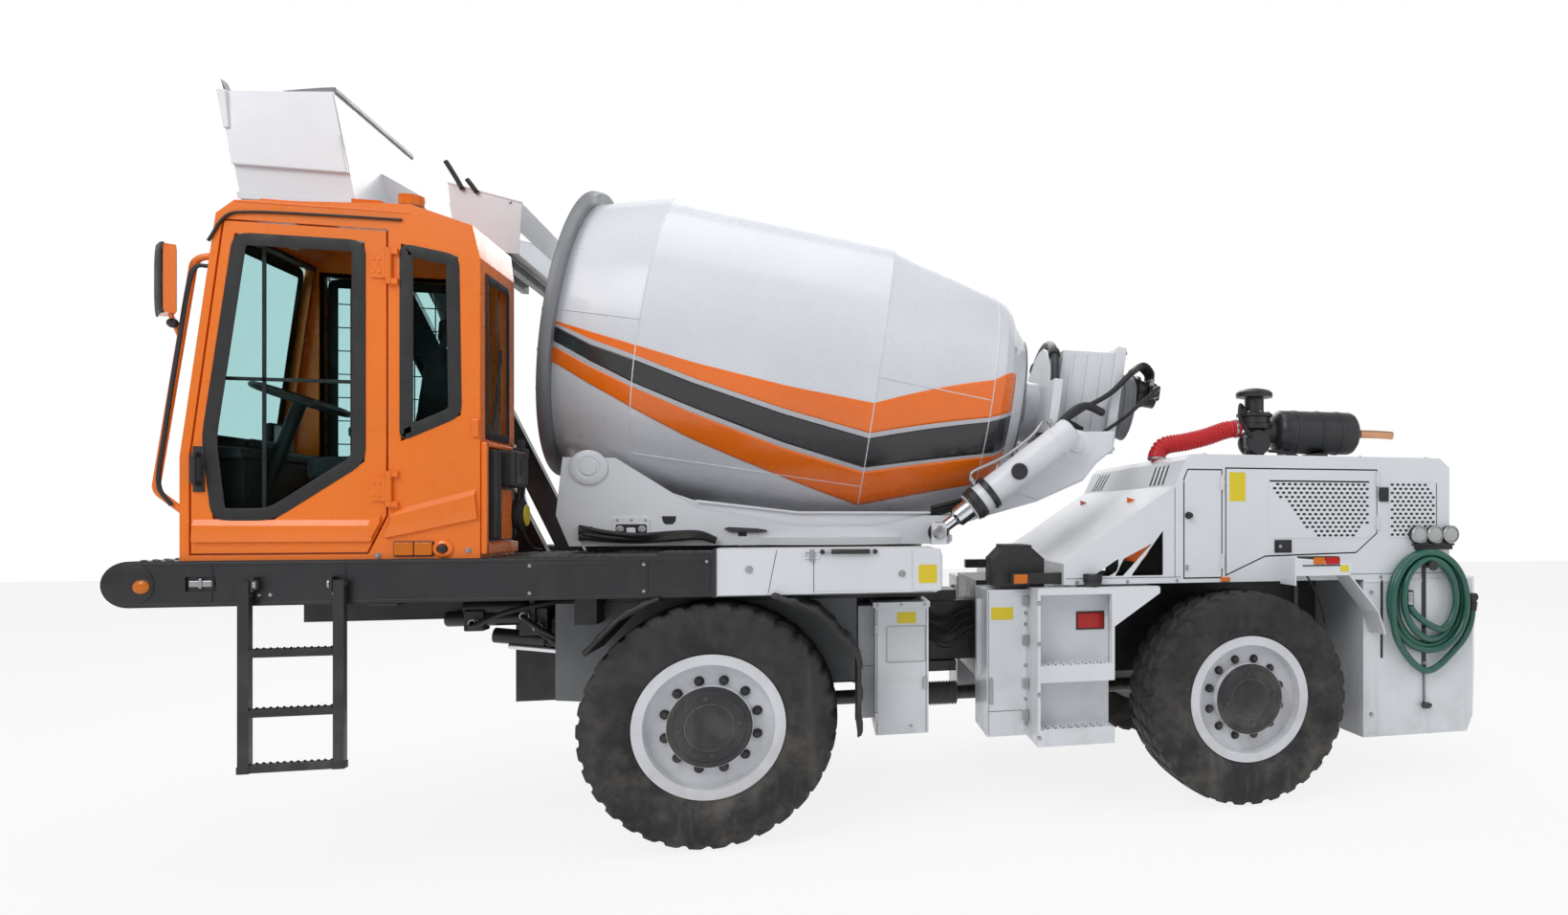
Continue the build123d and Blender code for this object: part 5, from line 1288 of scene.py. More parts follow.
arc = np.radians(np.linspace(-55, 235, 60))
tube = [axis_point(2.125) + 0.431 * (cos(a) * np.array([0, -1, 0]) + sin(a) * DRUM_UP) for a in arc]
swept("neck_ring_tube", tube, round_outline(0.026, 14), hub_paint, "cradle", DRUM_ALONG)
for k, a in enumerate((-0.5, 0.9, 2.3, 3.6)):
    centre = axis_point(2.125) + 0.431 * (cos(a) * np.array([0, -1, 0]) + sin(a) * DRUM_UP)
    tangent = -sin(a) * np.array([0, -1, 0]) + cos(a) * DRUM_UP
    lathe(f"neck_ring_clamp_{k}", [(0, 0), (0, 0.034), (0.012, 0.036), (0.042, 0.036), (0.054, 0.034), (0.054, 0)],
          centre - 0.027 * tangent, tangent, black_plastic, "cradle", 20)
inner_ring = [axis_point(2.147) + 0.330 * (cos(a) * np.array([0, 1, 0]) + sin(a) * DRUM_UP)
              for a in angles_round(20)]
bolts("ring_plate_bolts", inner_ring, DRUM_ALONG, 0.014, steel, "cradle", 0.011)

for side, label in SIDES:
    low, high = sorted((side * 0.258, side * 0.268))
    for k, t in enumerate((2.235, 2.315, 2.405)):
        outline = axis_side([(t, -0.192), (t, 0.362 + (t - 2.18) * 0.12), (t + 0.014, 0.364 + (t - 2.18) * 0.12),
                             (t + 0.014, -0.192)])
        plate(f"{label}_drive_cover_rib_{k}", outline, low, high, white_paint, "cradle", 0.003)
    plate(f"{label}_drive_cover_edge", axis_side([(2.182, -0.196), (2.182, -0.172), (2.498, -0.172),
                                                  (2.498, -0.196)]), low, high, white_paint, "cradle", 0.003)
ends = [axis_point(2.560, up, y) for up in (-0.17, 0.02, 0.21, 0.42) for y in (-0.275, 0.275)]
ends += [axis_point(2.560, 0.13 + 0.232 * sin(a), 0.232 * cos(a)) for a in np.arange(12) * pi / 6 + 0.2]
bolts("drive_end_bolts", ends, DRUM_ALONG, 0.012, steel, "cradle", 0.010)
lathe("adapter_rings", [(-0.002, 0), (-0.002, 0.206), (0, 0.206), (0.014, 0.206), (0.018, 0.200), (0.050, 0.200),
                        (0.054, 0.207), (0.070, 0.207), (0.074, 0.200), (0.110, 0.200), (0.114, 0.205),
                        (0.126, 0.205), (0.129, 0.190), (0.129, 0)], axis_point(2.562, 0.13), DRUM_ALONG, grey_paint,
      "cradle", 64)
motor = lathe("motor_case", [(-0.002, 0), (-0.002, 0.106), (0, 0.106), (0.012, 0.108), (0.016, 0.095), (0.032, 0.094),
                             (0.036, 0.107), (0.050, 0.107), (0.054, 0.086), (0.085, 0.082), (0.088, 0.085),
                             (0.096, 0.085), (0.100, 0.081), (0.168, 0.081), (0.172, 0)], axis_point(2.691, 0.24),
              DRUM_ALONG, black_paint, "cradle", 48)
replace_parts(motor, "drum_motor")
plate("motor_valve", axis_side([(2.790, 0.196), (2.790, 0.284), (2.860, 0.284), (2.860, 0.196)]), -0.130, 0.130,
      black_paint, "cradle", 0.006)
fittings("motor_ports", [axis_point(2.815, 0.284, y) for y in (-0.055, 0.0, 0.055)], DRUM_UP, 0.018, 0.050, steel,
         "cradle")
fittings("motor_side_ports", [axis_point(2.825, 0.24 + u, -0.129) for u in (-0.022, 0.022)], (0, -1, 0), 0.014, 0.040,
         steel, "cradle")
motor_runs = []
for k, y in enumerate((-0.055, 0.0, 0.055)):
    motor_runs.append([axis_point(2.815, 0.325, y), axis_point(2.800, 0.372, y - 0.02),
                       axis_point(2.720, 0.392, y - 0.10), axis_point(2.600, 0.300, -0.315 - 0.02 * k),
                       axis_point(2.480, 0.150, -0.322 - 0.02 * k), axis_point(2.300, 0.010, -0.345 - 0.02 * k),
                       axis_point(2.210, -0.080, -0.420), axis_point(2.185, -0.180, -0.480 - 0.012 * k)])
hoses("motor_hoses", motor_runs, 0.015, black_rubber, "cradle")
hoses("motor_side_hoses", [[axis_point(2.825, 0.24 + u, -0.165), axis_point(2.815, 0.235 + u, -0.215),
                            axis_point(2.720, 0.16, -0.285), axis_point(2.590, 0.02, -0.330),
                            axis_point(2.420, -0.120, -0.330), axis_point(2.230, -0.185, -0.360),
                            axis_point(2.150, -0.300, -0.470)] for u in (-0.022, 0.022)], 0.011, black_rubber,
      "cradle")
springs("motor_hose_guards", [run[:4] for run in motor_runs[:2]], 0.0185, 0.0022, 0.011, black_plastic, "cradle", 5)
hose("marked_hose_sleeve", [axis_point(2.150, -0.12, -0.560), axis_point(2.230, -0.02, -0.520),
                            axis_point(2.330, 0.04, -0.420), axis_point(2.450, 0.03, -0.340)], 0.024, black_plastic,
     "cradle")
boxes("neck_valve_block", [((0.700, -0.480, 1.905), (0.800, -0.400, 2.010)),
                           ((0.720, -0.485, 1.960), (0.780, -0.395, 2.040))], black_paint, "cradle", 0.006)
arm_hoses = []
for k in range(3):
    y = -0.552 - 0.012 * k
    arm_hoses.append([(0.100, y, 1.560 + 0.02 * k), (0.350, y, 1.640 + 0.02 * k),
                      (0.520, y - 0.01, 1.790 + 0.012 * k), (0.700, y - 0.01, 1.925 + 0.02 * k),
                      (0.800, -0.520, 2.040 + 0.015 * k), (0.900, -0.430, 2.090 + 0.01 * k), (1.000, -0.410, 2.070)])
hoses("cradle_arm_hoses", arm_hoses, 0.012, black_rubber, "cradle")

for side, label in SIDES:
    out = (0, side, 0)
    lathe(f"{label}_tilt_pin_boss", [(0, 0), (0, 0.092), (0.010, 0.094), (0.016, 0.080), (0.018, 0.060),
                                     (0.014, 0.040), (0.026, 0.036), (0.030, 0.022), (0.031, 0)],
          (0.930, side * 0.5398, 1.958), out, white_paint, "cradle", 48)
    lathe(f"{label}_tilt_pin", [(0, 0), (0, 0.044), (0.008, 0.046), (0.014, 0.038), (0.016, 0)],
          (0.560, side * 0.7475, 1.800), out, hub_paint, "cradle", 36)
    lathe(f"{label}_hinge_boss", [(0, 0), (0, 0.085), (0.008, 0.087), (0.014, 0.074), (0.016, 0.055), (0.012, 0.050),
                                  (0.012, 0.042), (0.020, 0.038), (0.022, 0)], (-1.600, side * 0.6022, 1.800), out,
          white_paint, "cradle", 48)
    low, high = sorted((side * 0.5398, side * 0.548))
    plate(f"{label}_cradle_doubler", [(0.545, 1.780), (0.748, 1.884), (0.880, 2.036), (1.150, 2.044), (1.142, 1.944),
                                      (1.044, 1.866), (0.968, 1.772), (0.700, 1.652), (0.560, 1.690)], low, high,
          white_paint, "cradle", 0.003)
    low, high = sorted((side * 0.540, side * 0.556))
    plate(f"{label}_cradle_top_flange", [(-1.100, 1.628), (-0.600, 1.570), (0.205, 1.570), (0.392, 1.650),
                                         (0.392, 1.662), (0.200, 1.582), (-0.600, 1.582), (-1.104, 1.642)], low, high,
          white_paint, "cradle", 0.002)
    body = "slew"
    low, high = sorted((side * 0.600, side * 0.606))
    plate(f"{label}_eye_plate", rounded([(-1.490, 1.445), (-1.490, 1.552), (-1.318, 1.552), (-1.318, 1.445)], 0.02),
          low, high, white_paint, body, 0.002)
    # painted shade: a flat black piece on the eye plate stands for the dark inside its slot
    low, high = sorted((side * 0.6055, side * 0.6085))
    plate(f"{label}_eye_plate_slot", rounded([(-1.476, 1.468), (-1.476, 1.515), (-1.332, 1.515), (-1.332, 1.468)],
                                             0.012), low, high, black_rubber, body, 0)
    low, high = sorted((side * 0.6075, side * 0.618))
    plate(f"{label}_eye_plate_tab", rounded([(-1.425, 1.452), (-1.425, 1.498), (-1.383, 1.498), (-1.383, 1.452)],
                                            0.008), low, high, white_paint, body, 0.002)
    bolts(f"{label}_eye_plate_bolts", [(x, side * 0.606, 1.536) for x in (-1.470, -1.404, -1.338)], out, 0.0055,
          steel, body, 0.004)
    for k, x in enumerate((-1.455, -1.353)):
        lathe(f"{label}_eye_{k}", [(0, 0), (0, 0.017), (0.005, 0.018), (0.006, 0.010), (0.003, 0.009), (0.003, 0)],
              (x, side * 0.608, 1.490), out, steel, body, 24)
    # painted shade: the drain slot and the small slot are flat black pieces that stand for the dark inside them
    low, high = sorted((side * 0.5995, side * 0.602))
    half_round = [(-1.262, 1.556), (-1.194, 1.556), (-1.198, 1.530), (-1.210, 1.515), (-1.246, 1.515),
                  (-1.258, 1.530)]
    plate(f"{label}_drain_slot", half_round, low, high, black_rubber, body, 0)
    plate(f"{label}_small_slot", rounded([(-0.895, 1.452), (-0.895, 1.472), (-0.852, 1.472), (-0.852, 1.452)], 0.005),
          low, high, black_rubber, body, 0)
    low, high = sorted((side * 0.602, side * 0.616))
    lever = [(-0.965, 1.492), (-0.940, 1.500), (-0.800, 1.492), (-0.752, 1.484), (-0.752, 1.476), (-0.800, 1.472),
             (-0.930, 1.474)]
    plate(f"{label}_lock_lever", lever, low, high, iron, body, 0.003)
    cable = [[(-1.640, side * 0.622, 1.452 + 0.016 * k), (-1.500, side * (0.634 + 0.010 * (k % 2)),
                                                          1.436 + 0.012 * k),
              (-1.350, side * (0.630 + 0.008 * k), 1.430 + 0.010 * k),
              (-1.200, side * (0.640 - 0.006 * k), 1.440 + 0.010 * k), (-1.080, side * 0.636, 1.446 + 0.008 * k),
              (-1.000, side * 0.630, 1.425 + 0.004 * k)] for k in range(4)]
    hoses(f"{label}_slew_hoses", cable, 0.013, black_rubber, body)
    fittings(f"{label}_slew_hose_ends", [(-1.640, side * 0.622, 1.452 + 0.034 * k) for k in range(2)], (1, 0, 0),
             0.016, 0.060, iron, body)
    x0, z0, x1, z1 = 0.560, 1.800, 0.130, 1.470
    long = np.hypot(x1 - x0, z1 - z0)
    ux, uz = (x1 - x0) / long, (z1 - z0) / long
    direction = (ux, 0, uz)

    def along_tilt(s, y=side * 0.660):
        """A place on the tilt cylinder's line."""
        return np.array([x0 + ux * s, y, z0 + uz * s])

    end = long * 0.60
    barrel = lathe(f"{label}_tilt_barrel", [(-0.400, 0), (-0.400, 0.060), (-0.392, 0.074), (-0.380, 0.082),
                                            (end - 0.006, 0.082), (end, 0.076), (end, 0.057), (end - 0.020, 0.057),
                                            (end - 0.020, 0)], along_tilt(0), direction, white_paint, "tilt_barrels",
                   56)
    rod = lathe(f"{label}_tilt_rod", [(end - 0.150, 0), (end - 0.150, 0.050), (end - 0.148, 0.0545),
                                      (long - 0.128, 0.0545), (long - 0.112, 0.031), (long - 0.046, 0.031),
                                      (long - 0.046, 0)], along_tilt(0), direction, chrome, "tilt_rods", 48)
    lathe(f"{label}_tilt_rod_eye", [(-0.030, 0.027), (-0.030, 0.050), (-0.026, 0.054), (0.026, 0.054), (0.030, 0.050),
                                    (0.030, 0.027)], (x1, side * 0.660, z1), (0, 1, 0), black_paint, "tilt_rods", 40)
    if side < 0:
        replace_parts(barrel, "tilt_barrels")
        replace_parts(rod, "tilt_rods")
    lathe(f"{label}_tilt_gland", [(0, 0.082), (0, 0.088), (0.010, 0.091), (0.040, 0.091), (0.046, 0.086),
                                  (0.060, 0.086), (0.064, 0.078), (0.068, 0.060)], along_tilt(end - 0.068), direction,
          hub_paint, "tilt_barrels", 56)
    lathe(f"{label}_tilt_clamp", [(0, 0.080), (0, 0.094), (0.004, 0.096), (0.030, 0.096), (0.034, 0.094),
                                  (0.034, 0.080)], along_tilt(end - 0.150), direction, black_paint, "tilt_barrels",
          56)
    lathe(f"{label}_tilt_base_ring", [(0, 0.080), (0, 0.0838), (0.012, 0.0845), (0.020, 0.0835), (0.020, 0.080)],
          along_tilt(-0.300), direction, white_paint, "tilt_barrels", 56)
    up = np.array([-uz, 0, ux])
    up = up if up[2] > 0 else -up
    ports = [along_tilt(-0.320) + up * 0.078, along_tilt(end - 0.100) + up * 0.085]
    fittings(f"{label}_tilt_ports", ports, up, 0.015, 0.045, steel, "tilt_barrels")
    line = [ports[1] + up * 0.042, ports[1] + up * 0.060 - np.array(direction) * 0.04, along_tilt(0.0) + up * 0.108,
            along_tilt(-0.180) + up * 0.108, ports[0] + up * 0.055 + np.array(direction) * 0.03]
    hoses(f"{label}_tilt_pipe", [line], 0.009, steel, "tilt_barrels")
    lathe(f"{label}_tilt_eye_cap", [(0, 0), (0, 0.034), (0.006, 0.036), (0.010, 0.028), (0.012, 0)],
          (x1, side * 0.7205, z1), out, steel, "slew", 28)

# ---- side decks, chassis and the middle --------------------------------------------------------
for side, label in SIDES:
    out = (0, side, 0)
    beside = spans_beside(side)
    boxes(f"{label}_deck_seams", [beside(-0.512, -0.509, 1.190, 1.392, 1.149, 1.1506),
                                  beside(-0.962, -0.946, 1.176, 1.403, 1.148, 1.156),
                                  beside(-0.940, 0.060, 1.181, 1.184, 1.149, 1.1506)], hub_paint, "front_frame", 0)
    low, high = sorted((side * 1.149, side * 1.1506))
    plate(f"{label}_deck_slant_seam", [(-0.680, 1.394), (-0.677, 1.394), (-0.716, 1.190), (-0.719, 1.190)], low, high,
          hub_paint, "front_frame", 0)
    boxes(f"{label}_deck_lid", [beside(-0.505, -0.050, 1.196, 1.388, 1.1495, 1.1525),
                                beside(-0.040, 0.092, 1.190, 1.396, 1.1495, 1.1580)], white_paint, "front_frame",
          0.0015)
    loop_trim(f"{label}_deck_latch", [(-0.556, 1.352), (-0.482, 1.352), (-0.482, 1.392), (-0.556, 1.392)],
              on_side(side * 1.1525, side), 0.008, 0.007, white_paint, "front_frame", 0.008)
    boxes(f"{label}_deck_latch_bar", [beside(-0.530, -0.506, 1.340, 1.396, 1.152, 1.164)], steel, "front_frame",
          0.003)
    between(f"{label}_deck_strut", [((-0.430, side * 1.166, 1.386), (-0.250, side * 1.166, 1.385))], 0.012,
            black_paint, "front_frame", 20)
    between(f"{label}_deck_strut_rod", [((-0.480, side * 1.166, 1.386), (-0.215, side * 1.166, 1.385))], 0.007, steel,
            "front_frame", 14)
    for k, x in enumerate((-0.470, -0.225)):
        ball(f"{label}_deck_strut_ball_{k}", (x, side * 1.166, 1.385), 0.012, black_plastic, "front_frame")
    bolts(f"{label}_deck_bolts", [(-0.802, side * 1.150, 1.305), (-0.096, side * 1.152, 1.275)], out, 0.013, steel,
          "front_frame", 0.012)
    low, high = sorted((side * 1.158, side * 1.1594))
    plate(f"{label}_deck_blank_plate", rounded([(-0.017, 1.228), (0.072, 1.228), (0.072, 1.318), (-0.017, 1.318)],
                                               0.012), low, high, label_yellow, "front_frame", 0)
    low, high = sorted((side * 0.730, side * 0.735))
    plate(f"{label}_frame_side", [(-1.720, 1.130), (-1.720, 0.660), (-1.500, 0.640), (-1.300, 0.750), (-0.650, 0.750),
                                  (-0.450, 0.700), (-0.300, 0.700), (-0.300, 1.130)], low, high, grey_paint,
          "front_frame", 0.002)
    low, high = sorted((side * 0.420, side * 0.432))
    plate(f"{label}_chassis_plate", [(-1.500, 0.655), (-1.500, 1.120), (-0.240, 1.120), (-0.240, 0.820),
                                     (-0.420, 0.655)], low, high, grey_paint, "front_frame", 0.003)
    lathe(f"{label}_chassis_boss", [(0, 0), (0, 0.060), (0.012, 0.064), (0.020, 0.056), (0.022, 0.036),
                                    (0.014, 0.032), (0.014, 0)], (-1.450, side * 0.4315, 0.720), out, grey_paint,
          "front_frame", 40)
    boxes(f"{label}_cabinet_blank_plates", [beside(-0.100, -0.004, 1.002, 1.060, 0.8598, 0.8612)], label_yellow,
          "front_frame", 0)
    boxes(f"{label}_document_plate", [beside(-0.150, 0.040, 0.806, 0.984, 0.8598, 0.8612)], label_white,
          "front_frame", 0)
    loop_trim(f"{label}_document_border", [(-0.156, 0.800), (0.046, 0.800), (0.046, 0.990), (-0.156, 0.990)],
              on_side(side * 0.8606, side), 0.006, 0.003, steel, "front_frame", 0.010)
    boxes(f"{label}_cabinet_seams", [beside(-0.203, -0.200, 0.440, 1.075, 0.859, 0.8606),
                                     beside(0.046, 0.049, 0.440, 1.075, 0.859, 0.8606),
                                     beside(-0.290, -0.215, 0.770, 0.773, 0.739, 0.7406)], hub_paint, "front_frame",
          0)
    boxes(f"{label}_cabinet_hinges", [beside(-0.216, -0.196, z, z + 0.050, 0.858, 0.868) for z in (0.500, 0.950)]
          + [beside(0.030, 0.052, 0.660, 0.720, 0.858, 0.872)], steel, "front_frame", 0.003)
    bolts(f"{label}_cabinet_bolts", [(x, side * 0.874, 1.098) for x in (-0.200, -0.080, 0.040)]
          + [(-0.030, side * 0.860, 0.470)], out, 0.007, steel, "front_frame")
    body = "rear_frame"
    boxes(f"{label}_rear_cabinet_plate", [beside(0.388, 0.506, 1.006, 1.072, 0.8598, 0.8612)], label_yellow, body, 0)
    boxes(f"{label}_rear_cabinet_strip", [beside(0.556, 0.580, 0.420, 1.150, 0.858, 0.868)], white_paint, body, 0.004)
    latches = [beside(0.552, 0.590, z, z + 0.052, 0.866, 0.880) for z in (0.470, 0.640, 0.870, 1.080)]
    boxes(f"{label}_rear_cabinet_latches", latches + [beside(0.378, 0.394, 0.560, 0.700, 0.858, 0.872)], steel, body,
          0.004)
    bolts(f"{label}_rear_cabinet_bolts", [(0.571, side * 0.8680, z) for z in (0.450, 0.580, 0.760, 0.980, 1.040)],
          out, 0.008, steel, body)
    boxes(f"{label}_rear_cabinet_seams", [beside(0.372, 0.375, 0.400, 1.160, 0.859, 0.8606),
                                          beside(0.372, 0.586, 0.520, 0.523, 0.859, 0.8606)], hub_paint, body, 0)
    boxes(f"{label}_step_reflector", [beside(0.838, 0.978, 0.958, 1.040, 0.940, 0.952)], red_lens, body, 0.006, 3)
    boxes(f"{label}_step_reflector_frame", [beside(0.830, 0.986, 0.950, 1.048, 0.9395, 0.946)], hub_paint, body,
          0.003)
    tooth_x = np.linspace(0.625, 0.985, 37)
    tooth = np.where(np.arange(37) % 2, 0.009, 0.0)
    for z in (0.457, 0.785):
        for row, y in enumerate((1.094, 1.030, 0.966)):
            low, high = sorted((side * y, side * (y + 0.004)))
            toothed = [(x, z + h) for x, h in zip(tooth_x, tooth)] + [(0.985, z - 0.004), (0.625, z - 0.004)]
            plate(f"{label}_step_teeth_{int(z * 1000)}_{row}", toothed, low, high, white_paint, body, 0)
    # painted shade: thin dark boxes in the step treads stand for the dark seen through their slots
    holes = [beside(x, x + 0.022, z, z + 0.002, y, y + 0.012)
             for z in (0.457, 0.785) for y in (1.004, 1.054) for x in np.arange(0.640, 0.960, 0.040)]
    boxes(f"{label}_step_grip_slots", holes, hub_paint, body, 0)
    boxes(f"{label}_step_folds", [beside(0.605, 0.625, 0.460, 0.700, 0.938, 0.960),
                                  beside(0.605, 0.625, 0.790, 1.148, 0.938, 0.960),
                                  beside(0.596, 1.246, 1.1795, 1.186, 1.060, 1.098)], white_paint, body, 0.003)
    bolts(f"{label}_step_bolts", [(0.598, side * 1.1005, z) for z in (0.420, 0.640, 0.900, 1.110)], out, 0.009, steel,
          body)
    boxes(f"{label}_marker_beam", [beside(0.480, 0.840, 1.1965, 1.256, 0.870, 0.950)], black_paint, body, 0.006)
    boxes(f"{label}_marker_lens", [beside(0.492, 0.566, 1.202, 1.250, 0.948, 0.962)], amber_lens, body, 0.006, 3)
    boxes(f"{label}_fuel_rail_lamp", [beside(1.632, 1.684, 1.196, 1.222, 0.999, 1.014)], amber_lens, body, 0.005, 3)

lathe("filler_cap_grip", [(0, 0), (0, 0.047), (0.014, 0.050), (0.020, 0.047), (0.044, 0.047), (0.052, 0.051),
                          (0.060, 0.049), (0.066, 0.036), (0.068, 0)], (0.893, -1.050, 1.181), (0, 0, 1),
      black_plastic, "rear_frame", 48)
cap_ribs = [np.column_stack([(cos(a), sin(a), 0), (-sin(a), cos(a), 0), (0, 0, 1),
                             (0.893 + 0.0475 * cos(a), -1.050 + 0.0475 * sin(a), 1.232)])
            for a in np.arange(24) * pi / 12]
copies("filler_cap_ribs", *box_arrays((-0.003, -0.003, -0.020), (0.003, 0.003, 0.020)), cap_ribs, black_plastic,
       "rear_frame", smooth=False)
boxes("cover_ribs", [((0.404, y, 1.182), (0.676, y + 0.012, 1.332)) for y in (-0.856, -0.700, -0.566)]
      + [((0.440, -0.855, 1.210), (0.630, -0.848, 1.300))], black_plastic, "rear_frame", 0.004, 3)
boxes("cover_lid", [((0.462, -0.852, 1.388), (0.608, -0.558, 1.402)),
                    ((0.410, -0.854, 1.252), (0.418, -0.556, 1.300))], black_plastic, "rear_frame", 0.006, 3)
valve_spans = [((-2.180, -0.520, 0.985), (-2.090, -0.420, 1.090)), ((-1.930, -0.540, 0.960), (-1.800, -0.420, 1.100)),
               ((-1.790, -0.520, 0.900), (-1.640, -0.420, 1.040)), ((-2.600, -0.500, 1.120), (-2.470, -0.380, 1.178)),
               ((-1.880, -0.560, 1.000), (-1.850, -0.420, 1.170))]
boxes("valve_blocks", valve_spans, black_paint, "front_frame", 0.008, 3)
between("valve_bodies", [((-2.270, -0.470, 1.045), (-1.800, -0.470, 1.045)),
                         ((-2.060, -0.470, 0.960), (-1.820, -0.470, 0.930)),
                         ((-2.190, -0.470, 1.100), (-1.900, -0.470, 1.100))], 0.038, black_paint, "front_frame", 28)
between("valve_rod", [((-1.990, -0.480, 0.905), (-1.560, -0.480, 0.845))], 0.016, chrome, "front_frame", 20)
fittings("valve_ports", [(-2.130, -0.520, 1.030), (-1.900, -0.540, 1.060), (-1.840, -0.540, 1.000),
                         (-1.740, -0.520, 0.960)], (0, -1, 0), 0.016, 0.045, steel, "front_frame")
hoses("valve_hoses", [[(-2.130, -0.562, 1.030), (-2.110, -0.600, 1.020), (-1.980, -0.610, 1.080),
                       (-1.800, -0.590, 1.120), (-1.620, -0.560, 1.140)],
                      [(-1.900, -0.582, 1.060), (-1.880, -0.620, 1.050), (-1.780, -0.640, 0.980),
                       (-1.660, -0.600, 0.920), (-1.520, -0.520, 0.900)],
                      [(-1.840, -0.582, 1.000), (-1.820, -0.615, 0.985), (-1.730, -0.620, 0.920),
                       (-1.640, -0.580, 0.860), (-1.510, -0.500, 0.830)],
                      [(-1.740, -0.562, 0.960), (-1.715, -0.590, 0.950), (-1.640, -0.590, 0.960),
                       (-1.560, -0.540, 0.990), (-1.500, -0.480, 1.000)]], 0.013, black_rubber, "front_frame")
for k, (y, z, drop) in enumerate(((-0.200, 1.000, 0.06), (-0.250, 0.960, 0.09), (-0.300, 0.920, 0.12),
                                  (0.220, 0.990, 0.08), (0.280, 0.940, 0.10), (-0.350, 0.880, 0.05),
                                  (0.340, 0.900, 0.06))):
    run = [(0.030, y, z), (0.100, y * 1.05, z - 0.2 * drop), (0.210, y * 1.15, z - drop),
           (0.320, y * 1.05, z - 0.2 * drop), (0.400, y, z)]
    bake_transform(hoses(f"joint_hose_{k}", [run], 0.013, black_rubber, None, 10, 8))
ridge = np.arange(0, 25)
bellow_profile = [(-0.100, 0)] + [(-0.100 + 0.2 * k / 24, 0.064 + 0.010 * (k % 2)) for k in ridge] + [(0.100, 0)]
bellow = lathe("shaft_bellows", bellow_profile, (0.210, 0, 0.485), (1, 0, 0), bellows_grey, None, 32, 60)
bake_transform(bellow)

# ---- hood --------------------------------------------------------------------------------------
def perforated(name, x0, z0, columns, rows, holed, y, side, material, body, step=(0.036, 0.024),
               hole=(0.012, 0.0075)):
    """A plate of staggered cells: a cell's rim runs from its rectangle in to an ellipse, or is closed where holed()
    is false; then a wall for its thickness."""
    angle = np.arange(12) * pi / 6 + pi / 12
    reach = 1 / np.maximum(np.abs(np.cos(angle)), np.abs(np.sin(angle)))
    square = np.stack([np.cos(angle) * reach, np.sin(angle) * reach], -1) * np.array(step) / 2
    oval = np.stack([np.cos(angle), np.sin(angle)], -1) * np.array(hole)
    corners = np.array([(1, 1), (-1, 1), (-1, -1), (1, -1)]) * np.array(step) / 2
    points, faces = [], []
    rim = np.vstack([square, oval])
    ring = quads(2, 12, wrap_columns=True)
    for row in range(rows):
        for column in range(columns):
            centre = np.array([x0 + (column + (row % 2) / 2) * step[0], z0 + row * step[1]])
            start = sum(len(p) for p in points)
            if holed(*centre):
                points.append(centre + rim)
                faces += [list(f) for f in ring + start]
            else:
                points.append(centre + corners)
                faces.append([start, start + 1, start + 2, start + 3])
        centre = np.array([x0 + (-0.25 if row % 2 else columns - 0.25) * step[0], z0 + row * step[1]])
        start = sum(len(p) for p in points)
        points.append(centre + corners * (0.5, 1.0))
        faces.append([start, start + 1, start + 2, start + 3])
    flat = np.vstack(points)
    solid = np.stack([flat[:, 0], np.full(len(flat), y), flat[:, 1]], -1)
    if side > 0:
        faces = [f[::-1] for f in faces]
    obj = piece(name, solid, faces, material, body, smooth=False)
    obj.modifiers.new("wall", "SOLIDIFY").thickness = 0.0012
    return obj


VENT = np.array([(1.936, 1.722), (1.952, 1.752), (2.512, 1.752), (2.534, 1.730), (2.534, 1.520), (2.440, 1.440),
                 (2.204, 1.440)])


def in_vent(x, z):
    """Whether a hole's middle lies inside the vent's outline, which turns clockwise."""
    p, q = VENT, np.roll(VENT, -1, 0)
    return bool(np.all((q[:, 0] - p[:, 0]) * (z - p[:, 1]) < (q[:, 1] - p[:, 1]) * (x - p[:, 0])))


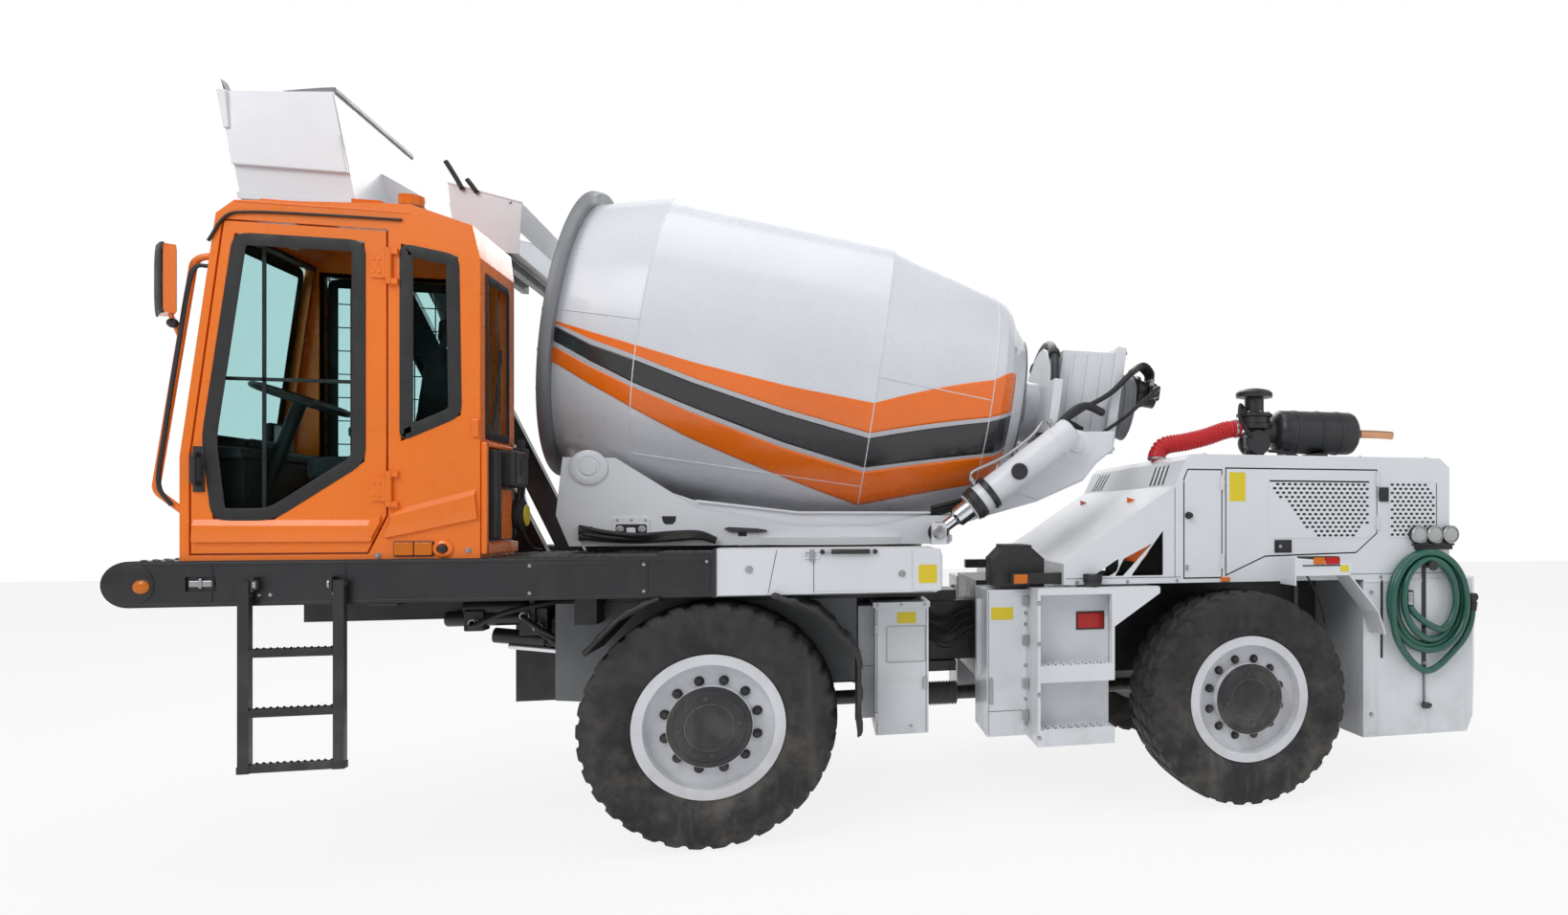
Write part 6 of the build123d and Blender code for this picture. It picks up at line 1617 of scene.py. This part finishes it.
for side, label in SIDES:
    out = (0, side, 0)
    beside = spans_beside(side)
    door = f"engine_door_{label}"
    # painted shade: a black sheet just behind the perforated plate stands for the dark seen through its holes
    boxes(f"{label}_vent_backing", [beside(1.925, 2.548, 1.438, 1.762, 1.0000, 1.0008)], black_rubber, door, 0)
    perforated(f"{label}_vent_plate", 1.938, 1.4475, 17, 13, in_vent, side * 1.0024, side, white_paint, door)
    loop_trim(f"{label}_vent_edge", [(1.918, 1.433), (2.552, 1.433), (2.552, 1.763), (1.918, 1.763)],
              on_side(side * 1.0000, side), 0.006, 0.0030, white_paint, door, 0.012)
    # painted shade: the same black sheet behind the rear vent's holes
    boxes(f"{label}_rear_vent_backing", [beside(2.676, 2.988, 1.438, 1.752, 1.0000, 1.0008)], black_rubber,
          "rear_frame", 0)
    perforated(f"{label}_rear_vent_plate", 2.694, 1.4500, 8, 13, lambda x,
               z: 2.690 < x < 2.966 - 0.6 * max(0.0, z - 1.70) and z < 1.745, side * 1.0024, side, white_paint,
               "rear_frame")
    loop_trim(f"{label}_rear_vent_edge", [(2.670, 1.434), (2.994, 1.434), (2.994, 1.756), (2.670, 1.756)],
              on_side(side * 1.0000, side), 0.006, 0.0030, white_paint, "rear_frame", 0.010)
    boxes(f"{label}_hood_blank_plate", [beside(1.686, 1.780, 1.638, 1.798, 0.9998, 1.0012)], label_yellow, door, 0)
    boxes(f"{label}_paddle_latch", [beside(1.954, 2.059, 1.352, 1.424, 0.9995, 1.0055),
                                    beside(1.966, 2.048, 1.362, 1.414, 1.004, 1.011)], black_plastic, door, 0.004, 3)
    lathe(f"{label}_paddle_lock", [(0, 0), (0, 0.010), (0.004, 0.009), (0.005, 0)], (1.985, side * 1.0105, 1.388),
          out, steel, door, 20)
    boxes(f"{label}_side_latch", [beside(2.608, 2.668, 1.640, 1.722, 0.9995, 1.012),
                                  beside(2.600, 2.628, 1.654, 1.708, 1.010, 1.020)], black_plastic, "rear_frame",
          0.005, 3)
    lathe(f"{label}_service_knob", [(0, 0), (0, 0.020), (0.004, 0.020), (0.005, 0.013), (0.020, 0.012),
                                    (0.024, 0.016), (0.034, 0.015), (0.036, 0)], (1.446, side * 1.0000, 1.560), out,
          black_plastic, f"service_door_{label}", 32)
    boxes(f"{label}_service_catch", [beside(1.428, 1.444, 1.262, 1.292, 0.9995, 1.010)], steel,
          f"service_door_{label}", 0.003)
    boxes(f"{label}_hood_seams", [beside(1.366, 1.369, 1.228, 1.712, 0.9995, 1.0008),
                                  beside(0.760, 1.400, 1.2245, 1.2275, 0.9995, 1.0008),
                                  beside(2.360, 3.060, 1.2245, 1.2275, 0.9995, 1.0008)], hub_paint, "rear_frame", 0)
    loop_trim(f"{label}_window_edge_a", [(0.905, 1.237), (1.000, 1.237), (1.040, 1.262), (1.050, 1.290),
                                         (1.050, 1.330)], on_side(side * 0.9998, side), -0.006, 0.002, white_paint,
              "rear_frame", 0.01)
    loop_trim(f"{label}_window_edge_b", [(1.120, 1.237), (1.300, 1.237), (1.300, 1.480)],
              on_side(side * 0.9998, side), -0.006, 0.002, white_paint, "rear_frame", 0.01)
    bolts(f"{label}_hood_bolts", [(x, side * 1.0, 1.206) for x in (0.820, 1.100, 1.380, 2.620, 2.900)], out, 0.008,
          steel, "rear_frame", 0.005)
    # painted shade: the slots in the hood slope are flat black pieces on the skin that stand for the dark inside them
    slots = []
    for k in range(4):
        y = 0.790 - 0.075 * k
        slots.append([(y, 0.012), (y - 0.028, 0.012), (y - 0.060, 0.130), (y - 0.042, 0.140)])
    slope0, slope1 = np.array([1.367, 1.722]), np.array([1.433, 1.865])
    along = (slope1 - slope0) / np.linalg.norm(slope1 - slope0)
    normal = np.array([-along[1], along[0]])
    for k, slot in enumerate(slots):
        rim = [(*(slope0 + along * s + normal * lift)[:1], side * y,
                (slope0 + along * s + normal * lift)[1]) for lift in (0.0015, -0.001) for y, s in slot]
        outward(piece(f"{label}_slope_slot_{k}", rim, [[0, 1, 2, 3],
                                                       [7, 6, 5, 4]] + [[i, (i + 1) % 4, (i + 1) % 4 + 4,
                                                                         i + 4] for i in range(4)], black_rubber,
                      "rear_frame", smooth=False))
    lathe(f"{label}_air_filter", [(0, 0), (0, 0.070), (0.010, 0.078), (0.024, 0.078), (0.030, 0.070), (0.110, 0.070),
                                  (0.116, 0.078), (0.130, 0.078), (0.140, 0.066), (0.142, 0)],
          (1.165, side * 0.800, 1.385), out, stripe_orange, "rear_frame", 40)
    fan_angle = np.arange(7) * 2 * pi / 7
    blade = np.array([(0.02, -0.02, -0.010), (0.16, -0.045, -0.020), (0.16, 0.045, 0.020), (0.02, 0.02, 0.010)])
    blade = np.vstack([blade, blade + (0, 0, 0.004)])
    places = [np.column_stack([(0, cos(a), sin(a)), (0, -sin(a), cos(a)), (1, 0, 0),
                               (1.250, side * 0.560, 1.500)]) for a in fan_angle]
    outward(copies(f"{label}_cooling_fan", blade, [[0, 1, 2, 3],
                                                   [7, 6, 5, 4]] + [[i, (i + 1) % 4, (i + 1) % 4 + 4,
                                                                     i + 4] for i in range(4)], places, stripe_orange,
                   "rear_frame", smooth=False))

boxes("hood_top_ribs", [((1.520, -0.960, 1.8935), (2.980, -0.930, 1.899)),
                        ((1.520, 0.930, 1.8935), (2.980, 0.960, 1.899)),
                        ((1.700, -0.600, 1.8935), (2.000, 0.200, 1.898)),
                        ((2.640, -0.700, 1.8935), (2.960, 0.700, 1.898))], white_paint, "rear_frame", 0.002)
bolts("hood_top_bolts", [(x, y, 1.894) for x in (1.560, 2.040, 2.520, 2.950) for y in (-0.945, 0.945)], (0, 0, 1),
      0.008, steel, "rear_frame", 0.010)

# ---- intake ------------------------------------------------------------------------------------
INTAKE_Y = -0.350


def corrugated(name, points, radius, depth, pitch, material, body, steps=28):
    """A ribbed hose: R(s) = R0 + depth*cos(2 pi s/pitch) round the smooth line through its points."""
    line = smooth_line(points, 60)
    length = np.concatenate([[0], np.cumsum(np.linalg.norm(np.diff(line, axis=0), axis=1))])
    s = np.arange(0, length[-1], pitch / 6)
    centre = np.stack([np.interp(s, length, line[:, k]) for k in range(3)], -1)
    along = np.gradient(centre, axis=0)
    along /= np.linalg.norm(along, axis=1)[:, None]
    side = np.tile(np.array([0.0, 1.0, 0.0]), (len(s), 1))
    up = np.cross(along, side)
    cuff = np.clip(np.minimum(s, length[-1] - s) / 0.05 - 0.6, 0, 1)
    reach = (radius + depth * np.cos(2 * pi * s / pitch) * cuff)[:, None, None]
    angle = angles_round(steps)
    spokes = np.cos(angle)[None, :, None] * side[:, None] + np.sin(angle)[None, :, None] * up[:, None]
    tube = centre[:, None] + reach * spokes
    faces = [list(f) for f in quads(len(s), steps, wrap_columns=True)]
    faces += [list(range(steps)), list(range((len(s) - 1) * steps, len(s) * steps))]
    return outward(piece(name, tube.reshape(-1, 3), faces, material, body))


red_hose = corrugated("ribbed_intake_hose", [(1.480, INTAKE_Y, 1.893), (1.482, INTAKE_Y, 1.930),
                                             (1.530, INTAKE_Y, 1.985), (1.660, INTAKE_Y, 2.010),
                                             (1.800, INTAKE_Y, 2.045), (1.930, INTAKE_Y, 2.090),
                                             (2.020, INTAKE_Y, 2.100)], 0.052, 0.0042, 0.020, red_rubber,
                      "rear_frame")
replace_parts(red_hose, "intake_hose")
for k, (place, way) in enumerate((((1.480, INTAKE_Y, 1.900), (0, 0, 1)), ((1.985, INTAKE_Y, 2.099), (1, 0, 0.05)))):
    lathe(f"intake_hose_clamp_{k}", [(0, 0.050), (0, 0.0575), (0.002, 0.059), (0.012, 0.059), (0.014, 0.0575),
                                     (0.014, 0.050)], place, way, steel, "rear_frame", 40)
stack = [(0, 0), (0, 0.105), (0.010, 0.108), (0.022, 0.100), (0.026, 0.062), (0.200, 0.062), (0.206, 0.110),
         (0.214, 0.112), (0.232, 0.112), (0.238, 0.098), (0.276, 0.098), (0.282, 0.112), (0.298, 0.112),
         (0.304, 0.104), (0.310, 0.060), (0.392, 0.060), (0.398, 0.076), (0.402, 0.112), (0.412, 0.115),
         (0.430, 0.114), (0.444, 0.098), (0.454, 0.060), (0.456, 0)]
intake_stack = lathe("intake_stack", stack, (2.120, INTAKE_Y, 1.894), (0, 0, 1), black_paint, "rear_frame", 64)
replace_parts(intake_stack, "intake")
canister = [(0, 0), (0, 0.070), (0.085, 0.070), (0.090, 0.098), (0.100, 0.118), (0.120, 0.132), (0.130, 0.135),
            (0.205, 0.135), (0.208, 0.139), (0.232, 0.139), (0.235, 0.135), (0.372, 0.135), (0.376, 0.140),
            (0.384, 0.140), (0.388, 0.136), (0.500, 0.135), (0.503, 0.139), (0.527, 0.139), (0.530, 0.135),
            (0.600, 0.135), (0.622, 0.128), (0.640, 0.108), (0.650, 0.070), (0.656, 0.036), (0.690, 0.034),
            (0.692, 0)]
lathe("intake_canister", canister, (2.160, INTAKE_Y, 2.085), (1, 0, 0), black_paint, "rear_frame", 64)
tail_line = smooth_line([(2.840, INTAKE_Y, 2.085), (2.960, INTAKE_Y, 2.085), (3.060, INTAKE_Y, 2.082),
                         (3.088, INTAKE_Y, 2.080)], 8)
swept("exhaust_tail", tail_line, round_outline(0.026, 24), copper, "rear_frame", (0, 1, 0))
lathe("valve_body", [(0, 0), (0, 0.075), (0.012, 0.082), (0.030, 0.082), (0.036, 0.070), (0.110, 0.070),
                     (0.116, 0.084), (0.140, 0.084), (0.150, 0.060), (0.152, 0)], (2.120, INTAKE_Y - 0.076, 2.015),
      (0, 1, 0), black_paint, "rear_frame", 40)
boxes("intake_mounts", [((2.020, INTAKE_Y - 0.130, 1.8945), (2.230, INTAKE_Y + 0.130, 1.906)),
                        ((2.490, INTAKE_Y - 0.095, 1.8945), (2.580, INTAKE_Y + 0.095, 1.952)),
                        ((2.052, INTAKE_Y - 0.060, 1.980), (2.086, INTAKE_Y + 0.060, 2.060)),
                        ((2.300, INTAKE_Y - 0.060, 1.8945), (2.340, INTAKE_Y + 0.060, 1.955)),
                        ((2.020, INTAKE_Y - 0.020, 2.120), (2.060, INTAKE_Y + 0.020, 2.235))], black_paint,
      "rear_frame", 0.005, 3)
bolts("intake_bolts", [(2.120 + 0.092 * cos(a), INTAKE_Y + 0.092 * sin(a), 2.197) for a in np.arange(8) * pi / 4],
      (0, 0, 1), 0.009, steel, "rear_frame")
bolts("intake_base_bolts", [(2.120 + 0.088 * cos(a), INTAKE_Y + 0.088 * sin(a),
                             1.914) for a in np.arange(6) * pi / 3], (0, 0, 1), 0.009, steel, "rear_frame")
hoses("intake_pipes", [[(2.180, INTAKE_Y - 0.080, 1.960), (2.250, INTAKE_Y - 0.140, 1.950),
                        (2.330, INTAKE_Y - 0.150, 1.930), (2.380, INTAKE_Y - 0.120, 1.897)],
                       [(2.040, INTAKE_Y - 0.020, 2.230), (2.000, INTAKE_Y - 0.060, 2.240),
                        (1.990, INTAKE_Y - 0.090, 2.150), (2.060, INTAKE_Y - 0.100, 2.040)]], 0.010, black_rubber,
      "rear_frame")

# ---- rear fenders, lamps, tank and hose rack ---------------------------------------------------
for side, label in SIDES:
    out = (0, side, 0)
    beside = spans_beside(side)
    boxes(f"{label}_tail_lens_red", [beside(2.172, 2.250, 1.294, 1.332, 1.182, 1.192),
                                     beside(2.250, 2.260, 1.294, 1.332, 1.114, 1.188)], red_lens, "rear_frame", 0.004,
          3)
    boxes(f"{label}_tail_lens_amber", [beside(2.100, 2.166, 1.294, 1.332, 1.182, 1.192)], amber_lens, "rear_frame",
          0.004, 3)
    boxes(f"{label}_tail_lamp_bracket", [beside(2.034, 2.262, 1.284, 1.291, 1.104, 1.190),
                                         beside(2.060, 2.084, 0.980, 1.180, 1.010, 1.030)], black_paint, "rear_frame",
          0.003)
    hose(f"{label}_tail_lamp_cable", [(2.100, side * 1.090, 1.238), (2.150, side * 1.060, 1.180),
                                      (2.220, side * 1.030, 1.080), (2.260, side * 1.020, 0.960)], 0.006,
         black_rubber, "rear_frame")
    low, high = sorted((side * 1.1848, side * 1.1862))
    plate(f"{label}_fender_blank_plate", rounded([(2.262, 1.252), (2.312, 1.252), (2.312, 1.288), (2.262, 1.288)],
                                                 0.006), low, high, label_yellow, "rear_frame", 0)
    boxes(f"{label}_tank_strip", [beside(2.618, 2.632, 0.741, 1.190, 0.9995, 1.006)], black_rubber, "rear_frame",
          0.003)
    boxes(f"{label}_tank_folds", [beside(2.512, 2.600, 0.310, 0.318, 0.999, 1.004),
                                  beside(2.512, 3.200, 1.176, 1.190, 0.999, 1.005)], white_paint, "rear_frame", 0.002)
    bolts(f"{label}_tank_bolts", [(x, side * 1.0, z) for x, z in ((2.560, 0.420), (2.560, 0.900), (2.560, 1.120))],
          out, 0.010, steel, "rear_frame")
    for k, x in enumerate((2.850, 2.954, 3.058)):
        lathe(f"{label}_work_lamp_rim_{k}", [(0, 0.040), (0, 0.0515), (0.006, 0.0525), (0.014, 0.052), (0.018, 0.047),
                                             (0.018, 0.043), (0.008, 0.041)], (x, side * 1.030, 1.450), out, steel,
              "rear_frame", 48)
        lathe(f"{label}_work_lamp_lens_{k}", [(0, 0), (0, 0.0425), (0.006, 0.040), (0.010, 0.028), (0.0125, 0)],
              (x, side * 1.0395, 1.450), out, lamp_glass, "rear_frame", 40)
        lathe(f"{label}_work_lamp_shell_{k}", [(0, 0), (0, 0.040), (0.010, 0.050), (0.020, 0.0525), (0.030, 0.0525),
                                               (0.031, 0.040)], (x, side * 1.000, 1.450), out, black_paint,
              "rear_frame", 40)
    boxes(f"{label}_work_lamp_bar", [beside(2.820, 3.090, 1.386, 1.398, 1.000, 1.030)]
          + [beside(x - 0.010, x + 0.010, 1.390, 1.405, 1.005, 1.025) for x in (2.850, 2.954, 3.058)],
          black_paint, "rear_frame", 0.003)
strap_bolts = [(2.900, -1.008, z) for z in (1.345, 0.700, 0.655)]
bolts("hose_rack_bolts", strap_bolts, (0, -1, 0), 0.008, steel, "rear_frame", 0.006)
links = []
for k in range(10):
    z = 0.632 - 0.0145 * k
    angle = np.arange(12) * pi / 6
    flat = np.stack([0.0055 * np.cos(angle), 0 * angle, 0.0095 * np.sin(angle)], -1)
    flat = flat[:, [0, 1, 2]] if k % 2 else flat[:, [1, 0, 2]]
    links.append(flat + (2.900, -1.0135, z))
hoses("hose_rack_chain", [np.vstack([link, link[:2]]) for link in links], 0.0018, steel, "rear_frame", 6, 2)
lathe("hose_rack_knob", [(0, 0), (0, 0.010), (0.006, 0.022), (0.016, 0.027), (0.026, 0.024), (0.032, 0.012),
                         (0.034, 0)], (2.900, -1.030, 0.443), (0, 0, 1), black_plastic, "rear_frame", 36)
for k, a in enumerate(np.arange(4) * pi / 2):
    ball(f"hose_rack_knob_lobe_{k}", (2.900 + 0.022 * cos(a), -1.034 + 0.014 * sin(a), 0.460), 0.012, black_plastic,
         "rear_frame")

# ---- hopper between the cab and the drum -------------------------------------------------------
# The bucket tips in between the cheeks, over the front plate; the drum's mouth stays behind the rear lip.
CHEEK = [(-2.325, 3.268), (-1.985, 3.195), (-2.000, 2.925), (-2.055, 2.925), (-2.297, 2.997)]
CHEEK_Y = (-0.276, 0.786)  # outer face of the near one, inner face of the far one
for label, y in zip(("left", "right"), CHEEK_Y):
    plate(f"{label}_hopper_cheek", CHEEK, y, y + 0.004, white_paint, "front_frame", 0.001)
    hose(f"{label}_hopper_rim", [(-2.325, y + 0.002, 3.266), (-2.160, y + 0.002, 3.231), (-1.985, y + 0.002, 3.194)],
         0.0055, white_paint, "front_frame")
plate("hopper_floor", [(-2.320, 3.168), (-2.292, 3.001), (-2.050, 2.929), (-2.004, 2.925), (-2.004, 2.930),
                       (-2.050, 2.934), (-2.287, 3.005), (-2.315, 3.168)], CHEEK_Y[0] + 0.003, CHEEK_Y[1] + 0.001,
      white_paint, "front_frame", 0.001)
plate("hopper_rear_lip", [(-1.990, 3.192), (-1.985, 3.192), (-2.002, 3.050), (-2.007, 3.050)], CHEEK_Y[0] + 0.003,
      CHEEK_Y[1] + 0.001, white_paint, "front_frame", 0.001)
boxes("hopper_beams", [((-2.262, -0.281, 2.925), (-2.222, 0.780, 2.976)),
                       ((-2.112, -0.281, 2.885), (-2.072, 0.780, 2.930))], black_paint, "front_frame", 0.004)
plate("hopper_bracket", [(-2.272, 2.770), (-2.062, 2.750), (-2.062, 2.905), (-2.092, 2.928), (-2.212, 2.974),
                         (-2.272, 2.974)], -0.280, -0.268, black_paint, "front_frame")
STRAPS = [[(-2.255, 3.236), (-2.284, 3.292), (-2.322, 3.358), (-2.331, 3.372)],
          [(-2.190, 3.226), (-2.212, 3.258), (-2.234, 3.288)]]
hoses("hopper_flap_straps", [[(x, -0.290, z) for x, z in strap] for strap in STRAPS], 0.012, black_rubber,
      "front_frame")
bolts("hopper_bolts", [(x, -0.276, z) for x, z in ((-2.255, 3.238), (-2.190, 3.224), (-2.040, 3.190))], (0, -1, 0),
      0.007, steel, "front_frame")

# ---- floor, light and camera -------------------------------------------------------------------
def background_material(name, colour, seen):
    """Pale to the eye, to metal and through glass, and plain matt to everything else."""
    material = bpy.data.materials.new(name)
    material.use_nodes = True
    tree = material.node_tree
    shader = tree.nodes["Principled BSDF"]
    shader.inputs["Base Color"].default_value = (*colour, 1)
    shader.inputs["Roughness"].default_value = 0.9
    glow = tree.nodes.new("ShaderNodeEmission")
    glow.inputs["Color"].default_value = (1, 1, 1, 1)
    rays = tree.nodes.new("ShaderNodeLightPath")
    looked = math_node(tree, "MAXIMUM", rays.outputs["Is Camera Ray"], rays.outputs["Is Glossy Ray"])
    looked = math_node(tree, "MAXIMUM", looked, rays.outputs["Is Transmission Ray"])
    mixed = tree.nodes.new("ShaderNodeMixShader")
    tree.links.new(math_node(tree, "MULTIPLY", looked, seen), mixed.inputs[0])
    tree.links.new(shader.outputs[0], mixed.inputs[1])
    tree.links.new(glow.outputs[0], mixed.inputs[2])
    tree.links.new(mixed.outputs[0], tree.nodes["Material Output"].inputs["Surface"])
    return material


def stage_sheet(name, profile, material):
    """A strip 80 m wide carried along a profile (y, z), in the given material."""
    x = np.linspace(-40.0, 40.0, 9)
    profile = np.array(profile)
    points = np.stack(np.broadcast_arrays(x[None, :, None], profile[:, None, :1], profile[:, None, 1:]), -1)
    mesh = bpy.data.meshes.new(name)
    mesh.from_pydata(points.reshape(-1, 3).tolist(), [], quads(len(profile), len(x))[:, ::-1].tolist())
    mesh.polygons.foreach_set("use_smooth", np.ones(len(mesh.polygons), bool))
    mesh.materials.append(material)
    sheet = bpy.data.objects.new(name, mesh)
    bpy.context.scene.collection.objects.link(sheet)


def area_light(name, place, target, size, power, colour=(1, 1, 1)):
    """A soft square lamp at a place, turned to a target."""
    light = bpy.data.lights.new(name, "AREA")
    light.shape, light.size, light.energy, light.color = "SQUARE", size, power, colour
    lamp = bpy.data.objects.new(name, light)
    lamp.location = place
    lamp.rotation_euler = (Vector(target) - Vector(place)).to_track_quat("-Z", "Y").to_euler()
    bpy.context.scene.collection.objects.link(lamp)


floor_material = background_material("pale_floor", (0.80, 0.80, 0.80), 0.86)
backdrop_material = background_material("white_backdrop", (0.80, 0.80, 0.80), 1.0)
stage_sheet("floor", [(-30.0, 0.0), (-5.0, 0.0), (10.0, 0.0), (24.0, 0.0)], floor_material)
stage_sheet("backdrop", [(24.0, 0.0), (26.0, 0.6), (28.0, 4.0), (28.5, 30.0)], backdrop_material)
area_light("key_lamp", (-6.5, -9.0, 9.5), (0, 0, 1.3), 7.0, 600)
area_light("fill_lamp", (8.5, -7.0, 6.0), (0, 0, 1.3), 10.0, 185)
area_light("back_lamp", (1.0, 9.0, 9.0), (0, 0, 1.5), 7.0, 420)
area_light("top_lamp", (0.0, -1.0, 12.0), (0, 0, 1.5), 8.0, 330)

world = bpy.data.worlds.new("studio")
world.use_nodes = True
world.node_tree.nodes["Background"].inputs["Color"].default_value = (0.92, 0.95, 1.0, 1)
world.node_tree.nodes["Background"].inputs["Strength"].default_value = 0.45
bpy.context.scene.world = world
bpy.context.scene.view_settings.view_transform = "Standard"

lens = bpy.data.cameras.new("camera")
lens.lens, lens.sensor_width = 23.06, 36.0
lens.shift_x, lens.shift_y = -0.2054, 0.038
lens.clip_end = 200
camera = bpy.data.objects.new("camera", lens)
camera.location = (-0.447, -6.147, 1.551)
camera.rotation_euler = (radians(90), 0, radians(-15.5))
bpy.context.scene.collection.objects.link(camera)
bpy.context.scene.camera = camera
